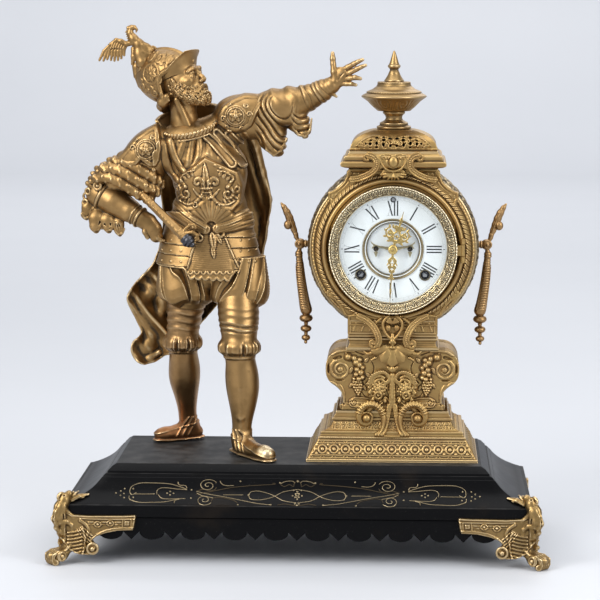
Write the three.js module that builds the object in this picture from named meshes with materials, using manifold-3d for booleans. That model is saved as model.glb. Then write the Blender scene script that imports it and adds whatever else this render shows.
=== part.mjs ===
// Figural mantel clock, millimetres, +Z up, front towards -Y.
// Origin: centre of the base at the level that the feet stand on.
import * as THREE from 'three';
import { mergeVertices } from 'three/addons/utils/BufferGeometryUtils.js';
import Module from 'manifold-3d';

const wasm = await Module();
wasm.setup();

// ---------------------------------------------------------------- driving dimensions
const GAP = 0.3;                 // clearance kept between touching castings
const TOP_Z = 95;                // top of the base plateau
const FASCIA_Z = 47;             // underside of the slab
const CX = 93;                   // centre line of the clock case
const CZ = 307.5;                // height of the dial centre
const DIAL_Y = -38;              // front of the porcelain dial
const DIAL_R = 57.5;             // porcelain radius, 53.5 of it visible
const CENTRE_R = 26.5;           // recessed centre
const BEZEL_R = 67;              // outer radius of the bezel
const DRUM_R = 86.5;             // widest radius of the drum
const DRUM_BACK = 58;            // rear face of the drum
const HINGE_X = 69.5;            // bezel hinge, from the dial centre
const HINGE_Y = -47;
const DOOR_HINGE_X = 63.5;       // back door hinge, from the dial centre
const DOOR_HINGE_Y = 61.6;
const WIND_X = 32, WIND_Z = -25.8;   // winding arbors from the dial centre
const SECOND = [8.62, -19.15];   // second wheel arbor
const THIRD = [-14.47, 12.48];   // third wheel arbor
const ESCAPE = [0, 21];          // escape wheel arbor
const PALLET = [0, 38];          // pallet arbor, pendulum bends on the same axis
const MINUTE = [-9.53, -5.5];    // minute wheel stud
const REG_Z = 49.5;              // regulator arbor
const PEND_L = 124;              // pendulum, bend to bob centre
const HOUR_ANGLE = 15.5, MINUTE_ANGLE = 183;   // the hands as they stand, clockwise from XII

// ---------------------------------------------------------------- materials
const mat = (color, roughness, metalness, extra = {}) =>
  new THREE.MeshStandardMaterial({ color, roughness, metalness, ...extra });
const M = {
  enamel: mat(0x17171b, 0.45, 0.1),
  case: mat(0xa87d3f, 0.5, 0.8),
  foot: mat(0xb98c49, 0.42, 0.85),
  figure: mat(0x7d5c33, 0.48, 0.8),
  brass: mat(0xb0904f, 0.35, 0.95),
  hands: mat(0xc9a659, 0.3, 0.95),
  porcelain: mat(0xf2f4f6, 0.18, 0.0),
  glass: mat(0xffffff, 0.03, 0.0, { transparent: true, opacity: 0.15 }),
  steel: mat(0x3c3f45, 0.35, 0.9),
  iron: mat(0x4a4a4c, 0.6, 0.6),
};

// ---------------------------------------------------------------- solid helpers
function solid(geometry) {
  const g = geometry.clone();
  for (const k of Object.keys(g.attributes)) if (k !== 'position') g.deleteAttribute(k);
  const src = g.index ? g.toNonIndexed() : g;
  const p = src.attributes.position.array;
  for (let i = 0; i < p.length; i++) p[i] = Math.round(p[i] * 2000) / 2000;
  const m = mergeVertices(src, 2e-4);
  const idx = m.index.array, pos = m.attributes.position.array;
  let tri = [];
  for (let i = 0; i < idx.length; i += 3) {
    const [a, b, c] = [idx[i], idx[i + 1], idx[i + 2]];
    if (a !== b && b !== c && a !== c) tri.push(a, b, c);
  }
  let v = 0;
  for (let i = 0; i < tri.length; i += 3) {
    const [a, b, c] = [tri[i] * 3, tri[i + 1] * 3, tri[i + 2] * 3];
    v += pos[a] * (pos[b + 1] * pos[c + 2] - pos[b + 2] * pos[c + 1])
       - pos[a + 1] * (pos[b] * pos[c + 2] - pos[b + 2] * pos[c])
       + pos[a + 2] * (pos[b] * pos[c + 1] - pos[b + 1] * pos[c]);
  }
  if (v < 0) for (let i = 0; i < tri.length; i += 3) [tri[i], tri[i + 1]] = [tri[i + 1], tri[i]];
  return new wasm.Manifold(new wasm.Mesh({
    numProp: 3, vertProperties: new Float32Array(pos), triVerts: new Uint32Array(tri) }));
}
const U = (...a) => a.reduce((s, m) => s.add(m));
const D = (a, ...b) => b.reduce((s, m) => s.subtract(m), a);
const I = (a, b) => a.intersect(b);

function toGeometry(m) {
  const mesh = m.getMesh();
  const g = new THREE.BufferGeometry();
  g.setAttribute('position', new THREE.BufferAttribute(new Float32Array(mesh.vertProperties), 3));
  g.setIndex(new THREE.BufferAttribute(new Uint32Array(mesh.triVerts), 1));
  g.computeVertexNormals();
  return g;
}

const box = (x0, x1, y0, y1, z0, z1) => {
  const g = new THREE.BoxGeometry(x1 - x0, y1 - y0, z1 - z0);
  g.translate((x0 + x1) / 2, (y0 + y1) / 2, (z0 + z1) / 2);
  return solid(g);
};
// closed profile revolved about an axis along Y, profile points (r, y)
const latheY = (pts, seg, cx = 0, cz = 0) => {
  const g = new THREE.LatheGeometry(pts.map(([r, y]) => new THREE.Vector2(r, y)), seg);
  g.translate(cx, 0, cz);
  return solid(g);
};
// closed profile revolved about an axis along Z, profile points (r, z)
const latheZ = (pts, seg, cx = 0, cy = 0) => {
  const g = new THREE.LatheGeometry(pts.map(([r, z]) => new THREE.Vector2(r, z)), seg);
  g.rotateX(Math.PI / 2);
  g.translate(cx, cy, 0);
  return solid(g);
};
// outline in the XZ plane, given thickness from y0 to y1
const plateXZ = (pts, y0, y1, holes = [], curve = 6) => {
  const s = new THREE.Shape(pts.map(([x, z]) => new THREE.Vector2(x, z)));
  for (const [hx, hz, r, n] of holes) {
    const h = new THREE.Path();
    const N = n || 10;
    for (let i = 0; i < N; i++) {
      const a = -2 * Math.PI * i / N;
      const X = hx + r * Math.cos(a), Z = hz + r * Math.sin(a);
      if (i === 0) h.moveTo(X, Z); else h.lineTo(X, Z);
    }
    h.closePath();
    s.holes.push(h);
  }
  const g = new THREE.ExtrudeGeometry(s, { depth: y1 - y0, bevelEnabled: false, curveSegments: curve });
  g.rotateX(Math.PI / 2);
  g.translate(0, y1, 0);
  return solid(g);
};
// outline in the YZ plane, given thickness from x0 to x1
const plateYZ = (pts, x0, x1) => {
  const s = new THREE.Shape(pts.map(([y, z]) => new THREE.Vector2(y, z)));
  const g = new THREE.ExtrudeGeometry(s, { depth: x1 - x0, bevelEnabled: false });
  g.rotateX(Math.PI / 2);
  g.rotateZ(Math.PI / 2);
  g.translate(x0, 0, 0);
  return solid(g);
};
// rectangular mouldings: levels of [halfX, halfY, z], closed on the axis at both ends
const rectLathe = (levels, cx = 0, cy = 0) => {
  const pts = levels.map((l, i) => new THREE.Vector2(l[0] === 0 && l[1] === 0 ? 0 : 10, i));
  const g = new THREE.LatheGeometry(pts, 4, Math.PI / 4, 2 * Math.PI);
  const p = g.attributes.position;
  for (let k = 0; k < p.count; k++) {
    const l = levels[Math.round(p.getY(k))];
    const sx = Math.sign(Math.round(p.getX(k))), sz = Math.sign(Math.round(p.getZ(k)));
    p.setXYZ(k, cx + sx * l[0], cy - sz * l[1], l[2]);
  }
  return solid(g);
};
const cyl = (a, b, ra, rb = ra, seg = 12, sx = 1, sy = 1) => {
  const A = new THREE.Vector3(...a), B = new THREE.Vector3(...b), d = B.clone().sub(A);
  const g = new THREE.CylinderGeometry(rb, ra, d.length(), seg);
  g.scale(sx, 1, sy);
  g.applyQuaternion(new THREE.Quaternion().setFromUnitVectors(new THREE.Vector3(0, 1, 0), d.normalize()));
  g.translate(...A.add(B).multiplyScalar(0.5).toArray());
  return solid(g);
};
const ball = (c, r, seg = 10, s = [1, 1, 1], rot = [0, 0, 0]) => {
  const g = new THREE.SphereGeometry(r, seg, Math.max(4, Math.round(seg * 0.55)));
  g.rotateX(Math.PI / 2);
  g.scale(...s);
  g.rotateX(rot[0]); g.rotateY(rot[1]); g.rotateZ(rot[2]);
  g.translate(...c);
  return solid(g);
};
// limb through a list of [x, y, z, r]: a cylinder bent along the list, with rounded ends
const limb = (pts, grow = 0, seg = 9) => {
  const P0 = pts.map(([x, y, z]) => new THREE.Vector3(x, y, z)), R = pts.map((q) => q[3] + grow);
  const n = P0.length, d0 = P0[1].clone().sub(P0[0]).normalize(), d1 = P0[n - 1].clone().sub(P0[n - 2]).normalize();
  const C = [P0[0].clone().addScaledVector(d0, -0.75 * R[0]), ...P0, P0[n - 1].clone().addScaledVector(d1, 0.75 * R[n - 1])];
  const RR = [0.6 * R[0], ...R, 0.6 * R[n - 1]];
  const g = new THREE.CylinderGeometry(1, 1, C.length - 1, seg, C.length - 1);
  const half = (C.length - 1) / 2, frames = [];
  let u = new THREE.Vector3(1, 0, 0);
  C.forEach((c, i) => {
    const t = C[Math.min(i + 1, C.length - 1)].clone().sub(C[Math.max(i - 1, 0)]).normalize();
    if (i === 0 && Math.abs(t.x) > 0.9) u.set(0, 1, 0);
    u = u.clone().addScaledVector(t, -u.dot(t)).normalize();
    frames.push([u.clone(), new THREE.Vector3().crossVectors(t, u)]);
  });
  const p = g.attributes.position;
  for (let k = 0; k < p.count; k++) {
    const i = Math.round(p.getY(k) + half), a = p.getX(k), b = p.getZ(k), [e, f] = frames[i];
    const v = C[i].clone().addScaledVector(e, a * RR[i]).addScaledVector(f, -b * RR[i]);
    p.setXYZ(k, v.x, v.y, v.z);
  }
  return solid(g);
};
const wheelPts = (T, rp, m, a0, cx, cz, add = 0.9, ded = 1.1) => {
  const pts = [];                       // a tooth gap stands at angle a0
  for (let i = 0; i < T; i++) {
    const a = a0 + 2 * Math.PI * i / T, h = Math.PI / T;
    pts.push([cx + (rp - ded * m) * Math.cos(a), cz + (rp - ded * m) * Math.sin(a)]);
    pts.push([cx + (rp + add * m) * Math.cos(a + h), cz + (rp + add * m) * Math.sin(a + h)]);
  }
  return pts;
};
const pinionPts = (T, rp, m, a0, cx, cz) => {
  const pts = [], P = 2 * Math.PI / T;  // a leaf stands at angle a0
  for (let i = 0; i < T; i++) {
    const a = a0 + P * i;
    for (const [f, r] of [[-0.22, rp - 1.25 * m], [0, rp + 0.5 * m], [0.22, rp - 1.25 * m]])
      pts.push([cx + r * Math.cos(a + f * P), cz + r * Math.sin(a + f * P)]);
  }
  return pts;
};
const shaft = (x, z, y0, y1, r, seg = 8) => cyl([x, y0, z], [x, y1, z], r, r, seg);

const clock = new THREE.Group();
const node = (name, m, material) => {
  const mesh = new THREE.Mesh(toGeometry(m), material);
  mesh.name = name;
  clock.add(mesh);
  return mesh;
};

// ================================================================ base
const slabOuter = [
  [0, 0, 95], [182, 72, 95], [186, 75.5, 92.5], [190, 78.5, 88.5], [191.5, 79.5, 86], [193.5, 81, 84.5],
  [196, 82.5, 82], [201, 85.5, 76], [208.5, 90, 70], [218, 96, 64.5], [227, 101.5, 60.5], [232.5, 105.5, 58.5],
  [232.5, 105.5, 47]];
const slab = rectLathe([...slabOuter, [224, 97, 47], [218, 91, 57], [198, 78, 68], [186, 73, 78], [178, 66, 87], [0, 0, 87]]);
const nutSpots = { front: [-61, -26], rear: [-120, 46] };
let slabCut = slab;
for (const [x, y] of Object.values(nutSpots)) slabCut = D(slabCut, cyl([x, y, 80], [x, y, 100], 3.3, 3.3, 10));
slabCut = D(slabCut, cyl([CX, 0, 80], [CX, 0, 100], 3.3, 3.3, 10));
node('base_slab', slabCut, M.enamel);

// skirt with half-round scallops and small pointed teeth between them
const scallop = (half, n) => {
  const pitch = 2 * half / n, pts = [];
  for (let i = 0; i < n; i++) {
    const x0 = -half + i * pitch;
    const r = pitch * 0.36;
    pts.push([x0, 32]);
    for (let k = 0; k <= 4; k++) {
      const a = Math.PI + Math.PI * k / 4;
      pts.push([x0 + pitch / 2 + r * Math.cos(a), 36.5 + Math.min(13.2, r) * Math.sin(a)]);
    }
  }
  pts.push([half, 32]);
  return pts;
};
const skirtSide = (half, n) => [...scallop(half, n), [half, FASCIA_Z - GAP], [-half, FASCIA_Z - GAP]];
const frontSkirt = plateXZ(skirtSide(224, 12), -103, -98);
const backSkirt = plateXZ(skirtSide(224, 12), 98, 103);
const sideSkirt = (x0) => plateYZ(skirtSide(103, 5).map(([a, b]) => [a, b]), x0, x0 + 5);

// gilt corner feet: arms along the skirt, a lobe over the slab corner, a scrolled leg on the diagonal
const footSolid = (sx, sy) => {
  const X = (v) => sx * v, Y = (v) => sy * v;
  const ord = (a, b) => (a < b ? [a, b] : [b, a]);
  const bx = (x0, x1, y0, y1, z0, z1) => {
    const [a, b] = ord(X(x0), X(x1)), [c, d] = ord(Y(y0), Y(y1));
    return box(a, b, c, d, z0, z1);
  };
  const front = [[165, 34], [197, 34.5], [206, 29], [206.5, 14], [214, 5], [224, 0], [243, 0], [247.5, 7], [245, 18],
    [232, 23], [233, 31], [240, 40], [236, 52], [236, 66], [227, 70], [220, 52], [205, 47.5], [165, 47.5]];
  const wing = front.map(([x, z]) => [X(x), z]);
  const a = U(plateXZ(wing, ...ord(Y(106), Y(117))), shaft(X(202), 16.5, ...ord(Y(106), Y(117)), 6.8, 8));
  const shift = (x) => x - 129;
  const side = front.filter(([x]) => x > 200).map(([x, z]) => [Y(shift(x)), z]);
  const sideArm = [[Y(62), 34], ...side, [Y(62), 47.5]];
  const [c0, c1] = ord(X(233), X(244));
  const b = U(plateYZ(sideArm, c0, c1), cyl([c0, Y(shift(202)), 16.5], [c1, Y(shift(202)), 16.5], 6.8, 6.8, 8));
  const corner = U(
    limb([[X(236), Y(109.5), 60, 8.5], [X(237), Y(110), 44, 8.5], [X(231), Y(107), 30, 9.5], [X(238), Y(108.5), 14, 10]], 0, 5),
    cyl([X(241), Y(109.5), 0], [X(241), Y(109.5), 9], 9, 9, 8),
    bx(165, 232, 97, 106.5, 34, FASCIA_Z - GAP), bx(224, 233.5, 62, 106, 34, FASCIA_Z - GAP));
  const hook = limb([[X(238), Y(112), 62, 6], [X(226), Y(103), 69.5, 4.5], [X(212), Y(93), 74.5, 3]], 0, 5);
  let foot = U(a, b, corner, hook);
  foot = D(foot, rectLathe(slabOuter.map(([p, q, z], i) => i === 0 ? [0, 0, z + GAP]
    : i === slabOuter.length - 1 ? [p + GAP, q + GAP, z - GAP] : [p + GAP, q + GAP, z + GAP]).concat([[0, 0, FASCIA_Z - GAP]])));
  foot = D(foot, box(-300, 300, -300, 300, -20, 0));
  return foot;
};
const feet = {
  foot_front_left: footSolid(-1, -1), foot_front_right: footSolid(1, -1),
  foot_back_left: footSolid(-1, 1), foot_back_right: footSolid(1, 1) };
const grow = (sx, sy) => {
  const ord = (a, b) => (a < b ? [a, b] : [b, a]);
  const [a, b] = ord(sx * 164.7, sx * 260), [c, d] = ord(sy * 96.7, sy * 125);
  const [e, f] = ord(sx * 223.7, sx * 260), [g, h] = ord(sy * 61.7, sy * 125);
  return U(box(a, b, c, d, 10, 60), box(e, f, g, h, 10, 60));
};
let skirt = U(frontSkirt, backSkirt, sideSkirt(-224), sideSkirt(219));
skirt = U(skirt, D(box(-221, 221, -101, 101, 42, FASCIA_Z - GAP), box(-212, 212, -92, 92, 30, 60)));
for (const [sx, sy] of [[-1, -1], [1, -1], [-1, 1], [1, 1]]) skirt = D(skirt, grow(sx, sy));
node('base_skirt', skirt, M.enamel);
for (const [k, v] of Object.entries(feet)) node(k, v, M.foot);

for (const [k, [x, y]] of Object.entries(nutSpots))
  node(`figure_nut_${k}`, U(cyl([x, y, 80.5], [x, y, 86.7], 6, 6, 6), cyl([x, y, 78], [x, y, 94.6], 3, 3, 8)), M.steel);

// ================================================================ figure
// trunk: breastplate, belt, tassets, trunk hose and the stand-up collar
const trunkParts = (g) => U(
  ball([-92, -6, 380], 1, 11, [39 + g, 28 + g, 38 + g]),
  limb([[-150, -1, 400, 20], [-122, -1, 415, 23], [-72, -2, 436, 18], [-56, -3, 434, 18]], g, 7),
  cyl([-116, -2, 408], [-119, -3, 437], 26 + g, 31 + g, 9, 1, 0.86),
  ball([-91, -6, 345], 1, 10, [37 + g, 27 + g, 34 + g]),
  cyl([-92, -1, 333], [-92, -1, 286], 45 + g, 53 + g, 12, 1, 0.7),
  ball([-117, 6, 268], 1, 9, [29 + g, 25 + g, 24 + g]),
  ball([-65, -5, 266], 1, 9, [30 + g, 27 + g, 22 + g]),
  ball([-92, 0, 280], 1, 9, [44 + g, 30 + g, 18 + g]));
const neckParts = (g) => limb([[-118, -2, 432, 13], [-126, -5, 462, 13]], g, 7);
const headParts = (g) => U(
  ball([-130, -9, 478], 1, 9, [20 + g, 21 + g, 22 + g], [0, -0.35, 0]),
  ball([-137, -5, 486], 1, 9, [23.5 + g, 24 + g, 20 + g], [0, -0.35, 0]),
  ball([-113, -21, 463], 1, 8, [15 + g, 14 + g, 12 + g], [0, -0.35, 0]),
  limb([[-150, -2, 470, 8], [-148, 1, 458, 7]], g, 7),
  cyl([-132, -9, 489], [-125, -14, 503], 27 + g, 20 + g, 10, 1, 0.9));
const crestParts = (g) => U(
  limb([[-155, 1, 503, 3.2], [-163, 2, 508, 4.5], [-170, 2, 514, 4.2], [-174, 2, 521, 2.6], [-171.5, 1, 527.4, 2.4], [-167, 0, 523.5, 1.5]], g, 5),
  limb([[-170, 2, 508, 3.5], [-184, 3, 509, 3.2], [-195, 4, 501, 2.6], [-201.5, 4, 495, 1.8]], g, 5),
  limb([[-160, 2, 508, 3], [-152, 2, 509, 2.6]], g, 5));
const raisedParts = (g) => U(
  ball([-52, -4, 438], 1, 9, [25 + g, 21 + g, 24 + g]),
  limb([[-44, -5, 444, 19], [-22, -8, 448, 21], [-6, -11, 456, 14], [8, -15, 459, 12], [33.4, -24, 471, 8.2]], g, 7),
  limb([[-30, -8, 438, 16], [-27, -9, 414, 12.5], [-22, -10, 405, 7]], g, 6),
  limb([[-6, -11, 445, 14], [3, -13, 428, 8.5]], g, 6),
  ball([39, -26, 478], 1, 8, [9 + g, 5.2 + g, 9.5 + g], [0, -0.6, 0]),
  limb([[33, -23, 478, 3.6], [31.5, -22.5, 490, 3.2], [32.4, -24, 500.6, 2.6]], g, 5),
  limb([[42, -27, 484, 3.3], [53, -31, 491, 2.9], [61, -34, 494.6, 2.3]], g, 5),
  limb([[43, -27, 480, 3.3], [55, -32, 486.5, 2.9], [64, -36, 489, 2.3]], g, 5),
  limb([[43, -27, 476, 3.1], [52, -31, 477.6, 2.8], [58, -34, 476.6, 2.2]], g, 5),
  limb([[41, -26, 472, 2.9], [48, -30, 471.5, 2.6], [53.5, -32, 470.6, 2.1]], g, 5));
const akimboParts = (g) => U(
  ball([-158, -3, 396], 1, 9, [25 + g, 21 + g, 22 + g], [0, -0.3, 0]),
  limb([[-166, 0, 388, 20], [-188, 6, 372, 20], [-205, 8, 356, 15]], g, 7),
  limb([[-203, 8, 352, 14], [-190, 3, 346, 13], [-164, -7, 338, 10], [-155, -8, 330, 9], [-151, -8, 320, 7]], g, 7),
  limb([[-200, 7, 344, 13], [-200, 6, 330, 10], [-186, 4, 328, 10]], g, 6));
const daggerParts = (g) => U(
  limb([[-155.5, -25, 355.5, 5.2], [-150, -28, 350, 4.4], [-113, -41, 317, 4.2], [-110.5, -42.5, 312.5, 5.4]], g, 6),
  limb([[-113, -40, 330, 3.4], [-103, -43, 318, 3.4]], g, 5));
const legFrontParts = (g) => U(
  limb([[-64, -9, 262, 20], [-62.5, -18, 234, 18.5], [-62, -24, 212, 15.5], [-60.5, -26, 190, 14], [-59, -25, 170, 16.2],
    [-58.8, -24, 145, 11.5], [-59.5, -24, 122, 8.2], [-60, -24, 106, 8.5]], g, 8),
  ball([-62.5, -26, 204], 1, 8, [20.5 + g, 19 + g, 11 + g]),
  limb([[-63, -19, 103.5, 8.5], [-50, -42, 105, 9.5], [-36, -61, 101, 7.5], [-30.5, -66, 102.5, 5]], g, 7));
const legRearParts = (g) => U(
  limb([[-116, 8, 262, 18.5], [-121, 13, 231, 16.5], [-122.5, 14, 210, 15], [-122, 18, 190, 13.5], [-122.6, 27, 168, 15.6],
    [-121, 36, 146, 11], [-121.5, 45, 122, 8], [-119, 51, 106, 8]], g, 8),
  ball([-123, 14, 202], 1, 8, [19.5 + g, 18 + g, 11 + g]),
  limb([[-114.5, 54, 103.5, 8], [-131, 45, 104, 9], [-147, 41, 100.5, 6.5], [-152, 40, 102, 4]], g, 7));
const capePts = [[-146, 418], [-116, 428], [-70, 436], [-52, 428], [-43, 402], [-39, 381], [-31.5, 350], [-36, 329], [-42, 284],
  [-56, 262], [-84, 248], [-100, 226], [-116, 206], [-134, 188], [-146, 184], [-158, 178], [-170, 177.5], [-179, 190],
  [-171, 212], [-178, 232], [-182, 248], [-168, 268], [-154, 283], [-146, 310], [-142, 340], [-148, 380], [-152, 404]];
const capeSolid = U(
  plateXZ(capePts.map(([x, z]) => [x, z]), 33, 42),
  limb([[-56, 34, 424, 7], [-48, 38, 380, 8], [-42, 38, 330, 8], [-50, 38, 285, 7]], 0, 6),
  limb([[-146, 37, 285, 7], [-170, 40, 250, 9], [-160, 42, 216, 9], [-168, 44, 188, 8]], 0, 6),
  limb([[-130, 24, 402, 11], [-92, 24, 410, 12], [-64, 26, 412, 11]], 0, 6));
const floorCut = box(-300, 300, -200, 200, 0, TOP_Z + GAP);
node('figure_body', D(trunkParts(0), neckParts(GAP)), M.figure);
node('figure_head', D(U(neckParts(0), headParts(0)), crestParts(GAP)), M.figure);
node('helmet_crest', crestParts(0), M.figure);
node('figure_arm_raised', D(raisedParts(0), trunkParts(GAP)), M.figure);
const keepBig = (m) => m.decompose().reduce((a, b) => (a.volume() > b.volume() ? a : b));
node('dagger', keepBig(D(daggerParts(0), trunkParts(GAP), akimboParts(GAP))), M.figure);
node('figure_arm_akimbo', D(akimboParts(0), trunkParts(GAP)), M.figure);
node('figure_leg_front', D(legFrontParts(0), trunkParts(GAP), floorCut), M.figure);
node('figure_leg_rear', D(legRearParts(0), trunkParts(GAP), floorCut), M.figure);
node('cape', keepBig(D(capeSolid, trunkParts(GAP), legRearParts(GAP), legFrontParts(GAP), akimboParts(GAP), raisedParts(GAP), neckParts(GAP))), M.figure);

// ================================================================ clock case
const P = (levels, cy = 0) => rectLathe(levels, CX, cy);
node('case_plinth', D(P([
  [0, 0, 144.2], [54, 40, 144.2], [55, 41, 139.8], [58.6, 44, 139.5], [59.5, 45, 136.5], [61, 46, 134], [64, 48, 129.5],
  [68, 51, 126.3], [72, 53, 126], [75, 54.5, 121.5], [75, 54.5, 117.8], [85.5, 58, 97.6], [86, 58.5, 95.3],
  [79, 51, 95.3], [64, 44, 117], [46, 34, 132], [46, 34, 141], [0, 0, 141]]),
  box(CX - 42, CX + 42, -28, 33.8, 130, 150)), M.case);

// pedestal: big volutes above, a waist, small feet below
const pedHalf = [[53.5, 144.5], [53.5, 147], [49.8, 152], [49.6, 158], [51, 166], [55, 171.5], [60, 173], [65, 177], [67, 185.5],
  [65, 194], [60, 200.5], [54, 205.7]];
const pedPts = [...pedHalf.map(([x, z]) => [CX + x, z]), ...pedHalf.slice().reverse().map(([x, z]) => [CX - x, z])];
node('pedestal_body', D(plateXZ(pedPts, -37, 38), box(CX - 42, CX + 42, -29, 33.8, 130, 220)), M.case);

node('neck_block', D(P([
  [0, 0, 237], [44.6, 36, 237], [44.6, 36, 219], [45.5, 37.5, 217], [44.6, 38.5, 212], [47, 39.5, 209], [47, 39.5, 206],
  [0, 0, 206]]), box(CX - 37, CX + 37, -26, 31.8, 200, 240),
  latheY([[0, -60], [78.3, -60], [78.3, -27.7], [0, -27.7], [0, -60]], 36, CX, CZ)), M.case);

// drum: body with corner pads, round cast ring in front, open to the neck below
const arc = (r, a0, a1, n) => Array.from({ length: n + 1 }, (_, i) => {
  const a = (a0 + (a1 - a0) * i / n) * Math.PI / 180;
  return [CX + r * Math.cos(a), CZ + r * Math.sin(a)];
});
const quarter = [[44.6, 81], [44.6, 69.5], [50, 64.5], [58, 60.5], [65.5, 57.5], [66.5, 51]];
const bodyPts = [
  ...quarter.slice().reverse().map(([x, z]) => [CX + x, CZ + z]).reverse(),
];
const drumOutline = [];
for (const [x, z] of [[44.6, 81], [44.6, 69.5], [50, 64.5], [58, 60.5], [65.5, 57.5], [66.5, 50]]) drumOutline.push([CX + x, CZ + z]);
drumOutline.push(...arc(82.5, 36, -36, 6));
for (const [x, z] of [[66.5, -50], [65.5, -57.5], [58, -60.5], [50, -64.5], [44.6, -70]]) drumOutline.push([CX + x, CZ + z]);
for (const [x, z] of [[-44.6, -70], [-50, -64.5], [-58, -60.5], [-65.5, -57.5], [-66.5, -50]]) drumOutline.push([CX + x, CZ + z]);
drumOutline.push(...arc(82.5, 216, 144, 6));
for (const [x, z] of [[-66.5, 50], [-65.5, 57.5], [-58, 60.5], [-50, 64.5], [-44.6, 69.5], [-44.6, 81]]) drumOutline.push([CX + x, CZ + z]);
let drum = U(
  plateXZ(drumOutline, -30, DRUM_BACK),
  latheY([[65, -28], [65, -41.5], [68, -43], [73, -43], [76, -38], [78, -28], [65, -28]].reverse(), 28, CX, CZ),
  I(latheY([[74, -30], [78, -34], [84, -24], [DRUM_R, -6], [DRUM_R, 6], [83, 22], [74, 22], [74, -30]].reverse(), 28, CX, CZ),
    box(CX - 90, CX + 90, -60, 60, CZ - 50, CZ + 50)));
drum = D(drum,
  latheY([[0, -24], [76, -24], [76, 54], [0, 54], [0, -24]], 24, CX, CZ),
  latheY([[0, -60], [66.2, -60], [66.2, -20], [0, -20], [0, -60]], 28, CX, CZ),
  latheY([[0, 50], [57.5, 50], [57.5, 70], [0, 70], [0, 50]], 24, CX, CZ),
  box(CX - 37, CX + 37, -22, 31.8, CZ - 85, CZ - 50),
  box(CX + 66.4, CX + 74, -52, -41, CZ - 13, CZ + 13),
  box(CX + 61.5, CX + 66.5, 57.2, 62, CZ - 7, CZ + 7));
// the bore seats of the side handle screws
for (const s of [-1, 1]) drum = D(drum, cyl([CX + s * 80, 0, CZ + 1], [CX + s * 90, 0, CZ + 1], 2.3, 2.3, 8));
node('drum_case', drum, M.case);

node('cornice', P([
  [0, 0, CZ + 98], [46, 42, CZ + 98], [47.6, 44, CZ + 95.5], [47.6, 44, CZ + 91], [52, 48.5, CZ + 88], [53, 49.5, CZ + 85.5],
  [52, 48.5, CZ + 83], [46.5, 43, CZ + 81.3], [0, 0, CZ + 81.3]]), M.case);

// pierced dome
const domeHalf = [[43.3, 405.8], [43.3, 409], [41.5, 413], [37, 418.5], [30, 421.8], [18, 424.2], [0, 425]];
const domePts = [...domeHalf.map(([x, z]) => [CX + x, z]), ...domeHalf.slice(0, -1).reverse().map(([x, z]) => [CX - x, z])];
const domeIn = [[39, 400], [39, 409], [36, 413], [30, 417.5], [16, 420.2], [0, 420.8]];
const domeInPts = [...domeIn.map(([x, z]) => [CX + x, z]), ...domeIn.slice(0, -1).reverse().map(([x, z]) => [CX - x, z])];
node('dome_vent', D(plateXZ(domePts, -31, 37), plateXZ(domeInPts, -27, 33),
  box(CX - 20, CX - 12, -33, -25, 410, 415), box(CX + 12, CX + 20, -33, -25, 410, 415), box(CX - 3, CX + 3, -33, -25, 409, 416)), M.case);

node('urn_body', latheZ([
  [0, 425.3], [16.6, 425.3], [16.6, 427.2], [12.6, 430.2], [9.6, 433], [8.8, 437], [10.2, 440.4], [16.3, 441.5], [25, 448],
  [32.9, 456], [32.9, 458], [27.5, 463], [22, 467.8], [17.1, 472.4], [0, 472.4], [0, 425.3]], 16, CX, 3), M.case);
node('urn_finial', latheZ([
  [0, 472.7], [9.6, 472.7], [9.2, 476], [4.6, 481.6], [4.2, 484], [6.3, 487.6], [4, 490.5], [2.4, 496], [0.9, 503], [0, 503.6], [0, 472.7]], 12, CX, 3), M.case);

// applied mounts
node('pedestal_mount', D(U(
  ball([CX, -42, 200], 1, 8, [11, 4.4, 9]), ball([CX - 15, -42, 162], 1, 7, [10, 4.4, 11]), ball([CX + 15, -42, 162], 1, 7, [10, 4.4, 11]),
  box(CX - 5, CX + 5, -43.5, -37.3, 150, 200), box(CX - 24, CX + 24, -43, -40, 146, 152),
  box(CX - 48, CX + 48, -40.5, -37.3, 176, 182), ball([CX - 46, -40.5, 186], 1, 7, [9, 3.2, 14]), ball([CX + 46, -40.5, 186], 1, 7, [9, 3.2, 14])),
  box(CX - 80, CX + 80, -60, -20, 100, 144.5), box(CX - 80, CX + 80, -60, -20, 205.6, 240)), M.case);
node('lower_cartouche', D(U(
  box(CX - 14, CX + 14, -45, -39.8, 206, 236), ball([CX, -46, 226], 1, 8, [12, 5, 14]),
  limb([[CX - 30, -43.5, 232, 3.5], [CX - 10, -44, 212, 3.5]], 0, 5), limb([[CX + 30, -43.5, 232, 3.5], [CX + 10, -44, 212, 3.5]], 0, 5)),
  latheY([[0, -60], [DRUM_R + 1, -60], [DRUM_R + 1, -29.7], [0, -29.7], [0, -60]], 40, CX, CZ),
  box(CX - 60, CX + 60, -39.8, -20, 190, 250)), M.case);
node('upper_cartouche', U(
  box(CX - 20, CX + 20, -54, -49.8, CZ + 84, CZ + 96), ball([CX, -53, CZ + 90], 1, 8, [6, 4.5, 7.5]),
  limb([[CX - 18, -53, CZ + 92, 3.4], [CX - 20, -52.6, CZ + 86, 3], [CX - 29, -50.8, CZ + 78, 2.6]], 0, 5),
  limb([[CX + 18, -53, CZ + 92, 3.4], [CX + 20, -52.6, CZ + 86, 3], [CX + 29, -50.8, CZ + 78, 2.6]], 0, 5)), M.case);

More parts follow.
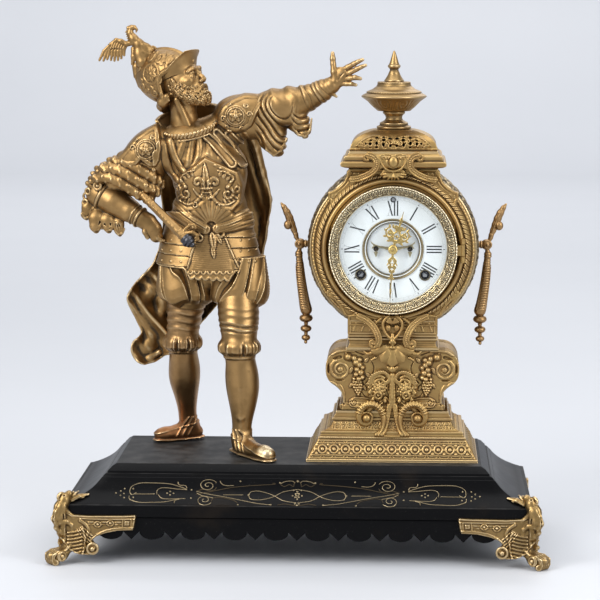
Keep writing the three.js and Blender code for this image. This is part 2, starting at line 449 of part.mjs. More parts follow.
// side handles: leaf above, boss screwed to the drum, fluted drop with beads below
for (const [name, s] of [['side_handle_left', -1], ['side_handle_right', 1]]) {
  const X = (v) => CX + s * v;
  // the drop is turned: neck ball, fluted taper, collar and three beads on one wire
  const drop = new THREE.LatheGeometry([[0, 5], [3.6, 4], [4.4, 0], [3.4, -3.4], [2.4, -5], [2.9, -7.5], [5, -60], [5.4, -63], [2.4, -66.5],
    [3.2, -70], [7, -73.5], [3, -77.5], [2, -79.5], [5.7, -85], [2, -89.6], [4.6, -94.4], [0, -98.6]].map(([r, z]) => new THREE.Vector2(r, z)), 8);
  drop.rotateX(Math.PI / 2);
  drop.rotateY(s * 0.068);
  drop.translate(X(94.6), 0, CZ - 1.5);
  node(name, U(
    limb([[X(93), 0, CZ + 3, 4.8], [X(99), 0, CZ + 10, 4.4], [X(102.5), 0, CZ + 18, 4.6], [X(105), 0, CZ + 26, 3.8], [X(112), 0, CZ + 36, 2.8], [X(114), 0, CZ + 40, 2]], 0, 5),
    shaft(X(93), CZ + 1, -6, 6, 6, 8),
    cyl([X(86.9), 0, CZ + 1], [X(92), 0, CZ + 1], 4, 4, 6), cyl([X(DRUM_R - 5.5), 0, CZ + 1], [X(90), 0, CZ + 1], 2, 2, 6),
    solid(drop)), M.case);
}

// back door with knob and knuckle
const DHX = CX + DOOR_HINGE_X, DHY = DOOR_HINGE_Y;
node('back_door', D(U(
  latheY([[0, 58.4], [61, 58.4], [61, 60], [57, 61.2], [0, 61.2], [0, 58.4]], 32, CX, CZ),
  cyl([DHX, DHY, CZ - 6], [DHX, DHY, CZ + 6], 2.5, 2.5, 10), box(CX + 56, DHX, 60.2, 61.8, CZ - 6, CZ + 6),
  shaft(CX - 50, CZ, 60, 66, 2, 8), ball([CX - 50, 67, CZ], 3.6, 8)),
  cyl([DHX, DHY, CZ - 20], [DHX, DHY, CZ + 20], 1.3, 1.3, 10)), M.case);
node('back_door_hinge', U(
  cyl([DHX, DHY, CZ - 13], [DHX, DHY, CZ + 13], 1, 1, 10),
  cyl([DHX, DHY, CZ - 12.5], [DHX, DHY, CZ - 6.3], 2.4, 2.4, 10), cyl([DHX, DHY, CZ + 6.3], [DHX, DHY, CZ + 12.5], 2.4, 2.4, 10),
  box(DHX, DHX + 5, 58.4, 61, CZ - 12.5, CZ - 6.3), box(DHX, DHX + 5, 58.4, 61, CZ + 6.3, CZ + 12.5)), M.brass);

// ================================================================ bezel and dial
const bezelRing = latheY([[66.6, -43.6], [BEZEL_R, -48], [65.5, -51.4], [63, -52], [61.3, -50.6], [62.9, -50.6], [62.9, -47.2],
  [60.5, -47.2], [53.6, -40.2], [53.6, -39], [63, -43.6], [66.6, -43.6]].reverse(), 28, CX, CZ);
node('bezel', U(bezelRing, cyl([CX + HINGE_X, HINGE_Y, CZ - 6], [CX + HINGE_X, HINGE_Y, CZ + 6], 2.4, 2.4, 12),
  box(CX + 65.5, CX + HINGE_X, -48.6, -46.2, CZ - 6, CZ + 6))
  .subtract(cyl([CX + HINGE_X, HINGE_Y, CZ - 20], [CX + HINGE_X, HINGE_Y, CZ + 20], 1.3, 1.3, 12)), M.brass);
node('bezel_glass', latheY([[0, -47.5], [62.3, -47.5], [62.3, -49.8], [60.8, -50.4], [57, -51.6], [0, -51.6], [0, -47.5]].reverse(), 28, CX, CZ), M.glass);
node('bezel_hinge_pin', U(
  cyl([CX + HINGE_X, HINGE_Y, CZ - 12], [CX + HINGE_X, HINGE_Y, CZ + 12], 1, 1, 12),
  cyl([CX + HINGE_X, HINGE_Y, CZ - 12], [CX + HINGE_X, HINGE_Y, CZ - 6.3], 2.4, 2.4, 12),
  cyl([CX + HINGE_X, HINGE_Y, CZ + 6.3], [CX + HINGE_X, HINGE_Y, CZ + 12], 2.4, 2.4, 12),
  box(CX + 68.3, CX + 71, -47, -41.3, CZ - 12, CZ - 6.3), box(CX + 68.3, CX + 71, -47, -41.3, CZ + 6.3, CZ + 12)), M.brass);

const posts = [[-30, 35], [30, 35], [0, -43]];
node('dial_ring', U(
  D(latheY([[31, DIAL_Y], [DIAL_R, DIAL_Y], [DIAL_R, DIAL_Y + 1.5], [31, DIAL_Y + 1.5], [31, DIAL_Y]], 28, CX, CZ),
    shaft(CX + WIND_X, CZ + WIND_Z, -50, -30, 5.3, 12), shaft(CX - WIND_X, CZ + WIND_Z, -50, -30, 5.3, 12),
    shaft(CX, CZ + REG_Z, -50, -30, 2.2, 10)),
  ...posts.map(([x, z]) => shaft(CX + x, CZ + z, -37, -24.1, 1.6, 8))), M.porcelain);
node('dial_centre_ring', latheY([[30.4, -36.2], [30.4, -38.3], [31.6, -38.3], [31, -39.2], [CENTRE_R, -36.2], [CENTRE_R, -34.6],
  [30.4, -36.2]].reverse(), 28, CX, CZ), M.brass);
const slot = (x) => box(CX + x - 1.6, CX + x + 1.6, -40, -30, CZ - 5, CZ + 3);
node('dial_centre', U(D(latheY([[4.4, -34.3], [29.5, -34.3], [29.5, -33.1], [4.4, -33.1], [4.4, -34.3]], 20, CX, CZ)),
  shaft(CX - 18, CZ + 18, -33.5, -24.1, 1.4, 8), shaft(CX + 18, CZ + 18, -33.5, -24.1, 1.4, 8), shaft(CX, CZ - 24, -33.5, -24.1, 1.4, 8)), M.porcelain);
const barPts = [[-22, 6.6], [-17.5, 3.2], [-8, 2.3], [-4.5, 6], [4.5, 6], [8, 2.3],
  [17.5, 3.2], [22, 6.6], [19.3, 0], [18.4, -3], [17, -8.6], [15.6, -3], [14.5, 0.5],
  [8, 0.4], [4.5, -6], [-4.5, -6], [-8, 0.4], [-14.5, 0.5], [-15.6, -3], [-17, -8.6], [-18.4, -3], [-19.3, 0]].reverse();
node('escapement_bridge', U(plateXZ(barPts.map(([x, z]) => [CX + x, CZ + z]), -37.4, -36.2, [[CX, CZ, 4.3, 10]]),
  shaft(CX - 17, CZ + 0.4, -38.3, -34.6, 2.4, 8), shaft(CX + 17, CZ + 0.4, -38.3, -34.6, 2.4, 8)), M.hands);

// ================================================================ hands
const polar = (deg, r) => [CX + r * Math.sin(deg * Math.PI / 180), CZ + r * Math.cos(deg * Math.PI / 180)];
const rotPts = (pts, deg) => pts.map(([u, v]) => {
  const a = deg * Math.PI / 180;       // u across the hand, v along it
  return [CX + u * Math.cos(a) + v * Math.sin(a), CZ - u * Math.sin(a) + v * Math.cos(a)];
});
const both = (h) => [...h, ...h.slice().reverse().map(([u, v]) => [-u, v])];
const hourPts = both([[4.8, 0], [3.4, 4.5], [2.6, 6.2], [7, 8.4], [11.8, 10.5], [9.6, 14], [11.6, 18.5], [7.6, 20], [4, 24.5], [2.2, 27], [1.4, 31], [0.25, 38.5]]);
const minutePts = both([[3.6, -2], [3.2, 3], [2.2, 6], [5.4, 11], [4.6, 15], [6.2, 18], [3.2, 22], [2.6, 27], [1.7, 33], [1.1, 43], [0.25, 54]]);
const spin = { hourRing: 4.9, minuteRing: 4.4 };
node('hour_hand', D(U(plateXZ(rotPts(hourPts, HOUR_ANGLE), -41.6, -40.6), shaft(CX, CZ, -41.6, -40.6, spin.hourRing, 14)),
  shaft(CX, CZ, -50, -30, 3.55, 14)), M.hands);
node('minute_hand', D(U(plateXZ(rotPts(minutePts, MINUTE_ANGLE), -44.2, -43.2), shaft(CX, CZ, -44.2, -43.2, spin.minuteRing, 14)),
  shaft(CX, CZ, -50, -30, 1.35, 12)), M.hands);
node('hand_nut', D(latheY([[0, -44.5], [3.6, -44.5], [3.4, -45.6], [2, -46.6], [0, -46.8], [0, -44.5]].reverse(), 12, CX, CZ),
  shaft(CX, CZ, -45.9, -40, 1.35, 12)), M.brass);

// ================================================================ movement
const plateHalf = [[36, 53], [43, 16], [54, -6], [57, -30], [56, -48]];
const plateOutline = [...plateHalf.map(([x, z]) => [CX + x, CZ + z]), ...plateHalf.slice().reverse().map(([x, z]) => [CX - x, CZ + z])].reverse();
const at = (p) => [CX + p[0], CZ + p[1]];
const arbors = [[[0, 0], 2.4], [SECOND, 1.4], [THIRD, 1.4], [ESCAPE, 1.3], [PALLET, 1.5], [[WIND_X, WIND_Z], 3.4], [[-WIND_X, WIND_Z], 3.4], [[0, REG_Z], 2.4]];
const pillars = [[51.5, -43.5], [-51.5, -43.5], [32.5, 46], [-32.5, 46]];
const holes = arbors.map(([p, r]) => [...at(p), r * 1.04, 7]);
const lug = (deg) => {
  const g = new THREE.BoxGeometry(26, 1.5, 9);
  g.translate(60, -22.95, 0);
  g.rotateY(-deg * Math.PI / 180);
  g.translate(CX, 0, CZ);
  return solid(g);
};
node('plate_front', D(U(plateXZ(plateOutline, -23.7, -22.2, [...holes, ...pillars.map((p) => [...at(p), 1.9, 6])]),
  lug(52), lug(128), lug(214), lug(326), shaft(...at(MINUTE), -32.7, -23, 1, 8)),
  ...pillars.map((p) => shaft(...at(p), -30, -20, 1.9, 6))), M.brass);
node('plate_back', U(plateXZ(plateOutline, 8, 9.5, holes.concat([[CX - 24, CZ - 38, 1.5, 7]])),
  ...pillars.map((p) => shaft(...at(p), -21.9, 8.5, 2.8, 6)), ...pillars.map((p) => shaft(...at(p), -23.75, -21, 1.5, 6))), M.brass);

// winding arbors, each with its coiled mainspring
for (const [name, s] of [['time_winding_arbor', 1], ['strike_winding_arbor', -1]]) {
  const [x, z] = at([s * WIND_X, WIND_Z]);
  const sq = new THREE.BoxGeometry(3.6, 9, 3.6); sq.translate(x, -33.5, z);
  node(name, U(shaft(x, z, -30, 10.2, 3, 12), solid(sq), shaft(x, z, -21, -9.6, 16, 20)), M.steel);
}
const ang = (from, to) => Math.atan2(to[1] - from[1], to[0] - from[0]);
const G = [WIND_X, WIND_Z], C = [0, 0];
// great wheels
node('time_great_wheel', D(plateXZ(wheelPts(48, 21.6, 0.9, ang(G, SECOND), ...at(G)), -8.2, -6.6), shaft(...at(G), -20, 5, 3.35, 12)), M.brass);
node('strike_great_wheel', D(plateXZ(wheelPts(48, 21.6, 0.9, Math.PI - ang(G, SECOND), CX - WIND_X, CZ + WIND_Z), -8.2, -6.6),
  shaft(CX - WIND_X, CZ + WIND_Z, -20, 5, 3.35, 12)), M.brass);
// second wheel: 36 teeth, pinion of 6
node('second_wheel', U(plateXZ(wheelPts(36, 18, 1.0, ang(SECOND, C), ...at(SECOND)), -2, -0.9),
  plateXZ(pinionPts(6, 2.7, 0.9, ang(SECOND, G), ...at(SECOND)), -9.2, -5.6), shaft(...at(SECOND), -24, 10, 1.1, 8)), M.brass);
// centre arbor: pinion of 6, wheel of 72, cannon pinion of 10 for the hands
node('centre_wheel', U(plateXZ(wheelPts(72, 17.64, 0.49, ang(C, THIRD), ...at(C)), 3, 4),
  plateXZ(pinionPts(6, 3, 1.0, ang(C, SECOND), ...at(C)), -3.3, 0.4),
  plateXZ(pinionPts(10, 2.75, 0.55, ang(C, MINUTE), ...at(C)), -29.2, -26.2),
  shaft(...at(C), -26.6, 10, 2, 12), shaft(...at(C), -43, -29, 1.9, 12), shaft(...at(C), -45.6, -42.5, 1.05, 12)), M.steel);
// third wheel: 66 teeth, pinion of 6
node('third_wheel', U(plateXZ(wheelPts(66, 15.4, 0.4667, ang(THIRD, ESCAPE), ...at(THIRD)), -14, -13.1),
  plateXZ(pinionPts(6, 1.47, 0.49, ang(THIRD, C), ...at(THIRD)), 1.8, 5.2), shaft(...at(THIRD), -24, 2.5, 1, 8), shaft(...at(THIRD), 4.5, 10, 1, 8)), M.brass);
// escape wheel: 38 raked teeth, pinion of 6
const escPts = [];
for (let i = 0; i < 38; i++) {
  const a = 2 * Math.PI * i / 38, p = 2 * Math.PI / 38;
  for (const [f, r] of [[0, 9.6], [0.2, 12]]) escPts.push([CX + ESCAPE[0] + r * Math.cos(a + f * p), CZ + ESCAPE[1] + r * Math.sin(a + f * p)]);
}
node('escape_wheel', U(plateXZ(escPts, -4.5, -3.7), plateXZ(pinionPts(6, 1.4, 0.4667, ang(ESCAPE, THIRD), ...at(ESCAPE)), -15.2, -12),
  shaft(...at(ESCAPE), -24, -14.5, 0.9, 8), shaft(...at(ESCAPE), -12.5, 10, 0.9, 8)), M.brass);
// pallets, arbor and crutch
const [px, pz] = at(PALLET);
const anchorPts = [[-3, 3.2], [3, 3.2], [9, -3], [12.6, -9.2], [11.6, -10.4], [7.2, -5], [2, -2.6], [-2, -2.6], [-7.2, -5], [-11.6, -10.4], [-12.6, -9.2], [-9, -3]]
  .map(([x, z]) => [px + x, pz + z]).reverse();
node('pallet_anchor', U(plateXZ(anchorPts, -5, -3.2), shaft(px, pz, -24, 13, 1.2, 10),
  box(px - 1.3, px + 1.3, 11.4, 12.8, pz - 24, pz + 1), box(px - 3.4, px + 3.4, 11.4, 12.8, pz - 25.5, pz - 23.5),
  box(px - 3.4, px - 2.2, 12, 20, pz - 25.5, pz - 23.5), box(px + 2.2, px + 3.4, 12, 20, pz - 25.5, pz - 23.5)), M.steel);
// motion work: minute wheel of 30 with a pinion of 8, hour wheel of 32
const mPhase = ang(MINUTE, C);
node('minute_wheel', D(U(plateXZ(wheelPts(30, 8.25, 0.55, mPhase, ...at(MINUTE)), -28.3, -27.2),
  plateXZ(pinionPts(8, 2.2, 0.55, mPhase, ...at(MINUTE)), -32.4, -28)), shaft(...at(MINUTE), -36, -20, 1.12, 8)), M.brass);
node('hour_wheel', D(U(plateXZ(wheelPts(32, 8.8, 0.55, ang(C, MINUTE), ...at(C)), -32, -31), shaft(...at(C), -42.4, -31, 3.2, 14)),
  shaft(...at(C), -50, -20, 2.2, 14)), M.brass);
// regulator arbor
node('regulator_arbor', U(shaft(CX, CZ + REG_Z, -38.6, -30, 1.8, 10), shaft(CX, CZ + REG_Z, -30.5, 22, 2, 10)), M.steel);

// pendulum: suspension spring and rod, bob with its rating nut
const bobZ = pz - PEND_L;
node('pendulum_rod', U(box(px - 2, px + 2, 16.7, 17.3, pz - 12, pz + 7), shaft(px, pz + 6.5, 14.5, 19.5, 1.4, 8),
  cyl([px, 17, pz - 10], [px, 17, bobZ - 19], 1, 1, 8)), M.steel);
node('pendulum_bob', D(U(latheY([[0, 12.6], [9, 13], [15, 16], [15, 18], [9, 21], [0, 21.4], [0, 12.6]], 20, px, bobZ)),
  cyl([px, 17, bobZ + 20], [px, 17, bobZ - 20], 1.35, 1.35, 8)), M.brass);

// coiled gong on its block, and the hammer
class Spiral extends THREE.Curve {
  getPoint(t, target = new THREE.Vector3()) {
    const a = t * 3.5 * 2 * Math.PI, r = 7 + 23 * t;
    return target.set(CX + r * Math.cos(a), 28, 160 + r * Math.sin(a));
  }
}
const wire = new THREE.Shape();
for (let i = 0; i < 5; i++) {
  const a = i / 5 * 2 * Math.PI;
  if (i === 0) wire.moveTo(1.2 * Math.cos(a), 1.2 * Math.sin(a)); else wire.lineTo(1.2 * Math.cos(a), 1.2 * Math.sin(a));
}
node('gong', U(solid(new THREE.ExtrudeGeometry(wire, { steps: 36, extrudePath: new Spiral(), bevelEnabled: false })),
  shaft(CX, 160, 25, 33.5, 8.5, 12)), M.iron);
const hp = [CX - 24, CZ - 38];
node('hammer', U(shaft(...hp, 3, 29.5, 1.1, 8), limb([[hp[0], 28, hp[1], 1.6], [hp[0] - 4, 28, hp[1] - 40, 1.2], [CX - 27.6, 28, 190.5, 1.4]], 0, 7),
  cyl([CX - 33, 28, 190.5], [CX - 24.5, 28, 187], 3.4, 3.4, 10)), M.brass);

export default clock;
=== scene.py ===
"""Looks of the figural mantel clock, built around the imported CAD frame. Lengths are in millimetres until a mesh is made."""
import bpy
import math
import numpy as np
import openvdb as vdb
from mathutils import Vector, Matrix

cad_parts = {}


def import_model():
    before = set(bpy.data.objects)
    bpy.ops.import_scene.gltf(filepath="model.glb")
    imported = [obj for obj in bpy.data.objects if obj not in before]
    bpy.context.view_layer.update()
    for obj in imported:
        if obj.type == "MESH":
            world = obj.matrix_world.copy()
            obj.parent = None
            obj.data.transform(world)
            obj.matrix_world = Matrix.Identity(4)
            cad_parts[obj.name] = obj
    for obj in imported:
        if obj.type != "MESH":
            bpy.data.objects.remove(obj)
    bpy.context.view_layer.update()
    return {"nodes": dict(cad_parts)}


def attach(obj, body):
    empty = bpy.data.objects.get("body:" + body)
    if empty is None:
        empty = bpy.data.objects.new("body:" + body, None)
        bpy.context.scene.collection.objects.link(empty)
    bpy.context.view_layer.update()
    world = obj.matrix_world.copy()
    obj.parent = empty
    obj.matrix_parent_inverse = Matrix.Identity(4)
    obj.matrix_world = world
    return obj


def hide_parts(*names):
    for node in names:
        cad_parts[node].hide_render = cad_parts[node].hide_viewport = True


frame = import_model()
FINE = 1.0          # voxel factor
PI, TAU = math.pi, 2 * math.pi
f4 = np.float32


# ------------------------------------------------------------------ mesh helpers
def unit(v):
    v = np.asarray(v, float)
    return v / max(np.linalg.norm(v), 1e-12)


def edges_of(faces):
    out = []
    for F in faces:
        n = F.shape[1]
        for i in range(n):
            out.append(np.stack([F[:, i], F[:, (i + 1) % n]], 1))
    return np.concatenate(out)


def normals_of(V, faces):
    N = np.zeros_like(V)
    for F in faces:
        a, b, c = V[F[:, 0]], V[F[:, 1]], V[F[:, 2]]
        n = np.cross(b - a, c - a)
        if F.shape[1] == 4:
            n = np.cross(V[F[:, 2]] - a, V[F[:, 3]] - b)
        for i in range(F.shape[1]):
            for k in range(3):
                N[:, k] += np.bincount(F[:, i], n[:, k], len(V))
    return N / np.maximum(np.linalg.norm(N, axis=1, keepdims=True), 1e-12)


def volume_of(V, faces):
    t = 0.0
    for F in faces:
        for i in range(1, F.shape[1] - 1):
            t += float(np.einsum("ij,ij->", V[F[:, 0]], np.cross(V[F[:, i]], V[F[:, i + 1]])))
    return t / 6


def cavity(V, faces, rounds):
    """How far a vertex lies below (+) or above (-) its smoothed neighbourhood, mm."""
    E = edges_of(faces)
    deg = np.maximum(np.bincount(E[:, 0], minlength=len(V)) + np.bincount(E[:, 1], minlength=len(V)), 1)
    P = V.copy()
    for _ in range(rounds):
        Q = np.empty_like(P)
        for k in range(3):
            Q[:, k] = (np.bincount(E[:, 0], P[E[:, 1], k], len(V)) + np.bincount(E[:, 1], P[E[:, 0], k], len(V))) / deg
        P = 0.35 * P + 0.65 * Q
    return np.einsum("ij,ij->i", P - V, normals_of(V, faces))


def components(n, faces):
    E = edges_of(faces)
    L = np.arange(n)
    while True:
        m = np.minimum(L[E[:, 0]], L[E[:, 1]])
        M = L.copy()
        np.minimum.at(M, E[:, 0], m)
        np.minimum.at(M, E[:, 1], m)
        M = M[M]
        if (M == L).all():
            return L
        L = M


def keep_big(V, faces, share=0.02):
    L = components(len(V), faces)
    ids, inv, cnt = np.unique(L, return_inverse=True, return_counts=True)
    good = cnt[inv] >= max(cnt.max() * share, 30)
    if good.all():
        return V, faces
    new = np.cumsum(good) - 1
    return V[good], [new[F[good[F[:, 0]]]] for F in faces]


def obj(name, V, faces, mat, body="root", rep=(), slot=None, smooth=True, cav=8, sharp=None, flip=True):
    """A mesh from mm vertices and a list of face arrays, with its hollow measure in attribute cav."""
    V = np.asarray(V, float)
    faces = [np.asarray(F, np.int64) for F in faces if len(F)]
    if flip and volume_of(V, faces) < 0:
        faces = [F[:, ::-1] for F in faces]
    me = bpy.data.meshes.new(name)
    me.vertices.add(len(V))
    me.vertices.foreach_set("co", (V * 0.001).astype(f4).ravel())
    loops = np.concatenate([F.ravel() for F in faces]).astype(np.int32)
    sizes = np.concatenate([np.full(len(F), F.shape[1]) for F in faces])
    me.loops.add(len(loops))
    me.loops.foreach_set("vertex_index", loops)
    me.polygons.add(len(sizes))
    me.polygons.foreach_set("loop_start", np.concatenate([[0], np.cumsum(sizes)[:-1]]).astype(np.int32))
    me.polygons.foreach_set("use_smooth", np.full(len(sizes), bool(smooth)))
    me.update(calc_edges=True)
    me.validate()
    if cav:
        c = cavity(V, faces, cav)
        at = me.attributes.new("cav", "FLOAT", "POINT")
        at.data.foreach_set("value", c.astype(f4))
    o = bpy.data.objects.new(name, me)
    bpy.context.scene.collection.objects.link(o)
    if sharp:
        me.set_sharp_from_angle(angle=math.radians(sharp))
    me.materials.append(mat)
    if body is not None:
        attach(o, body)
    if rep:
        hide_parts(*rep)
    return o


class Bag:
    """Collects closed shapes into one mesh."""
    def __init__(s):
        s.V, s.T, s.Q, s.n = [], [], [], 0

    def put(s, V, faces):
        V = np.asarray(V, float)
        faces = [np.asarray(F, np.int64) for F in faces if len(F)]
        if volume_of(V, faces) < 0:
            faces = [F[:, ::-1] for F in faces]
        for F in faces:
            (s.T if F.shape[1] == 3 else s.Q).append(F + s.n)
        s.V.append(V)
        s.n += len(V)

    def make(s, name, mat, **k):
        F = [np.concatenate(x) for x in (s.T, s.Q) if x]
        return obj(name, np.concatenate(s.V), F, mat, flip=False, **k)


def grid_faces(nu, nv, wu=False, wv=False):
    i = np.arange(nu if wu else nu - 1)[:, None]
    j = np.arange(nv if wv else nv - 1)[None, :]
    a = i * nv + j
    b = ((i + 1) % nu) * nv + j
    c = ((i + 1) % nu) * nv + (j + 1) % nv
    d = i * nv + (j + 1) % nv
    return np.stack([a, b, c, d], -1).reshape(-1, 4)


def revolve(profile, n, centre=(0, 0, 0), axis="z", r_of=None):
    """Closed turned shape: profile (r, h) from axis to axis. r_of(r, h, angle) may vary the radius."""
    P = np.array(profile, float)
    a = np.arange(n) * TAU / n
    R = P[:, 0][:, None] * np.ones(n)
    H = P[:, 1][:, None] * np.ones(n)
    if r_of:
        R, H = r_of(R, H, a[None, :] * np.ones_like(R))
    X, Y = R * np.cos(a), R * np.sin(a)
    G = np.stack([X, Y, H], -1) if axis == "z" else np.stack([X, H, Y], -1)
    V = G.reshape(-1, 3)
    F = [grid_faces(len(P), n, wv=True)]
    T = []
    if P[0, 0] < 1e-6 and P[-1, 0] < 1e-6:
        V = V[n:-n] if len(P) > 2 else V
        m = len(P) - 2
        F = [grid_faces(m, n, wv=True)] if m > 1 else []
        p0 = G[0, 0]
        p1 = G[-1, 0]
        V = np.concatenate([V, [p0, p1]])
        j = np.arange(n)
        T.append(np.stack([np.full(n, m * n), (j + 1) % n, j], 1))
        T.append(np.stack([np.full(n, m * n + 1), (m - 1) * n + j, (m - 1) * n + (j + 1) % n], 1))
        F.append(np.concatenate(T))
    else:
        F = [grid_faces(len(P), n, wu=True, wv=True)]     # ring: profile closes on itself
    return V + np.array(centre, float), F


def tube(pts, rad, n=8, flat=None):
    """Closed tube through points, capped. rad: number or list. flat (normal, k) squeezes it."""
    P = np.array(pts, float)
    r = np.full(len(P), rad, float) if np.isscalar(rad) else np.array(rad, float)
    T = np.gradient(P, axis=0)
    T /= np.maximum(np.linalg.norm(T, axis=1, keepdims=True), 1e-9)
    u = np.cross(T[0], [0.0, 1.0, 0.03])
    if np.linalg.norm(u) < 0.1:
        u = np.cross(T[0], [1.0, 0, 0])
    rings = []
    a = np.arange(n) * TAU / n
    for i in range(len(P)):
        u = unit(u - T[i] * np.dot(u, T[i]))
        w = np.cross(T[i], u)
        ring = np.cos(a)[:, None] * u * r[i] + np.sin(a)[:, None] * w * r[i]
        if flat is not None:
            nn = unit(flat[0])
            ring = ring - (1 - flat[1]) * (ring @ nn)[:, None] * nn
        rings.append(P[i] + ring)
    V = np.concatenate(rings + [P[:1] - T[0] * r[0] * 0.5, P[-1:] + T[-1] * r[-1] * 0.5])
    m = len(P)
    j = np.arange(n)
    T3 = np.concatenate([np.stack([np.full(n, m * n), (j + 1) % n, j], 1),
                         np.stack([np.full(n, m * n + 1), (m - 1) * n + j, (m - 1) * n + (j + 1) % n], 1)])
    return V, [grid_faces(m, n, wv=True), T3]


def ico(r, c, sub=1, scale=(1, 1, 1)):
    V0, F0 = _ICO[sub]
    return V0 * r * np.array(scale) + np.array(c, float), [F0]


def _make_ico():
    t = (1 + 5 ** 0.5) / 2
    V = np.array([[-1, t, 0], [1, t, 0], [-1, -t, 0], [1, -t, 0], [0, -1, t], [0, 1, t], [0, -1, -t], [0, 1, -t],
                  [t, 0, -1], [t, 0, 1], [-t, 0, -1], [-t, 0, 1]], float)
    F = np.array([[0, 11, 5], [0, 5, 1], [0, 1, 7], [0, 7, 10], [0, 10, 11], [1, 5, 9], [5, 11, 4], [11, 10, 2],
                  [10, 7, 6], [7, 1, 8], [3, 9, 4], [3, 4, 2], [3, 2, 6], [3, 6, 8], [3, 8, 9], [4, 9, 5], [2, 4, 11],
                  [6, 2, 10], [8, 6, 7], [9, 8, 1]])
    out = {}
    V /= np.linalg.norm(V, axis=1, keepdims=True)
    out[0] = (V, F)
    for s in (1, 2, 3):
        VL, FL, mid = list(V), [], {}
        def m(a, b):
            k = (min(a, b), max(a, b))
            if k not in mid:
                mid[k] = len(VL)
                VL.append(unit((VL[a] + VL[b])))
            return mid[k]
        for a, b, c in F:
            x, y, z = m(a, b), m(b, c), m(c, a)
            FL += [[a, x, z], [b, y, x], [c, z, y], [x, y, z]]
        V, F = np.array(VL), np.array(FL)
        out[s] = (V, F)
    return out


_ICO = _make_ico()


def prism(poly, y0, y1, bevel=0.0):
    """Closed plate: polygon in (x, z) between y0 (front) and y1, with a bevelled front edge."""
    P = np.array(poly, float)
    A = np.roll(P, -1, 0) - P
    if (P[:, 0] * np.roll(P[:, 1], -1) - P[:, 1] * np.roll(P[:, 0], -1)).sum() < 0:
        P = P[::-1]
    rings = []
    if bevel:
        d = np.roll(P, -1, 0) - np.roll(P, 1, 0)
        nrm = np.stack([d[:, 1], -d[:, 0]], 1)
        nrm /= np.maximum(np.linalg.norm(nrm, axis=1, keepdims=True), 1e-9)
        Q = P - nrm * bevel
        rings = [(Q, y0), (P, y0 + bevel), (P, y1)]
    else:
        rings = [(P, y0), (P, y1)]
    n = len(P)
    V = np.concatenate([np.stack([q[:, 0], np.full(n, y), q[:, 1]], 1) for q, y in rings])
    F = grid_faces(len(rings), n, wv=True)
    from mathutils.geometry import tessellate_polygon
    tri = np.array(tessellate_polygon([[Vector((x, z, 0)) for x, z in rings[0][0]]]))
    tri2 = np.array(tessellate_polygon([[Vector((x, z, 0)) for x, z in P]]))
    T = np.concatenate([tri, tri2[:, ::-1] + (len(rings) - 1) * n])
    # make cap windings agree with the walls
    a, b, c = V[tri[0]]
    front = np.cross(b - a, c - a)[1] < 0
    if not front:
        T[:len(tri)] = T[:len(tri), ::-1]
    a, b, c = V[tri2[0] + (len(rings) - 1) * n]
    back = np.cross(b - a, c - a)[1] > 0
    T[len(tri):] = (tri2 if back else tri2[:, ::-1]) + (len(rings) - 1) * n
    a, b, c, d = V[F[0]]
    out2 = np.cross(b - a, d - a)
    e = rings[0][0][1] - rings[0][0][0]
    want = np.array([e[1], 0, -e[0]])
    if out2 @ want < 0:
        F = F[:, ::-1]
    return V, [F, T]


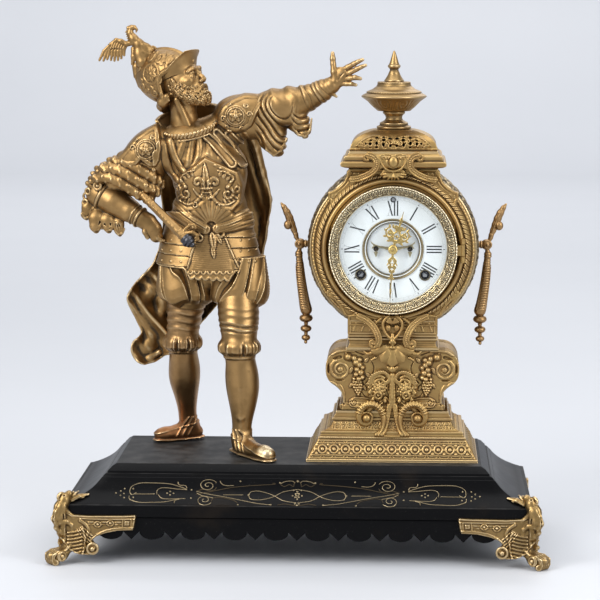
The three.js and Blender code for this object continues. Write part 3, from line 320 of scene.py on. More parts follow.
# ------------------------------------------------------------------ relief drawn in the x-z plane
class Relief:
    def __init__(s, x0, z0, x1, z1, v):
        s.x0, s.z0, s.v = x0, z0, v
        s.nx, s.nz = int(math.ceil((x1 - x0) / v)) + 1, int(math.ceil((z1 - z0) / v)) + 1
        s.X = (x0 + v * np.arange(s.nx)).astype(f4)[:, None]
        s.Z = (z0 + v * np.arange(s.nz)).astype(f4)[None, :]
        s.H = np.zeros((s.nx, s.nz), f4)

    def _win(s, x0, z0, x1, z1):
        i0, i1 = max(0, int((x0 - s.x0) / s.v)), min(s.nx, int((x1 - s.x0) / s.v) + 2)
        j0, j1 = max(0, int((z0 - s.z0) / s.v)), min(s.nz, int((z1 - s.z0) / s.v) + 2)
        return slice(i0, max(i1, i0)), slice(j0, max(j1, j0))

    def line(s, pts, w, h, kind="round", closed=False, add=False):
        """A raised (h>0) or sunk (h<0) bead along points; w is half width, number or (start, end)."""
        P = np.array(pts, float)
        if closed:
            P = np.concatenate([P, P[:1]])
        n = len(P) - 1
        ws = np.linspace(w[0], w[1], n + 1) if not np.isscalar(w) else np.full(n + 1, w)
        wm = ws.max()
        sl = s._win(P[:, 0].min() - wm, P[:, 1].min() - wm, P[:, 0].max() + wm, P[:, 1].max() + wm)
        X, Z = s.X[sl[0]], s.Z[:, sl[1]]
        if not X.size or not Z.size:
            return
        U = np.zeros((X.shape[0], Z.shape[1]), f4)
        for i in range(n):
            (ax, az), (bx, bz) = P[i], P[i + 1]
            wx = max(ws[i], ws[i + 1])
            s2 = s._win(min(ax, bx) - wx, min(az, bz) - wx, max(ax, bx) + wx, max(az, bz) + wx)
            X2, Z2 = s.X[s2[0]], s.Z[:, s2[1]]
            if not X2.size or not Z2.size:
                continue
            dx, dz = bx - ax, bz - az
            L = dx * dx + dz * dz + 1e-9
            t = np.clip(((X2 - ax) * dx + (Z2 - az) * dz) / L, 0, 1)
            d = np.hypot(X2 - ax - t * dx, Z2 - az - t * dz)
            ww = ws[i] + (ws[i + 1] - ws[i]) * t
            q = np.clip(1 - d / np.maximum(ww, 1e-3), 0, 1)
            o = (slice(s2[0].start - sl[0].start, s2[0].stop - sl[0].start), slice(s2[1].start - sl[1].start, s2[1].stop - sl[1].start))
            U[o] = np.maximum(U[o], q)
        if kind == "round":
            B = np.sqrt(np.clip(1 - (1 - U) ** 2, 0, 1))
        elif kind == "flat":
            B = np.clip(U * 3, 0, 1)
            B = B * B * (3 - 2 * B)
        else:
            B = U
        s._put(sl, h * B, h, add)

    def _put(s, sl, B, h, add):
        if add:
            s.H[sl] += B
        elif h > 0:
            s.H[sl] = np.maximum(s.H[sl], B)
        else:
            s.H[sl] = np.minimum(s.H[sl], B)

    def dot(s, x, z, r, h, add=False, ring=False):
        sl = s._win(x - r, z - r, x + r, z + r)
        X, Z = s.X[sl[0]], s.Z[:, sl[1]]
        if not X.size or not Z.size:
            return
        d = np.hypot(X - x, Z - z) / r
        B = np.sqrt(np.clip(1 - d * d, 0, 1))
        s._put(sl, (h * B).astype(f4), h, add)

    def oval(s, x, z, a, b, ang, h, add=False, crease=0.0):
        m = max(a, b)
        sl = s._win(x - m, z - m, x + m, z + m)
        X, Z = s.X[sl[0]], s.Z[:, sl[1]]
        if not X.size or not Z.size:
            return
        c, n = math.cos(ang), math.sin(ang)
        u, w = ((X - x) * c + (Z - z) * n) / a, (-(X - x) * n + (Z - z) * c) / b
        B = np.sqrt(np.clip(1 - u * u - w * w, 0, 1))
        if crease:
            B = B * (1 - crease * np.exp(-(w / 0.18) ** 2))
        s._put(sl, (h * B).astype(f4), h, add)

    def leaf(s, x0, z0, x1, z1, w, h, crease=0.45, add=False):
        """A pointed lobe from base to tip."""
        L = math.hypot(x1 - x0, z1 - z0)
        m = max(w, 1)
        sl = s._win(min(x0, x1) - m, min(z0, z1) - m, max(x0, x1) + m, max(z0, z1) + m)
        X, Z = s.X[sl[0]], s.Z[:, sl[1]]
        if not X.size or not Z.size:
            return
        ux, uz = (x1 - x0) / L, (z1 - z0) / L
        t = ((X - x0) * ux + (Z - z0) * uz) / L
        q = (-(X - x0) * uz + (Z - z0) * ux)
        ww = w * np.sin(PI * np.clip(t, 0, 1) ** 0.8) ** 0.75 + 1e-3
        B = np.where((t > 0) & (t < 1), np.sqrt(np.clip(1 - (q / ww) ** 2, 0, 1)), 0)
        B = B * (1 - crease * np.exp(-(q / (0.22 * w)) ** 2))
        s._put(sl, (h * B).astype(f4), h, add)

    def sd(s, poly):
        """Signed distance to a polygon, below zero inside."""
        P = np.array(poly, float)
        d = np.full((s.nx, s.nz), 1e9, f4)
        ins = np.zeros((s.nx, s.nz), bool)
        for i in range(len(P)):
            (ax, az), (bx, bz) = P[i], P[(i + 1) % len(P)]
            dx, dz = bx - ax, bz - az
            t = np.clip(((s.X - ax) * dx + (s.Z - az) * dz) / (dx * dx + dz * dz + 1e-9), 0, 1)
            d = np.minimum(d, np.hypot(s.X - ax - t * dx, s.Z - az - t * dz))
            if abs(dz) > 1e-9:
                c = ((s.Z >= min(az, bz)) & (s.Z < max(az, bz))) & (s.X < ax + (s.Z - az) * dx / dz)
                ins ^= c
        return np.where(ins, -d, d).astype(f4)

    def plate(s, poly, h, edge=0.8, rim=0.0, rimw=1.2):
        d = s.sd(poly)
        q = np.clip(-d / edge, 0, 1)
        s.H += h * q * q * (3 - 2 * q)
        if rim:
            b = np.clip(1 - np.abs(d + rimw) / rimw, 0, 1)
            s.H += rim * np.sqrt(np.clip(1 - (1 - b) ** 2, 0, 1))
        return d

    def at(s, x, z):
        x, z = (np.asarray(x, float) - s.x0) / s.v, (np.asarray(z, float) - s.z0) / s.v
        x, z = np.clip(x, 0, s.nx - 1.001), np.clip(z, 0, s.nz - 1.001)
        i, j = x.astype(int), z.astype(int)
        a, b = x - i, z - j
        H = s.H
        return (H[i, j] * (1 - a) * (1 - b) + H[i + 1, j] * a * (1 - b) + H[i, j + 1] * (1 - a) * b + H[i + 1, j + 1] * a * b)


def arc(cx, cz, r, a0, a1, n=16, r1=None):
    """Points of an arc, or of a spiral when r1 is given; degrees, clockwise allowed."""
    t = np.linspace(0, 1, n)
    a = np.radians(a0 + (a1 - a0) * t)
    rr = r + ((r1 if r1 is not None else r) - r) * t
    return [(cx + q * math.cos(w), cz + q * math.sin(w)) for q, w in zip(rr, a)]


def spline(pts, n=8):
    """Catmull-Rom through points, any dimension."""
    P = np.array(pts, float)
    P = np.concatenate([[2 * P[0] - P[1]], P, [2 * P[-1] - P[-2]]])
    out = []
    for i in range(1, len(P) - 2):
        for t in np.arange(n) / n:
            a, b, c, d = P[i - 1], P[i], P[i + 1], P[i + 2]
            out.append(0.5 * (2 * b + (c - a) * t + (2 * a - 5 * b + 4 * c - d) * t * t + (3 * b - a - 3 * c + d) * t ** 3))
    out.append(P[-2])
    return np.array(out)


# ------------------------------------------------------------------ clay: a signed distance grid
def smin(a, b, k):
    if k <= 0:
        return np.minimum(a, b)
    h = np.maximum(k - np.abs(a - b), 0)
    return np.minimum(a, b) - h * h * (0.25 / k)


def smax(a, b, k):
    return -smin(-a, -b, k)


class Clay:
    def __init__(s, lo, hi, v, far=6.0):
        s.v = v * FINE
        s.lo = np.array(lo, float)
        s.n = np.ceil((np.array(hi, float) - s.lo) / s.v).astype(int) + 1
        s.far = far
        s.S = np.full(s.n, far, f4)

    def win(s, lo, hi):
        i0 = np.clip(np.floor((np.array(lo) - s.lo) / s.v).astype(int), 0, s.n - 1)
        i1 = np.clip(np.ceil((np.array(hi) - s.lo) / s.v).astype(int) + 1, 1, s.n)
        sl = tuple(slice(a, b) for a, b in zip(i0, i1))
        ax = [(s.lo[i] + s.v * np.arange(i0[i], i1[i])).astype(f4) for i in range(3)]
        return sl, ax[0][:, None, None], ax[1][None, :, None], ax[2][None, None, :]

    def put(s, f, lo, hi, k=1.5, cut=False):
        sl, X, Y, Z = s.win(lo, hi)
        d = f(X, Y, Z)
        s.S[sl] = smax(s.S[sl], -d, k) if cut else smin(s.S[sl], d, k)

    def limb(s, pts, k=1.5, cut=False, flat=None, soft=0.0):
        pts = [tuple(p) for p in pts]
        for p, q in zip(pts, pts[1:]):
            a, b = np.array(p[:3], float), np.array(q[:3], float)
            ra, rb = p[3], q[3]
            m = max(ra, rb) + k + 1.0
            lo, hi = np.minimum(a, b) - m, np.maximum(a, b) + m
            ab = b - a
            L2 = max(float(ab @ ab), 1e-6)

            def f(X, Y, Z, a=a, ab=ab, L2=L2, ra=ra, rb=rb):
                px, py, pz = X - a[0], Y - a[1], Z - a[2]
                t = np.clip((px * ab[0] + py * ab[1] + pz * ab[2]) / L2, 0, 1)
                wx, wy, wz = px - t * ab[0], py - t * ab[1], pz - t * ab[2]
                r = ra + (rb - ra) * t
                if flat is not None:
                    n, sc = flat
                    g = (wx * n[0] + wy * n[1] + wz * n[2]) * (1 / sc - 1)
                    wx, wy, wz = wx + g * n[0], wy + g * n[1], wz + g * n[2]
                    return (np.sqrt(wx * wx + wy * wy + wz * wz) - r) * (0.5 + 0.5 * sc)
                return np.sqrt(wx * wx + wy * wy + wz * wz) - r
            s.put(f, lo, hi, k, cut)

    def ball(s, c, r, R=None, k=1.5, cut=False, fn=None):
        """Ellipsoid; R columns are its axes. fn(q) may change the distance by local unit coordinates."""
        r = np.array([r, r, r] if np.isscalar(r) else r, float)
        R = np.eye(3) if R is None else np.array(R, float)
        ext = np.sqrt(((R * r) ** 2).sum(1)) + k + 1.5
        c = np.array(c, float)

        def f(X, Y, Z):
            px, py, pz = X - c[0], Y - c[1], Z - c[2]
            q = [(px * R[0, i] + py * R[1, i] + pz * R[2, i]) / r[i] for i in range(3)]
            k0 = np.sqrt(q[0] ** 2 + q[1] ** 2 + q[2] ** 2)
            k1 = np.sqrt((q[0] / r[0]) ** 2 + (q[1] / r[1]) ** 2 + (q[2] / r[2]) ** 2)
            d = k0 * (k0 - 1) / np.maximum(k1, 1e-6)
            return d if fn is None else d - fn(q)
        s.put(f, c - ext, c + ext, k, cut)

    def torus(s, c, axis, R, r, k=0.5, cut=False):
        n = unit(axis)
        c = np.array(c, float)
        m = R + r + k + 1

        def f(X, Y, Z):
            px, py, pz = X - c[0], Y - c[1], Z - c[2]
            h = px * n[0] + py * n[1] + pz * n[2]
            q = np.sqrt(np.maximum(px * px + py * py + pz * pz - h * h, 0)) - R
            return np.sqrt(q * q + h * h) - r
        s.put(f, c - m, c + m, k, cut)

    def box(s, lo, hi, r=0.5, k=0.5, cut=False):
        lo, hi = np.array(lo, float), np.array(hi, float)
        c, h = (lo + hi) / 2, (hi - lo) / 2 - r

        def f(X, Y, Z):
            qx, qy, qz = np.abs(X - c[0]) - h[0], np.abs(Y - c[1]) - h[1], np.abs(Z - c[2]) - h[2]
            o = np.sqrt(np.maximum(qx, 0) ** 2 + np.maximum(qy, 0) ** 2 + np.maximum(qz, 0) ** 2)
            return o + np.minimum(np.maximum(qx, np.maximum(qy, qz)), 0) - r
        s.put(f, lo - k - 1.5, hi + k + 1.5, k, cut)

    def lift(s, f, lo, hi):
        """Raises the surface by f(X, Y, Z) mm."""
        sl, X, Y, Z = s.win(lo, hi)
        s.S[sl] -= f(X, Y, Z).astype(f4)

    def mesh(s, name, mat, faces_cut=0.0, **k):
        S = s.S
        for ax in range(3):
            for e in (0, -1):
                i = [slice(None)] * 3
                i[ax] = e
                S[tuple(i)] = np.maximum(S[tuple(i)], 0.2 * s.v)
        g = vdb.FloatGrid(float(s.far))
        g.copyFromArray(np.ascontiguousarray(S), tolerance=0.0)
        if faces_cut:
            pts, tri, quad = g.convertToPolygons(0.0, faces_cut)
            faces = [np.asarray(tri, np.int64), np.asarray(quad, np.int64)]
        else:
            pts, quad = g.convertToQuads(0.0)
            faces = [np.asarray(quad, np.int64)]
        faces = [F for F in faces if len(F)]
        V = np.asarray(pts, float) * s.v + s.lo
        V, faces = keep_big(V, faces, k.pop("share", 0.02))
        s.S = None
        return obj(name, V, faces, mat, **k)


# ------------------------------------------------------------------ materials
def new_mat(name):
    m = bpy.data.materials.new(name)
    m.use_nodes = True
    nt = m.node_tree
    nt.nodes.clear()
    out = nt.nodes.new("ShaderNodeOutputMaterial")
    p = nt.nodes.new("ShaderNodeBsdfPrincipled")
    nt.links.new(p.outputs[0], out.inputs[0])
    return m, nt, p


def coord(nt):
    n = nt.nodes.new("ShaderNodeTexCoord")
    return n.outputs["Object"]


def noise(nt, scale, detail=3.0, rough=0.55, co=None, distort=0.0):
    n = nt.nodes.new("ShaderNodeTexNoise")
    n.inputs["Scale"].default_value = scale
    n.inputs["Detail"].default_value = detail
    n.inputs["Roughness"].default_value = rough
    n.inputs["Distortion"].default_value = distort
    nt.links.new(co if co is not None else coord(nt), n.inputs["Vector"])
    return n.outputs["Fac"]


def val(nt, a):
    return a


def mrange(nt, v, a, b, c=0.0, d=1.0, smooth=True):
    n = nt.nodes.new("ShaderNodeMapRange")
    n.interpolation_type = "SMOOTHSTEP" if smooth else "LINEAR"
    nt.links.new(v, n.inputs["Value"])
    for k, x in zip(("From Min", "From Max", "To Min", "To Max"), (a, b, c, d)):
        n.inputs[k].default_value = x
    return n.outputs["Result"]


def mth(nt, op, a, b=None, clamp=False):
    n = nt.nodes.new("ShaderNodeMath")
    n.operation = op
    n.use_clamp = clamp
    for i, x in enumerate((a, b)):
        if x is None:
            continue
        if isinstance(x, (int, float)):
            n.inputs[i].default_value = x
        else:
            nt.links.new(x, n.inputs[i])
    return n.outputs[0]


def mixc(nt, f, a, b, mode="MIX"):
    n = nt.nodes.new("ShaderNodeMix")
    n.data_type = "RGBA"
    n.blend_type = mode
    n.clamp_factor = True
    for k, x in ((0, f), (6, a), (7, b)):
        if isinstance(x, (int, float)):
            n.inputs[k].default_value = x
        elif isinstance(x, (tuple, list)):
            n.inputs[k].default_value = (*x, 1.0)
        else:
            nt.links.new(x, n.inputs[k])
    return n.outputs[2]


def attr(nt, name="cav"):
    n = nt.nodes.new("ShaderNodeAttribute")
    n.attribute_name = name
    return n.outputs["Fac"]


def bump(nt, p, h, strength, dist):
    n = nt.nodes.new("ShaderNodeBump")
    n.inputs["Strength"].default_value = strength
    n.inputs["Distance"].default_value = dist
    nt.links.new(h, n.inputs["Height"])
    nt.links.new(n.outputs[0], p.inputs["Normal"])


def cast_metal(name, base, base2, grime_and_shade_dark, shine, rough=0.36, hollow_grime_shade_at=(0.03, 0.30), shine_at=(-0.02, -0.25), hollow_grime_shade_amt=0.9,
               shine_amt=0.75, grain=0.25, metallic=1.0, patch=0.35, low=None, spot=None):
    """Old gilt or bronze: darker in the hollows (grime there, and painted shade), lighter on the raised edges (rubbed
    gilt, and a painted highlight), cloudy in between.
    """
    m, nt, p = new_mat(name)
    co = coord(nt)
    c = attr(nt)
    cloud = noise(nt, 38, 4, 0.6, co)
    fine = noise(nt, 520, 3, 0.6, co)
    mid = noise(nt, 150, 4, 0.6, co)
    # painted shade together with grime: hollows (high cav) are pulled towards the dark colour
    hollow_grime_shade_mask = mrange(nt, mth(nt, "ADD", c, mth(nt, "MULTIPLY", mth(nt, "SUBTRACT", mid, 0.5), 0.10)), *hollow_grime_shade_at)
    # painted highlight together with rubbed wear: raised edges (low cav) are pulled towards the light colour
    sh = mrange(nt, mth(nt, "ADD", c, mth(nt, "MULTIPLY", mth(nt, "SUBTRACT", mid, 0.5), 0.08)), *shine_at)
    col = mixc(nt, mrange(nt, cloud, 0.35, 0.68), base, base2)
    if low:                                   # another tone towards the feet
        z = nt.nodes.new("ShaderNodeSeparateXYZ")
        nt.links.new(co, z.inputs[0])
        col = mixc(nt, mrange(nt, z.outputs[2], low[0], low[1], low[3], 0.0), col, low[2])
    if spot:                                  # a worn, pale place
        vd = nt.nodes.new("ShaderNodeVectorMath")
        vd.operation = "DISTANCE"
        nt.links.new(co, vd.inputs[0])
        vd.inputs[1].default_value = spot[0]
        col = mixc(nt, mrange(nt, vd.outputs["Value"], spot[1] * 0.4, spot[1], 0.85, 0.0), col, spot[2])
    spots = mrange(nt, mid, 0.62, 0.78, 0.0, patch)
    # random dark patches of patina; then the hollows get grime and painted shade, and the raised edges get rubbed wear
    # and a painted highlight
    col = mixc(nt, spots, col, grime_and_shade_dark)
    col = mixc(nt, mth(nt, "MULTIPLY", hollow_grime_shade_mask, hollow_grime_shade_amt), col, grime_and_shade_dark)
    col = mixc(nt, mth(nt, "MULTIPLY", sh, shine_amt), col, shine)
    nt.links.new(col, p.inputs["Base Color"])
    r = mth(nt, "ADD", rough - 0.05, mth(nt, "MULTIPLY", mid, 0.12))
    r = mth(nt, "ADD", r, mth(nt, "MULTIPLY", hollow_grime_shade_mask, 0.28))
    r = mth(nt, "SUBTRACT", r, mth(nt, "MULTIPLY", sh, 0.08), True)
    nt.links.new(r, p.inputs["Roughness"])
    mt = mth(nt, "SUBTRACT", metallic, mth(nt, "MULTIPLY", hollow_grime_shade_mask, 0.35), True)
    nt.links.new(mt, p.inputs["Metallic"])
    hgt = mth(nt, "ADD", mth(nt, "MULTIPLY", fine, 0.4), mid)
    bump(nt, p, hgt, grain, 0.00035)
    return m


M_FIG = cast_metal("Figure_bronze", (0.35, 0.215, 0.088), (0.25, 0.15, 0.058), (0.022, 0.014, 0.008), (0.66, 0.49, 0.27),
                   rough=0.43, hollow_grime_shade_at=(0.01, 0.22), shine_at=(-0.06, -0.30), shine_amt=0.7, grain=0.3)
M_LEG = cast_metal("Figure_bronze_leg", (0.32, 0.195, 0.080), (0.23, 0.138, 0.054), (0.024, 0.015, 0.008), (0.62, 0.46, 0.26),
                   rough=0.38, hollow_grime_shade_at=(0.02, 0.24), shine_at=(-0.06, -0.30), shine_amt=0.7, grain=0.25, spot=((-0.033, -0.064, 0.1085), 0.0105, (0.66, 0.55, 0.36)))
M_LEG2 = cast_metal("Figure_bronze_copper", (0.34, 0.205, 0.090), (0.26, 0.150, 0.062), (0.024, 0.015, 0.008), (0.62, 0.45, 0.26),
                    rough=0.38, hollow_grime_shade_at=(0.02, 0.24), shine_at=(-0.06, -0.30), shine_amt=0.7, grain=0.25, low=(0.10, 0.17, (0.40, 0.175, 0.072), 0.8))
M_CASE = cast_metal("Gilt_casting", (0.395, 0.262, 0.100), (0.335, 0.205, 0.078), (0.040, 0.022, 0.009), (0.70, 0.52, 0.28),
                    rough=0.44, hollow_grime_shade_at=(0.01, 0.22), shine_at=(-0.06, -0.32), shine_amt=0.6, patch=0.3, grain=0.3)
M_FOOT = cast_metal("Foot_gilt", (0.30, 0.195, 0.078), (0.22, 0.140, 0.054), (0.042, 0.024, 0.010), (0.78, 0.60, 0.35),
                    rough=0.38, hollow_grime_shade_at=(0.01, 0.24), shine_at=(-0.05, -0.28), patch=0.25, grain=0.25)
M_DARK = cast_metal("Drum_side", (0.21, 0.150, 0.070), (0.155, 0.112, 0.052), (0.020, 0.013, 0.007), (0.50, 0.38, 0.21),
                    rough=0.44, hollow_grime_shade_at=(0.0, 0.20), shine_at=(-0.05, -0.25), patch=0.35, grain=0.3)
M_BRASS = cast_metal("Brass", (0.62, 0.47, 0.23), (0.52, 0.385, 0.18), (0.10, 0.065, 0.025), (0.85, 0.68, 0.40),
                     rough=0.27, patch=0.12, grain=0.08)
M_HAND = cast_metal("Hand_gilt", (0.66, 0.47, 0.17), (0.58, 0.40, 0.14), (0.13, 0.08, 0.03), (0.92, 0.75, 0.42),
                    rough=0.25, patch=0.05, grain=0.06, hollow_grime_shade_amt=0.5)


def steel_mat(name, a, b, rough, lines=0.0):
    m, nt, p = new_mat(name)
    co = coord(nt)
    n = noise(nt, 260, 4, 0.6, co)
    w = noise(nt, 40, 3, 0.5, co)
    nt.links.new(mixc(nt, n, a, b), p.inputs["Base Color"])
    p.inputs["Metallic"].default_value = 1.0
    nt.links.new(mth(nt, "ADD", rough - 0.08, mth(nt, "MULTIPLY", w, 0.2)), p.inputs["Roughness"])
    bump(nt, p, n, 0.12, 0.0002)
    return m


M_STEEL = steel_mat("Steel", (0.52, 0.525, 0.54), (0.36, 0.365, 0.38), 0.3)
M_IRON = steel_mat("Gong_blued", (0.05, 0.055, 0.075), (0.10, 0.095, 0.09), 0.35)


def enamel_mat():
    m, nt, p = new_mat("Enamel_black")
    co = coord(nt)
    g = nt.nodes.new("ShaderNodeNewGeometry")
    s = nt.nodes.new("ShaderNodeSeparateXYZ")
    nt.links.new(g.outputs["Normal"], s.inputs[0])
    up = mrange(nt, s.outputs[2], 0.86, 0.99)
    dust = noise(nt, 55, 5, 0.65, co)
    streak = noise(nt, 16, 4, 0.6, co)
    spec = noise(nt, 900, 2, 0.5, co)
    d = mth(nt, "MULTIPLY", up, mrange(nt, dust, 0.30, 0.75, 0.15, 0.85))
    col = mixc(nt, d, (0.0030, 0.0030, 0.0034), (0.060, 0.058, 0.056))
    col = mixc(nt, mrange(nt, spec, 0.68, 0.76, 0.0, 0.22), col, (0.12, 0.115, 0.11))
    col = mixc(nt, mrange(nt, streak, 0.55, 0.75, 0.0, 0.35), col, (0.020, 0.014, 0.009))
    nt.links.new(col, p.inputs["Base Color"])
    r = mth(nt, "ADD", 0.24, mth(nt, "MULTIPLY", up, 0.20))
    r = mth(nt, "ADD", r, mth(nt, "MULTIPLY", dust, 0.12))
    nt.links.new(r, p.inputs["Roughness"])
    p.inputs["Specular IOR Level"].default_value = 0.07
    bump(nt, p, mth(nt, "ADD", dust, mth(nt, "MULTIPLY", spec, 0.3)), 0.12, 0.0004)
    return m


M_ENAMEL = enamel_mat()


def porcelain_mat():
    m, nt, p = new_mat("Porcelain")
    co = coord(nt)
    n = noise(nt, 70, 4, 0.6, co)
    f = noise(nt, 900, 3, 0.6, co)
    col = mixc(nt, mrange(nt, n, 0.35, 0.7), (0.80, 0.83, 0.855), (0.745, 0.775, 0.795))
    col = mixc(nt, mrange(nt, f, 0.70, 0.78, 0, 0.3), col, (0.42, 0.40, 0.36))
    nt.links.new(col, p.inputs["Base Color"])
    nt.links.new(mth(nt, "ADD", 0.14, mth(nt, "MULTIPLY", n, 0.14)), p.inputs["Roughness"])
    bump(nt, p, n, 0.05, 0.0003)
    return m


M_PORC = porcelain_mat()


def ink_mat(name, a, b):
    m, nt, p = new_mat(name)
    n = noise(nt, 400, 3)
    nt.links.new(mixc(nt, n, a, b), p.inputs["Base Color"])
    nt.links.new(mth(nt, "ADD", 0.22, mth(nt, "MULTIPLY", n, 0.2)), p.inputs["Roughness"])
    return m


M_INK = ink_mat("Dial_black", (0.010, 0.010, 0.012), (0.028, 0.028, 0.032))
# painted shade: a flat near-black material for the dark insides of holes and hollows
M_PAINTED_SHADE = ink_mat("Painted_shade_dark", (0.006, 0.005, 0.004), (0.014, 0.011, 0.008))
M_LINE = cast_metal("Incised_gilt", (0.115, 0.085, 0.048), (0.06, 0.046, 0.026), (0.05, 0.035, 0.02), (0.5, 0.4, 0.24), rough=0.4, patch=0.5,
                    grain=0.1)


def glass_mat():
    m, nt, p = new_mat("Dial_glass")
    n = noise(nt, 60, 3)
    f = noise(nt, 700, 2)
    nt.nodes.remove(p)
    out = [x for x in nt.nodes if x.type == "OUTPUT_MATERIAL"][0]
    t = nt.nodes.new("ShaderNodeBsdfTransparent")
    nt.links.new(mixc(nt, n, (0.965, 0.975, 0.97), (0.985, 0.99, 0.985)), t.inputs[0])
    g = nt.nodes.new("ShaderNodeBsdfGlossy")
    g.inputs["Color"].default_value = (0.9, 0.93, 0.95, 1)
    nt.links.new(mth(nt, "ADD", 0.02, mth(nt, "MULTIPLY", f, 0.03)), g.inputs["Roughness"])
    mx = nt.nodes.new("ShaderNodeMixShader")
    mx.inputs[0].default_value = 0.02
    nt.links.new(t.outputs[0], mx.inputs[1])
    nt.links.new(g.outputs[0], mx.inputs[2])
    nt.links.new(mx.outputs[0], out.inputs[0])
    return m


M_GLASS = glass_mat()


# ================================================================== the figure
def sm(x, a, b):
    t = np.clip((x - a) / (b - a), 0, 1)
    return t * t * (3 - 2 * t)


def frame3(f, up=(0, 0, 1)):
    f = unit(f)
    r = unit(np.cross(f, up))
    return np.stack([f, r, np.cross(r, f)], 1)


class Local:
    """Local axes: columns of M, scale s, origin o."""
    def __init__(s, o, M, k=1.0):
        s.o, s.M, s.k = np.array(o, float), M, k

    def p(s, *a):
        return tuple(s.o + s.M @ (s.k * np.array(a, float)))

    def l(s, pts):
        return [s.p(a, b, c) + (r * s.k,) for a, b, c, r in pts]

    def of(s, X, Y, Z):
        x, y, z = X - s.o[0], Y - s.o[1], Z - s.o[2]
        return [(x * s.M[0, i] + y * s.M[1, i] + z * s.M[2, i]) / s.k for i in range(3)]


rng = np.random.default_rng(7)

# ---------------------------------------------------------------- head and helmet
HD = Local((-121, -5, 471.5), frame3((0.84, -0.40, 0.37)), 1.19)


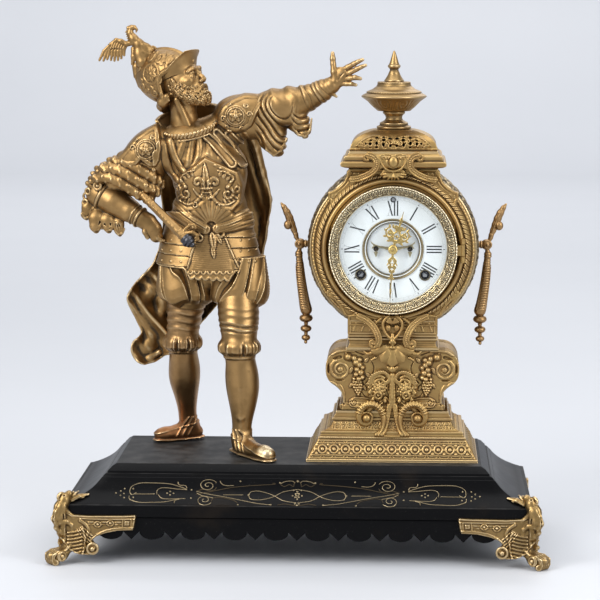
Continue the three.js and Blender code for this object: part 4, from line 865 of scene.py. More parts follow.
def build_head():
    C = Clay((-173.8, -38, 419.6), (-89.5, 24, 514.5), 0.45)
    L, M = HD, HD.M
    e = lambda a, b, c, r, k=1.5, cut=False, fn=None: C.ball(L.p(a, b, c), np.array(r, float) * L.k, M, k, cut, fn)
    C.limb([(-118, -1, 421, 15.5), (-118, -2, 432, 13.5), (-119, -3, 447, 12.8), (-120, -4, 458, 13)], k=3)
    for q in (-1, 1):                       # neck cords
        C.limb([(-118 + 7 * q, -12 - q * 2, 423, 3.2), L.p(-3, 11 * q, -14) + (3.2,)], k=4)
    e(-1, 0, 3, (19.3, 15.0, 20))
    e(7.0, 0, -6.5, (11.6, 11.4, 14.5), 4)
    e(8.5, 0, -14.5, (10.2, 9.4, 7.6), 4)
    C.limb(L.l([(15.0, 9.8, 4.2, 1.9), (17.5, 5.4, 5.6, 2.0), (18.0, 0, 4.9, 2.0), (17.5, -5.4, 5.6, 2.0), (15.0, -9.8, 4.2, 1.9)]), k=2.6)
    for q in (-1, 1):
        e(11.4, 9.0 * q, -3.2, (5.4, 4.1, 3.8), 4)
        e(19.2, 6.4 * q, 0.7, (4.3, 4.5, 2.7), 2.4, True)
        e(14.3, 6.2 * q, 0.7, (3.4, 3.7, 3.3), 0.7)
        C.limb(L.l([(14.9, 9.9 * q, 0.5, 0.55), (16.7, 8.2 * q, 2.1, 0.75), (17.6, 6.0 * q, 2.6, 0.8), (17.2, 3.5 * q, 1.5, 0.6)]), k=1.0)
        C.limb(L.l([(14.9, 9.9 * q, 0.3, 0.5), (16.6, 7.8 * q, -1.1, 0.5), (17.2, 5.4 * q, -1.4, 0.5), (17.0, 3.4 * q, 0.2, 0.45)]), k=1.0)
        e(18.35, 6.3 * q, 0.75, (0.75, 0.75, 0.75), 0.2, True)
        C.limb(L.l([(18.6, 3.4 * q, 5.9, 0.8), (18.6, 6.4 * q, 6.6, 0.9), (16.4, 10.0 * q, 5.6, 0.6)]), k=1.0)
    C.limb(L.l([(17.4, 0, 3.6, 1.7), (19.2, 0, 0.4, 1.5), (21.3, 0, -3.0, 1.65), (22.3, 0, -5.2, 1.9)]), k=2.0)
    e(19.4, 0, -6.0, (3.2, 2.6, 1.7), 1.6)
    for q in (-1, 1):
        e(20.0, 2.5 * q, -6.1, (2.0, 1.45, 1.5), 0.9)
        C.limb(L.l([(21.2, 1.2 * q, -7.7, 0.6), (20.2, 1.6 * q, -7.4, 0.6)]), k=0.5, cut=True)
    e(17.4, 0, -11.5, (2.9, 5.6, 3.6), 2.5)
    C.limb(L.l([(17.8, -3.8, -13.4, 0.8), (19.9, -1.4, -13.6, 1.15), (19.9, 1.4, -13.6, 1.15), (17.8, 3.8, -13.4, 0.8)]), k=1.0)
    C.limb(L.l([(18.4, -4.4, -12.3, 0.3), (21.0, 0, -12.2, 0.45), (18.4, 4.4, -12.3, 0.3)]), k=0.6, cut=True)
    # beard mass along the jaw and under the chin
    for q in (-1, 1):
        C.limb(L.l([(1.0, 13.2 * q, -4, 2.6), (4, 12.4 * q, -10, 3.4), (9.5, 8.8 * q, -16.5, 4.6), (14.5, 3.5 * q, -20.0, 5.0)]), k=3)
    e(16.6, 0, -19.8, (5.0, 6.0, 5.2), 2.5)

    def snap(p):
        p = np.array(p, float)
        for _ in range(5):
            i = (p - C.lo) / C.v
            i = np.clip(i, 1, np.array(C.S.shape) - 3)
            j = i.astype(int)
            d = float(C.S[tuple(j)])
            g = np.array([float(C.S[tuple(j + u)]) - float(C.S[tuple(j - u)]) for u in np.eye(3, dtype=int)])
            g = g / (np.linalg.norm(g) + 1e-9)
            p = p - g * np.clip(d, -1.5, 1.5)
        return p, g
    got = []
    for _ in range(9000):
        if len(got) > 230:
            break
        q = 1 if rng.random() < 0.5 else -1
        a, b, c = -4 + 26 * rng.random(), q * 17 * rng.random(), -25 + 27 * rng.random()
        rr = math.hypot(a - 4, b)
        if rr < 8 or c > 0.5 - 0.62 * max(a, -1) - (6 if abs(b) < 6 else 0):
            continue
        if abs(b) < 6.5 and a > 12 and c > -15.3:
            continue
        if a < 5 and c < -11 - 1.2 * a:
            continue
        p, g = snap(L.p(a, b, c))
        i = np.clip(np.round((p - C.lo) / C.v).astype(int), 0, np.array(C.S.shape) - 1)
        if abs(float(C.S[tuple(i)])) > 1.2:        # never reached the skin
            continue
        la, lb, lc = [float(v) for v in L.of(*p)]
        if lc < -26 or abs(la - a) > 7 or abs(lc - c) > 6 or (la < 5 and lc < -13 - la) or lc > 0.5 - 0.62 * max(la, -1):
            continue
        if any(np.sum((p - o[0]) ** 2) < 6.6 for o in got):
            continue
        got.append((p, g, rng.random()))
    for p, g, t in got:                    # tight curls, each a small coil round a knot
        n = unit(g + 0.35 * rng.normal(0, 1, 3))
        u = unit(np.cross(n, (0.3, 0.2, 1)))
        w = np.cross(n, u)
        a0 = TAU * t
        pts = []
        for i in range(9):
            a1 = a0 + i * 0.78
            r = 2.0 - 0.17 * i
            pts.append(tuple(p + (u * math.cos(a1) + w * math.sin(a1)) * r + n * (0.25 + 0.09 * i)) + (0.78,))
        C.limb(pts, k=0.35)
        C.ball(tuple(p + n * 0.7), 0.8, None, 0.3)
    # moustache, in strands
    for q in (-1, 1):
        for j in range(5):
            o = j * 0.62
            C.limb(L.l([(20.5, 0.6 * q, -9.2 - 0.35 * j, 0.75), (20.5 - 0.12 * j, 2.8 * q, -9.7 - o * 0.8, 0.95), (19.4 - 0.2 * j, (5.4 + o * 0.2) * q, -11.2 - o * 0.85, 0.95),
                        (17.2 - 0.2 * j, (8.0 + o * 0.3) * q, -12.6 - o * 0.8, 0.8), (15.6, (10.2 + o * 0.2) * q, -12.4 - o * 0.7, 0.5)]), k=0.25)
    for q in (-1, 1):                      # ears
        C.limb(L.l([(1.6, 15.5 * q, 2.4, 1.5), (2.6, 16.2 * q, 0.2, 1.2), (2.2, 15.6 * q, -2.2, 1.1)]), k=1.0)
    # helmet bowl with face opening, drawn out to the back under the crest
    R = Relief(-54, -44, 44, 48, 0.5)
    R.H2 = R.sd([(44, 14), (21, 11.5), (12, 10.6), (2, 9.6), (-5, 7.4), (-9.5, 3), (-11.5, -3), (-13, -10), (-14, -18), (-15, -44), (44, -44)]).astype(f4)

    RO = Relief(-54, -44, 44, 48, 0.4)
    RO.line(arc(-15, 14, 8.6, 0, 360, 44), 1.2, 0.8)
    for j in range(7):
        a_ = TAU * j / 7 + 0.3
        RO.leaf(-15 + 1.6 * math.cos(a_), 14 + 1.6 * math.sin(a_), -15 + 7.4 * math.cos(a_), 14 + 7.4 * math.sin(a_), 2.7, 1.3, 0.35)
    RO.dot(-15, 14, 2.2, 1.7)
    for x, z, r, a0, tn in ((-27.5, 25, 4.8, 30, 470), (-29, 7, 4.4, 300, -470), (-3.5, 24.5, 4.2, 200, 450), (-18.5, -2.5, 4.0, 80, 450), (-13, 28.6, 3.4, 0, -430), (5, 19, 3.2, 90, 420)):
        RO.line(arc(x, z, r, a0, a0 + tn, 34, 0.9), (1.8, 1.0), 1.25)
        RO.dot(x, z, 1.2, 1.3)
        for j in range(3):
            a_ = math.radians(a0 + 60 * j)
            RO.leaf(x + r * math.cos(a_), z + r * math.sin(a_), x + (r + 4.2) * math.cos(a_ + 0.45), z + (r + 4.2) * math.sin(a_ + 0.45), 1.7, 1.0, 0.35)
    RO.line([(-12.0, 6.6), (-3, 11.6), (6, 13.6), (16, 14.2)], 1.1, 0.9)
    for j in range(12):
        RO.dot(-10.5 + 2.2 * j, 9.6 + 0.5 * j - 0.022 * j * j, 0.8, 0.9)

    def helm(X, Y, Z):
        a, b, c = L.of(X, Y, Z)
        p, q = -(a + 10.5) * 0.85 + (c - 8.6) * 0.53, (a + 10.5) * 0.53 + (c - 8.6) * 0.85
        k0 = np.sqrt((p / 30.0) ** 2 + (q / 23.4) ** 2 + (b / (19.6 - 0.10 * np.clip(p, 0, 30))) ** 2)
        ell = (k0 - 1) * 21.5
        i = np.clip((a - R.x0) / R.v, 0, R.nx - 2).astype(int)
        j = np.clip((c - R.z0) / R.v, 0, R.nz - 2).astype(int)
        face = -R.H2[i, j]                   # positive inside the opening
        rim = 1.0 * np.exp(-((face + 1.5) / 1.2) ** 2)
        comb = 1.7 * np.exp(-(b / 1.7) ** 2) * sm(q, 8, 16)
        side = sm(np.abs(b), 4, 9)
        r = np.hypot(a + 14, c - 15)
        th = np.arctan2(c - 15, a + 14)
        orn = RO.at(a, c) * side
        return (np.maximum(ell - rim - comb - orn - 0.0 * th, face * 0.85)) * L.k
    C.put(helm, (-174, -40, 432), (-88, 26, 515), 0.7)
    # leafy ridge and lobes at the back of the bowl
    for (p, q2, r) in (((-33.5, 0, 27), (-36.5, 0, 20), 4.0), ((-35, 0, 19), (-36.0, 0, 11), 3.6), ((-34, 0, 10), (-31.5, 0, 2.5), 3.4)):
        for o in (-4.5, 4.5):
            C.limb(L.l([(p[0], p[1] + o, p[2], r), (q2[0], q2[1] + o, q2[2], r * 0.7)]), k=1.3)
    # neck guard: a short flaring lip at the nape
    C.limb(L.l([(-21, 0, -3, 7.5), (-21.5, 0, -9, 5.2), (-23.5, 0, -14.5, 2.8)]), k=3, flat=(M[:, 0], 0.5))
    C.limb(L.l([(-9, 15.2, -9, 3.0), (-16, 13, -11.5, 4.0), (-21.5, 7, -13, 3.8), (-21.5, -7, -13, 3.8), (-16, -13, -11.5, 4.0), (-9, -15.2, -9, 3.0)]), k=3)
    C.limb(L.l([(-8, 15.6, -12.4, 1.2), (-16, 13.6, -14.6, 1.3), (-22.5, 8, -16.2, 1.4), (-25, 0, -17.0, 1.5), (-22.5, -8, -16.2, 1.4), (-16, -13.6, -14.6, 1.3), (-8, -15.6, -12.4, 1.2)]), k=1.2)

    def brim(X, Y, Z):
        a, b, c = L.of(X, Y, Z)
        rho = np.hypot(a * 1.0 + 1.0, b * 1.02)
        c1 = 7.4 + 13.6 * np.clip((a + 9) / 29, 0, 1) ** 1.1
        lean = 17.0 + (c - 9) * 0.34 + 0.014 * np.clip(c - 9, 0, 20) ** 2
        bead = 0.75 * np.exp(-((c - c1 + 0.5) / 0.9) ** 2)
        d = np.maximum(np.abs(rho - lean) * 0.95 - 0.85 - bead, np.maximum((c - c1) * 0.8, 5.0 - c))
        return np.maximum(d, -(a + 8.5)) * L.k
    C.put(brim, (-150, -40, 455), (-88, 24, 515), 0.9)
    for q in (-1, 1):                        # scroll and boss over each ear
        C.torus(L.p(-9.5, 18.8 * q, 6.0), M[:, 1], 2.9 * L.k, 0.8 * L.k, 0.5)
        C.ball(L.p(-9.5, 19.2 * q, 6.0), 1.5 * L.k, None, 0.4)
        C.limb(L.l([(-10.5, 17.4 * q, 2, 1.3), (-12, 16.9 * q, -5, 1.5), (-13, 15.9 * q, -10, 1.3)]), k=1.0)
    return C.mesh("Head", M_FIG, rep=["figure_head"], slot="figure_bronze", cav=7)


def build_crest():
    C = Clay((-209, -11, 482), (-144, 13, 531.8), 0.42)
    # body and neck of the winged beast
    C.limb([(-151, 2, 505, 2.6), (-157, 2, 506, 3.6), (-164, 2, 509.5, 5.0), (-169.5, 2, 515, 4.6), (-172.8, 2, 520.5, 3.0),
            (-172.2, 2, 525.2, 2.5)], k=2)
    C.ball((-170.6, 2, 526.0), (3.9, 2.9, 2.8), None, 1.2)
    C.limb([(-168.2, 2, 526.6, 1.9), (-166.0, 2, 524.0, 1.25), (-166.6, 2, 521.6, 0.7)], k=0.7)
    C.limb([(-172, 2, 527.4, 1.2), (-175.0, 2, 526.0, 1.3), (-175.4, 2, 523.0, 1.0)], k=0.8)
    for q in (-1, 1):
        C.ball((-169.6, 2 + 2.3 * q, 526.8), 0.9, None, 0.3)
    for i in range(7):                       # mane ridges down the neck
        t = i / 6
        C.limb([(-175.2 + 3 * t, 2, 523 - 13 * t, 1.1), (-177.4 + 3.5 * t, 2, 521.3 - 13 * t, 0.6)], k=0.6)
    C.limb([(-164, 2, 508, 5.0), (-163, 1.5, 500, 6.0), (-160, 0.5, 492, 7.0)], k=3)
    C.limb([(-157, 2, 506, 4.2), (-155, 1, 499, 5.5)], k=3)
    C.limb([(-170, 2, 505, 2.2), (-169.5, 1.5, 497, 2.6), (-170.5, 1, 489.5, 1.6)], k=1.5)
    for q in (-1, 1):                        # legs gripping the helmet
        C.limb([(-163, 2 + 2 * q, 507, 2.6), (-160, 2 + 4.4 * q, 502, 2.0), (-156, 2 + 5 * q, 500, 1.6)], k=1)
    # wing: arm, then long feathers
    C.limb([(-171, 2, 511, 3.0), (-176, 2, 509.5, 2.4), (-182, 2.5, 512.4, 2.3), (-187, 3, 513.4, 2.1), (-193, 3.5, 509, 1.9)], k=1.2)
    tips = [(-204.3, 3.6, 493.2), (-200.2, 3.6, 492.8), (-196.4, 3.4, 494.2), (-192.6, 3.2, 493.4), (-189.0, 3.0, 492.8),
            (-185.4, 2.8, 493.4), (-182.0, 2.6, 495.2), (-179.0, 2.4, 498.2)]
    roots = [(-192.5, 3.5, 509.5), (-190.5, 3.4, 509.8), (-188.5, 3.3, 510.0), (-186.5, 3.2, 510.0), (-184.5, 3.0, 509.6),
             (-182.0, 2.8, 509.0), (-179.6, 2.6, 508.4), (-177.0, 2.4, 507.6)]
    for i, (a, b) in enumerate(zip(roots, tips)):
        m = tuple((np.array(a) + b) / 2 + (-1.2, 0.2, 1.0))
        C.limb([a + (1.6,), m + (1.9,), b + (1.25,)], k=0.35, flat=((0, 1, 0), 0.62))
    for i in range(6):                       # short feathers over the roots
        a = (-190 + i * 2.5, 2.2, 511.2 - 0.35 * abs(i - 2))
        C.limb([a + (1.1,), (a[0] - 2.4, 2.0, a[2] - 5.2, 1.15)], k=0.3)
    C.limb([(-150, 2, 503.5, 2.0), (-147.6, 1.6, 505.6, 1.4), (-149.6, 1.4, 507.2, 1.1)], k=0.8)
    return C.mesh("Crest", M_FIG, rep=["helmet_crest"], slot="figure_bronze", cav=6, share=0.01)


# ---------------------------------------------------------------- trunk
PLATE = [(-95.7, 399), (-108, 389), (-121, 380.5), (-128.5, 361), (-124, 348), (-115.5, 342.5), (-104, 343.5), (-96, 349.5),
         (-90.2, 354.5), (-84, 350), (-77, 344), (-67.5, 343), (-59, 351.5), (-56, 369), (-61.5, 384), (-78, 391.5)]
PAL_L = Local((-157.5, -6, 398.5), frame3((-0.30, -0.86, 0.40)), 1.0)
PAL_R = Local((-59.5, -5.5, 441.0), frame3((0.10, -0.92, 0.38)), 1.0)


SH_L = [(-143.8, 434), (-151.8, 428.4), (-165.8, 419.5), (-175, 408.6), (-186.5, 396), (-182.4, 390.2), (-174.1, 387.3), (-164.1, 388.3), (-159.7, 393.6), (-155.1, 389.3), (-150.2, 386.4), (-144.2, 388.4), (-141.1, 394.3), (-139.1, 406.2), (-140, 420)]
SH_R = [(-83.8, 430.3), (-83, 440), (-79, 449), (-70, 456), (-57, 462), (-30, 462), (-35.7, 453), (-42.6, 440.2), (-47.6, 428.4), (-54.5, 423.4), (-64.4, 421.4), (-74.3, 423.4)]


def shoulder_art(R, x, z, k, q):
    """Rosette in a ring, with scrolls and leaves around it."""
    for r, h in ((8.6, 0.8), (10.6, 0.55)):
        R.line(arc(x, z, r * k, 0, 360, 40), 0.55, h, add=True)
    for j in range(5):
        a = math.radians(90 + 72 * j)
        R.leaf(x, z, x + 7.0 * k * math.cos(a), z + 7.0 * k * math.sin(a), 2.1 * k, 1.1, 0.3, add=True)
    R.dot(x, z, 1.9 * k, 1.4, add=True)
    for j, (dx, dz, r) in enumerate(((-14, 2, 3.0), (13, -3, 3.0), (-6, -13.5, 2.8), (7, 12.5, 2.6), (-11, 11, 2.6), (9.5, -11, 2.4))):
        R.line(arc(x + dx * k * q, z + dz * k, r * k, 40 * j, 40 * j + 400, 24, 0.6), (0.8, 0.5), 0.85, add=True)


def hose(C, c, rx, ry, z0, z1, n, ph0, lean):
    """Slashed trunk hose: boxy, irregular panes with curled edges."""
    def f(X, Y, Z):
        x, y = X - c[0], Y - c[1]
        ph, q = np.arctan2(y / ry, x / rx), np.hypot(x / rx, y / ry)
        h = (Z - z0 - 1.8 * np.sin(4 * ph + ph0) - 1.0 * np.sin(7 * ph)) / (z1 - z0) + 0 * q
        r = np.interp(h.ravel(), [-0.05, 0.0, 0.08, 0.2, 0.4, 0.7, 1.1], [0.5, 0.74, 0.92, 1.0, 1.01, 0.95, 0.86]).reshape(h.shape)
        p2 = ph + ph0 + lean * (h - 0.4) + 0.14 * np.sin(2 * ph + 1.3) + 0.10 * np.sin(5 * ph)
        s = np.abs(np.sin(n * p2 / 2))
        slot = np.clip(1 - s * 2.2, 0, 1) * sm(h, -0.02, 0.10) * sm(-h, -1.0, -0.8)
        g = 2.0 * s ** 0.5 - 3.2 * slot ** 1.2 + 1.0 * np.exp(-((s - 0.46) / 0.10) ** 2) * sm(h, 0.0, 0.15) + 0.9 * np.cos(3 * n * p2) * slot
        return np.maximum((q - r) * min(rx, ry) * 0.9 - (g - 0.8) * 0.8, z0 - 4 - Z)
    C.put(f, (c[0] - rx - 6, c[1] - ry - 6, z0 - 5), (c[0] + rx + 6, c[1] + ry + 6, z1 + 6), 2.0)


def build_body():
    C = Clay((-193, -44.5, 241), (-28, 41, 462), 0.66)
    lo = C.lo
    R = Relief(lo[0], lo[2], lo[0] + (C.n[0] - 1) * C.v, lo[2] + (C.n[2] - 1) * C.v, C.v)
    R.nx, R.nz = C.n[0], C.n[2]
    R.H = np.zeros((R.nx, R.nz), f4)
    R.X = (lo[0] + C.v * np.arange(R.nx)).astype(f4)[:, None]
    R.Z = (lo[2] + C.v * np.arange(R.nz)).astype(f4)[None, :]
    X3, Z3 = R.X, R.Z
    # cores
    C.ball((-92, -5, 377), (37, 27.5, 40), None, 4)
    C.limb([(-146, -1, 397, 19), (-122, -1, 408, 21), (-78, 2, 425, 16.5), (-56, -3, 432, 17)], k=8)
    C.ball((-90.5, -5, 344), (36, 26.5, 30), None, 5)
    C.limb([(-112, 0, 402, 26), (-112, -3, 413, 20)], k=6)
    # shoulder shells
    ML = np.stack([unit((0.73, 0, 0.68)), np.array([0, 1.0, 0]), unit((-0.68, 0, 0.73))], 1)
    C.ball((-156.5, -4, 404), (31, 22.5, 17.8), ML, 3)
    C.limb([(-181, -8, 396, 6), (-168, -12, 393, 8), (-152, -14, 393, 9)], k=5)
    C.ball((-59, -5, 440.5), (29, 22, 19.4), None, 3)

    def tasset(X, Y, Z):
        t = np.clip((338 - Z) / 52, 0, 1.15)
        rx, ry = 42 + 11.5 * t ** 0.9, 29 + 6.0 * t
        x, y = X + 94, Y - 0.5
        q = np.sqrt((x / rx) ** 2 + (y / ry) ** 2)
        d = (q - 1) * ry * 1.02
        dip = sm(np.abs(X + 91), 27, 19) * sm(-Y, 4, 12)
        zb = 287.5 - 0.055 * (X + 148) - dip * (8.2 + 2.3 * np.abs(np.sin((X + 91) * PI / 7.4)))
        s = ((318.5 - Z - 0.05 * (X + 90)) / 10.6) % 1.0
        lame = 0.75 * (s - np.exp(-(s / 0.10) ** 2)) * sm(Z, 321, 318) * sm(np.abs(X + 90) - 0.30 * (318 - Z), 13, 15)
        rim = 0.8 * np.exp(-((Z - zb - 1.6) / 1.3) ** 2)
        return np.maximum(np.maximum(d - lame - rim, zb - Z), Z - 339)
    C.put(tasset, (-155, -42, 272), (-33, 40, 344), 1.6)

    hose(C, (-118, 5), 29, 25.5, 247.5, 292, 9, 0.3, 0.5)
    hose(C, (-63, -4), 29.5, 26, 246.5, 290, 9, 0.7, -0.6)
    C.ball((-91, 4, 276), (27, 22, 16), None, 3)
    C.limb([(-115, 6, 252, 19.5), (-116, 8, 244, 17)], k=2.5)
    C.limb([(-64.5, -5, 251, 21), (-64, -7, 244, 19)], k=2.5)

    # chest cloth folds, plate, fan, sash: drawn from the front
    d = R.sd(PLATE)
    th = np.arctan2(X3 + 106, 486 - Z3)
    ph = th * 23 + 0.9 * np.sin(Z3 * 0.07) + 0.8 * np.sin(th * 9)
    fold = 3.3 * np.abs(np.sin(ph)) ** 0.65 - 2.0
    zone = sm(d, 0.5, 4) * sm(Z3 - 0.30 * (X3 + 110), 352, 366) * sm(-(Z3 - 0.19 * (X3 + 111)), -423, -417) * sm(X3, -150, -141) * sm(-X3, 40, 50)
    zone = zone * (1 - sm(-R.sd(SH_R), -2, 2)) * (1 - sm(-R.sd(SH_L), -2, 2))
    R.H += fold * zone
    R.plate(PLATE, 2.2, 2.2, 0.55, 2.6)
    A = dict(add=True)
    # fleur-de-lis
    R.leaf(-93.2, 364, -95.2, 392.5, 3.8, 1.9, **A)
    for q in (-1, 1):
        c = -93.8
        R.line(arc(c + q * 8.6, 373.0, 5.0, 180 if q > 0 else 0, (180 - 330) if q > 0 else 330, 20, 1.2), (2.6, 1.4), 1.4, **A)
        R.line([(c + q * 3.6, 371), (c + q * 2.8, 366), (c + q * 4.8, 361)], (2.2, 1.3), 1.0, **A)
        R.line(arc(c + q * 21.5, 361.5, 6.6, 90, 90 - q * 400, 26, 1.6), (2.4, 1.2), 1.1, **A)
        R.line(spline([(c + q * 21.5, 368.1), (c + q * 27, 377), (c + q * 20, 383), (c + q * 12, 385)], 5), (2.0, 0.9), 0.9, **A)
        R.line(spline([(c + q * 4, 360), (c + q * 12, 353), (c + q * 20, 350.5), (c + q * 28.5, 354)], 5), (1.9, 1.0), 0.85, **A)
        R.line(spline([(c + q * 3, 357), (c + q * 9, 361), (c + q * 13, 366)], 5), (1.8, 0.9), 0.85, **A)
        R.line(arc(c + q * 30, 366, 4.0, 200, 200 + q * 380, 24, 1.0), (1.8, 0.9), 0.85, **A)
        R.line(arc(c + q * 12, 350, 3.2, 90, 90 + q * 360, 22, 0.8), (1.0, 0.6), 0.9, **A)
        for j in range(4):
            R.leaf(c + q * (13 + 3.5 * j), 379 - 2.0 * j, c + q * (16 + 4.2 * j), 385.5 - 3.0 * j, 1.5, 0.9, **A)
            R.leaf(c + q * (17 + 3 * j), 357 + j, c + q * (20 + 4 * j), 351 + 1.5 * j, 1.2, 0.8, **A)
            R.dot(c + q * (9 + 5 * j), 390.5 - 3.3 * j, 1.1, 0.8, **A)
    R.line([(-99.0, 366.8), (-88.4, 367.2)], 1.3, 1.2, **A)
    R.line([(-97.0, 362.6), (-90.6, 362.8)], 0.9, 0.8, **A)
    # fan of pleats between the plate's lobes and the knot
    for j in range(10):
        a = math.radians(24 + j * 132 / 9)
        r1 = 25.0 - 3.0 * abs(math.sin((j - 4.5) * 0.34)) ** 1.2
        R.line([(-89.2 + 6 * math.cos(a), 329 + 6 * math.sin(a)), (-89.2 + r1 * math.cos(a), 329 + r1 * math.sin(a))], (1.7, 4.6), 2.8)
    # sash: two wide bands folded lengthwise, gathered at the knot
    for pts, w in (([(-140, 353), (-124, 343.5), (-108, 333), (-95, 326)], (12.5, 6.0)), ([(-83, 326.5), (-70, 330), (-58, 334), (-44, 337)], (6.0, 12.5))):
        P = spline(pts, 7)
        R.line(P, w, 2.6, "flat")
        for o in (-0.30, 0.06, 0.36):
            ww = np.interp(np.arange(len(P)), [0, len(P) - 1], w)
            R.line([(x + 0.25 * o * k2, z + o * k2) for (x, z), k2 in zip(P, ww)], (2.6, 1.6), 0.9, add=True)
    R.leaf(-88.6, 323, -85.6, 305, 4.2, 3.2)
    R.leaf(-88.0, 310, -86.0, 296, 2.6, 2.4)
    R.leaf(-85, 322, -78.5, 311, 3.0, 2.2)
    R.line(arc(-80, 321.5, 4.2, 120, -160, 16, 2.6), 1.6, 2.2)
    # edge of the middle apron, its engraving, straps of the side lames
    R.line(spline([(-104, 320), (-108, 305), (-113, 287)], 5), 1.1, 1.2, add=True)
    R.line(spline([(-76, 320), (-69, 303), (-62, 288)], 5), 1.1, 1.2, add=True)
    for z in np.arange(286, 318, 2.1):
        R.line([(-105 + 0.1 * (318 - z) * -1, z + 0.7), (-90, z - 0.6), (-73 + 0.1 * (318 - z), z + 0.3)], 0.6, 0.32, add=True)
    for x in np.arange(-110, -62, 6.6):
        R.line(arc(x, 283.5, 2.4, 180, 360, 10), 0.7, 0.8, add=True)
    for q, xs in ((-1, (-120, -131, -141)), (1, (-60, -52, -45))):
        for x in xs:
            for z in (314, 303.5, 293):
                R.dot(x, z, 1.0, 0.7, add=True)
    for k2, (x, z) in enumerate([(-104, 322), (-101, 317), (-109, 317.5)]):
        R.line(arc(x, z, 3.6, 200, -120, 14, 2.6), 1.3, 2.2)
    # hanging straps below the shoulders
    for pts, w in (([(-139, 410), (-136, 394), (-131, 380), (-125, 374)], (5.5, 4.4)), ([(-143, 400), (-142, 384), (-138, 371), (-133, 364)], (5.5, 4.4)), ([(-131, 414), (-127, 400), (-121, 388), (-117, 384)], (4.5, 3.4))):
        R.line(spline(pts, 6), w, 3.2)
    for pts in ([(-94, 419), (-85, 411), (-74, 399), (-68, 392)], [(-84, 422), (-74, 411), (-63, 398), (-57, 392)], [(-72, 420), (-63, 410), (-54, 399), (-49, 391)]):
        P = spline(pts, 7)
        R.line(P, (5.6, 6.6), 3.2, "flat")
        R.line(P, (2.4, 3.0), -1.2, add=True)
    # shoulder shells: raised edge and ornament
    for S, x, z, q in ((SH_L, -153.5, 403.5, 1), (SH_R, -64.5, 438.5, 1)):
        R.plate(S, 2.8, 2.0, 0.9, 2.8)
    keep = R.H.copy()
    shoulder_art(R, -154.5, 405, 1.0, 1)
    shoulder_art(R, -64.5, 439, 0.98, -1)
    inn = np.maximum(sm(-R.sd(SH_L), 2.6, 4.0), sm(-R.sd(SH_R), 2.6, 4.0))
    R.H = np.where(X3 < -1e9, 0, keep + (R.H - keep) * inn)
    H = R.H.astype(f4)
    Y = (lo[1] + C.v * np.arange(C.n[1])).astype(f4)[None, :, None]
    mask = 1 - sm(Y, -9, 3)
    C.S -= H[:, None, :] * mask * np.clip((5.6 - C.S) / 1.2, 0, 1).astype(f4)      # only near the surface
    # the back: cloth gathers and the closed back of the armour
    back = sm(Y, 4, 14)
    X4 = R.X[:, :, None]
    Z4 = (lo[2] + C.v * np.arange(C.n[2])).astype(f4)[None, None, :]
    fb = 0.8 * np.sqrt(np.abs(np.sin(np.arctan2(X4 + 100, 470 - Z4) * 11))) * sm(Z4, 340, 352)
    C.S -= (fb * back).astype(f4)
    # buckle knot
    C.torus((-88.8, -37.6, 324.6), (0, 1, 0.05), 3.9, 1.5, 0.5)
    C.box((-91.2, -39.4, 321.8), (-86.4, -34, 327.4), 0.9, 0.5)
    # stand-up collar, high at the sides and the back, nothing in front
    ax = unit((-0.20, -0.30, 1))
    cc0 = np.array([-111.5, -5.5, 427.0])
    u1 = unit(np.cross((0, 1, 0), ax))
    u2 = np.cross(ax, u1)

    def collar(X, Y, Z):
        x, y, z = X - cc0[0], Y - cc0[1], Z - cc0[2]
        h = x * ax[0] + y * ax[1] + z * ax[2]
        a = x * u1[0] + y * u1[1] + z * u1[2]
        b = x * u2[0] + y * u2[1] + z * u2[2]
        rho, ang = np.hypot(a, b * 1.15), np.arctan2(b, a)
        front = sm(-b, -3, 11)
        top = 13.5 - 18 * front
        cone = np.abs(rho - 26.0 - 0.50 * np.maximum(h, 0)) * 0.9 - 1.2 - 0.6 * np.exp(-((h - top + 1) / 1.0) ** 2)
        return np.maximum(np.maximum(cone, h - top), -h - 6)
    C.put(collar, (-160, -42, 410), (-66, 38, 459), 1.0)
    # twisted rope at its foot
    nn = 44
    for i in range(nn):
        a = i / nn * TAU
        c = cc0 + u1 * 27.2 * math.cos(a) + u2 * 25.4 * math.sin(a) + ax * 0.4
        t = unit(-u1 * math.sin(a) + u2 * math.cos(a))
        out = unit(u1 * math.cos(a) + u2 * math.sin(a))
        w = unit(t + 1.2 * ax)
        C.limb([tuple(c - w * 1.9 + out * 0.6) + (1.75,), tuple(c + w * 1.9 + out * 1.0) + (1.75,)], k=0.35)
    # chest inside the neckline
    C.limb([(-115, -14, 415, 9), (-106, -14, 420, 9)], k=4)
    # a ball-ended toggle behind the left side
    C.limb([(-128, 12, 352, 3), (-134.5, 14, 350.5, 4.2)], k=1.2)
    return C.mesh("Trunk", M_FIG, rep=["figure_body"], slot="figure_bronze", cav=8)


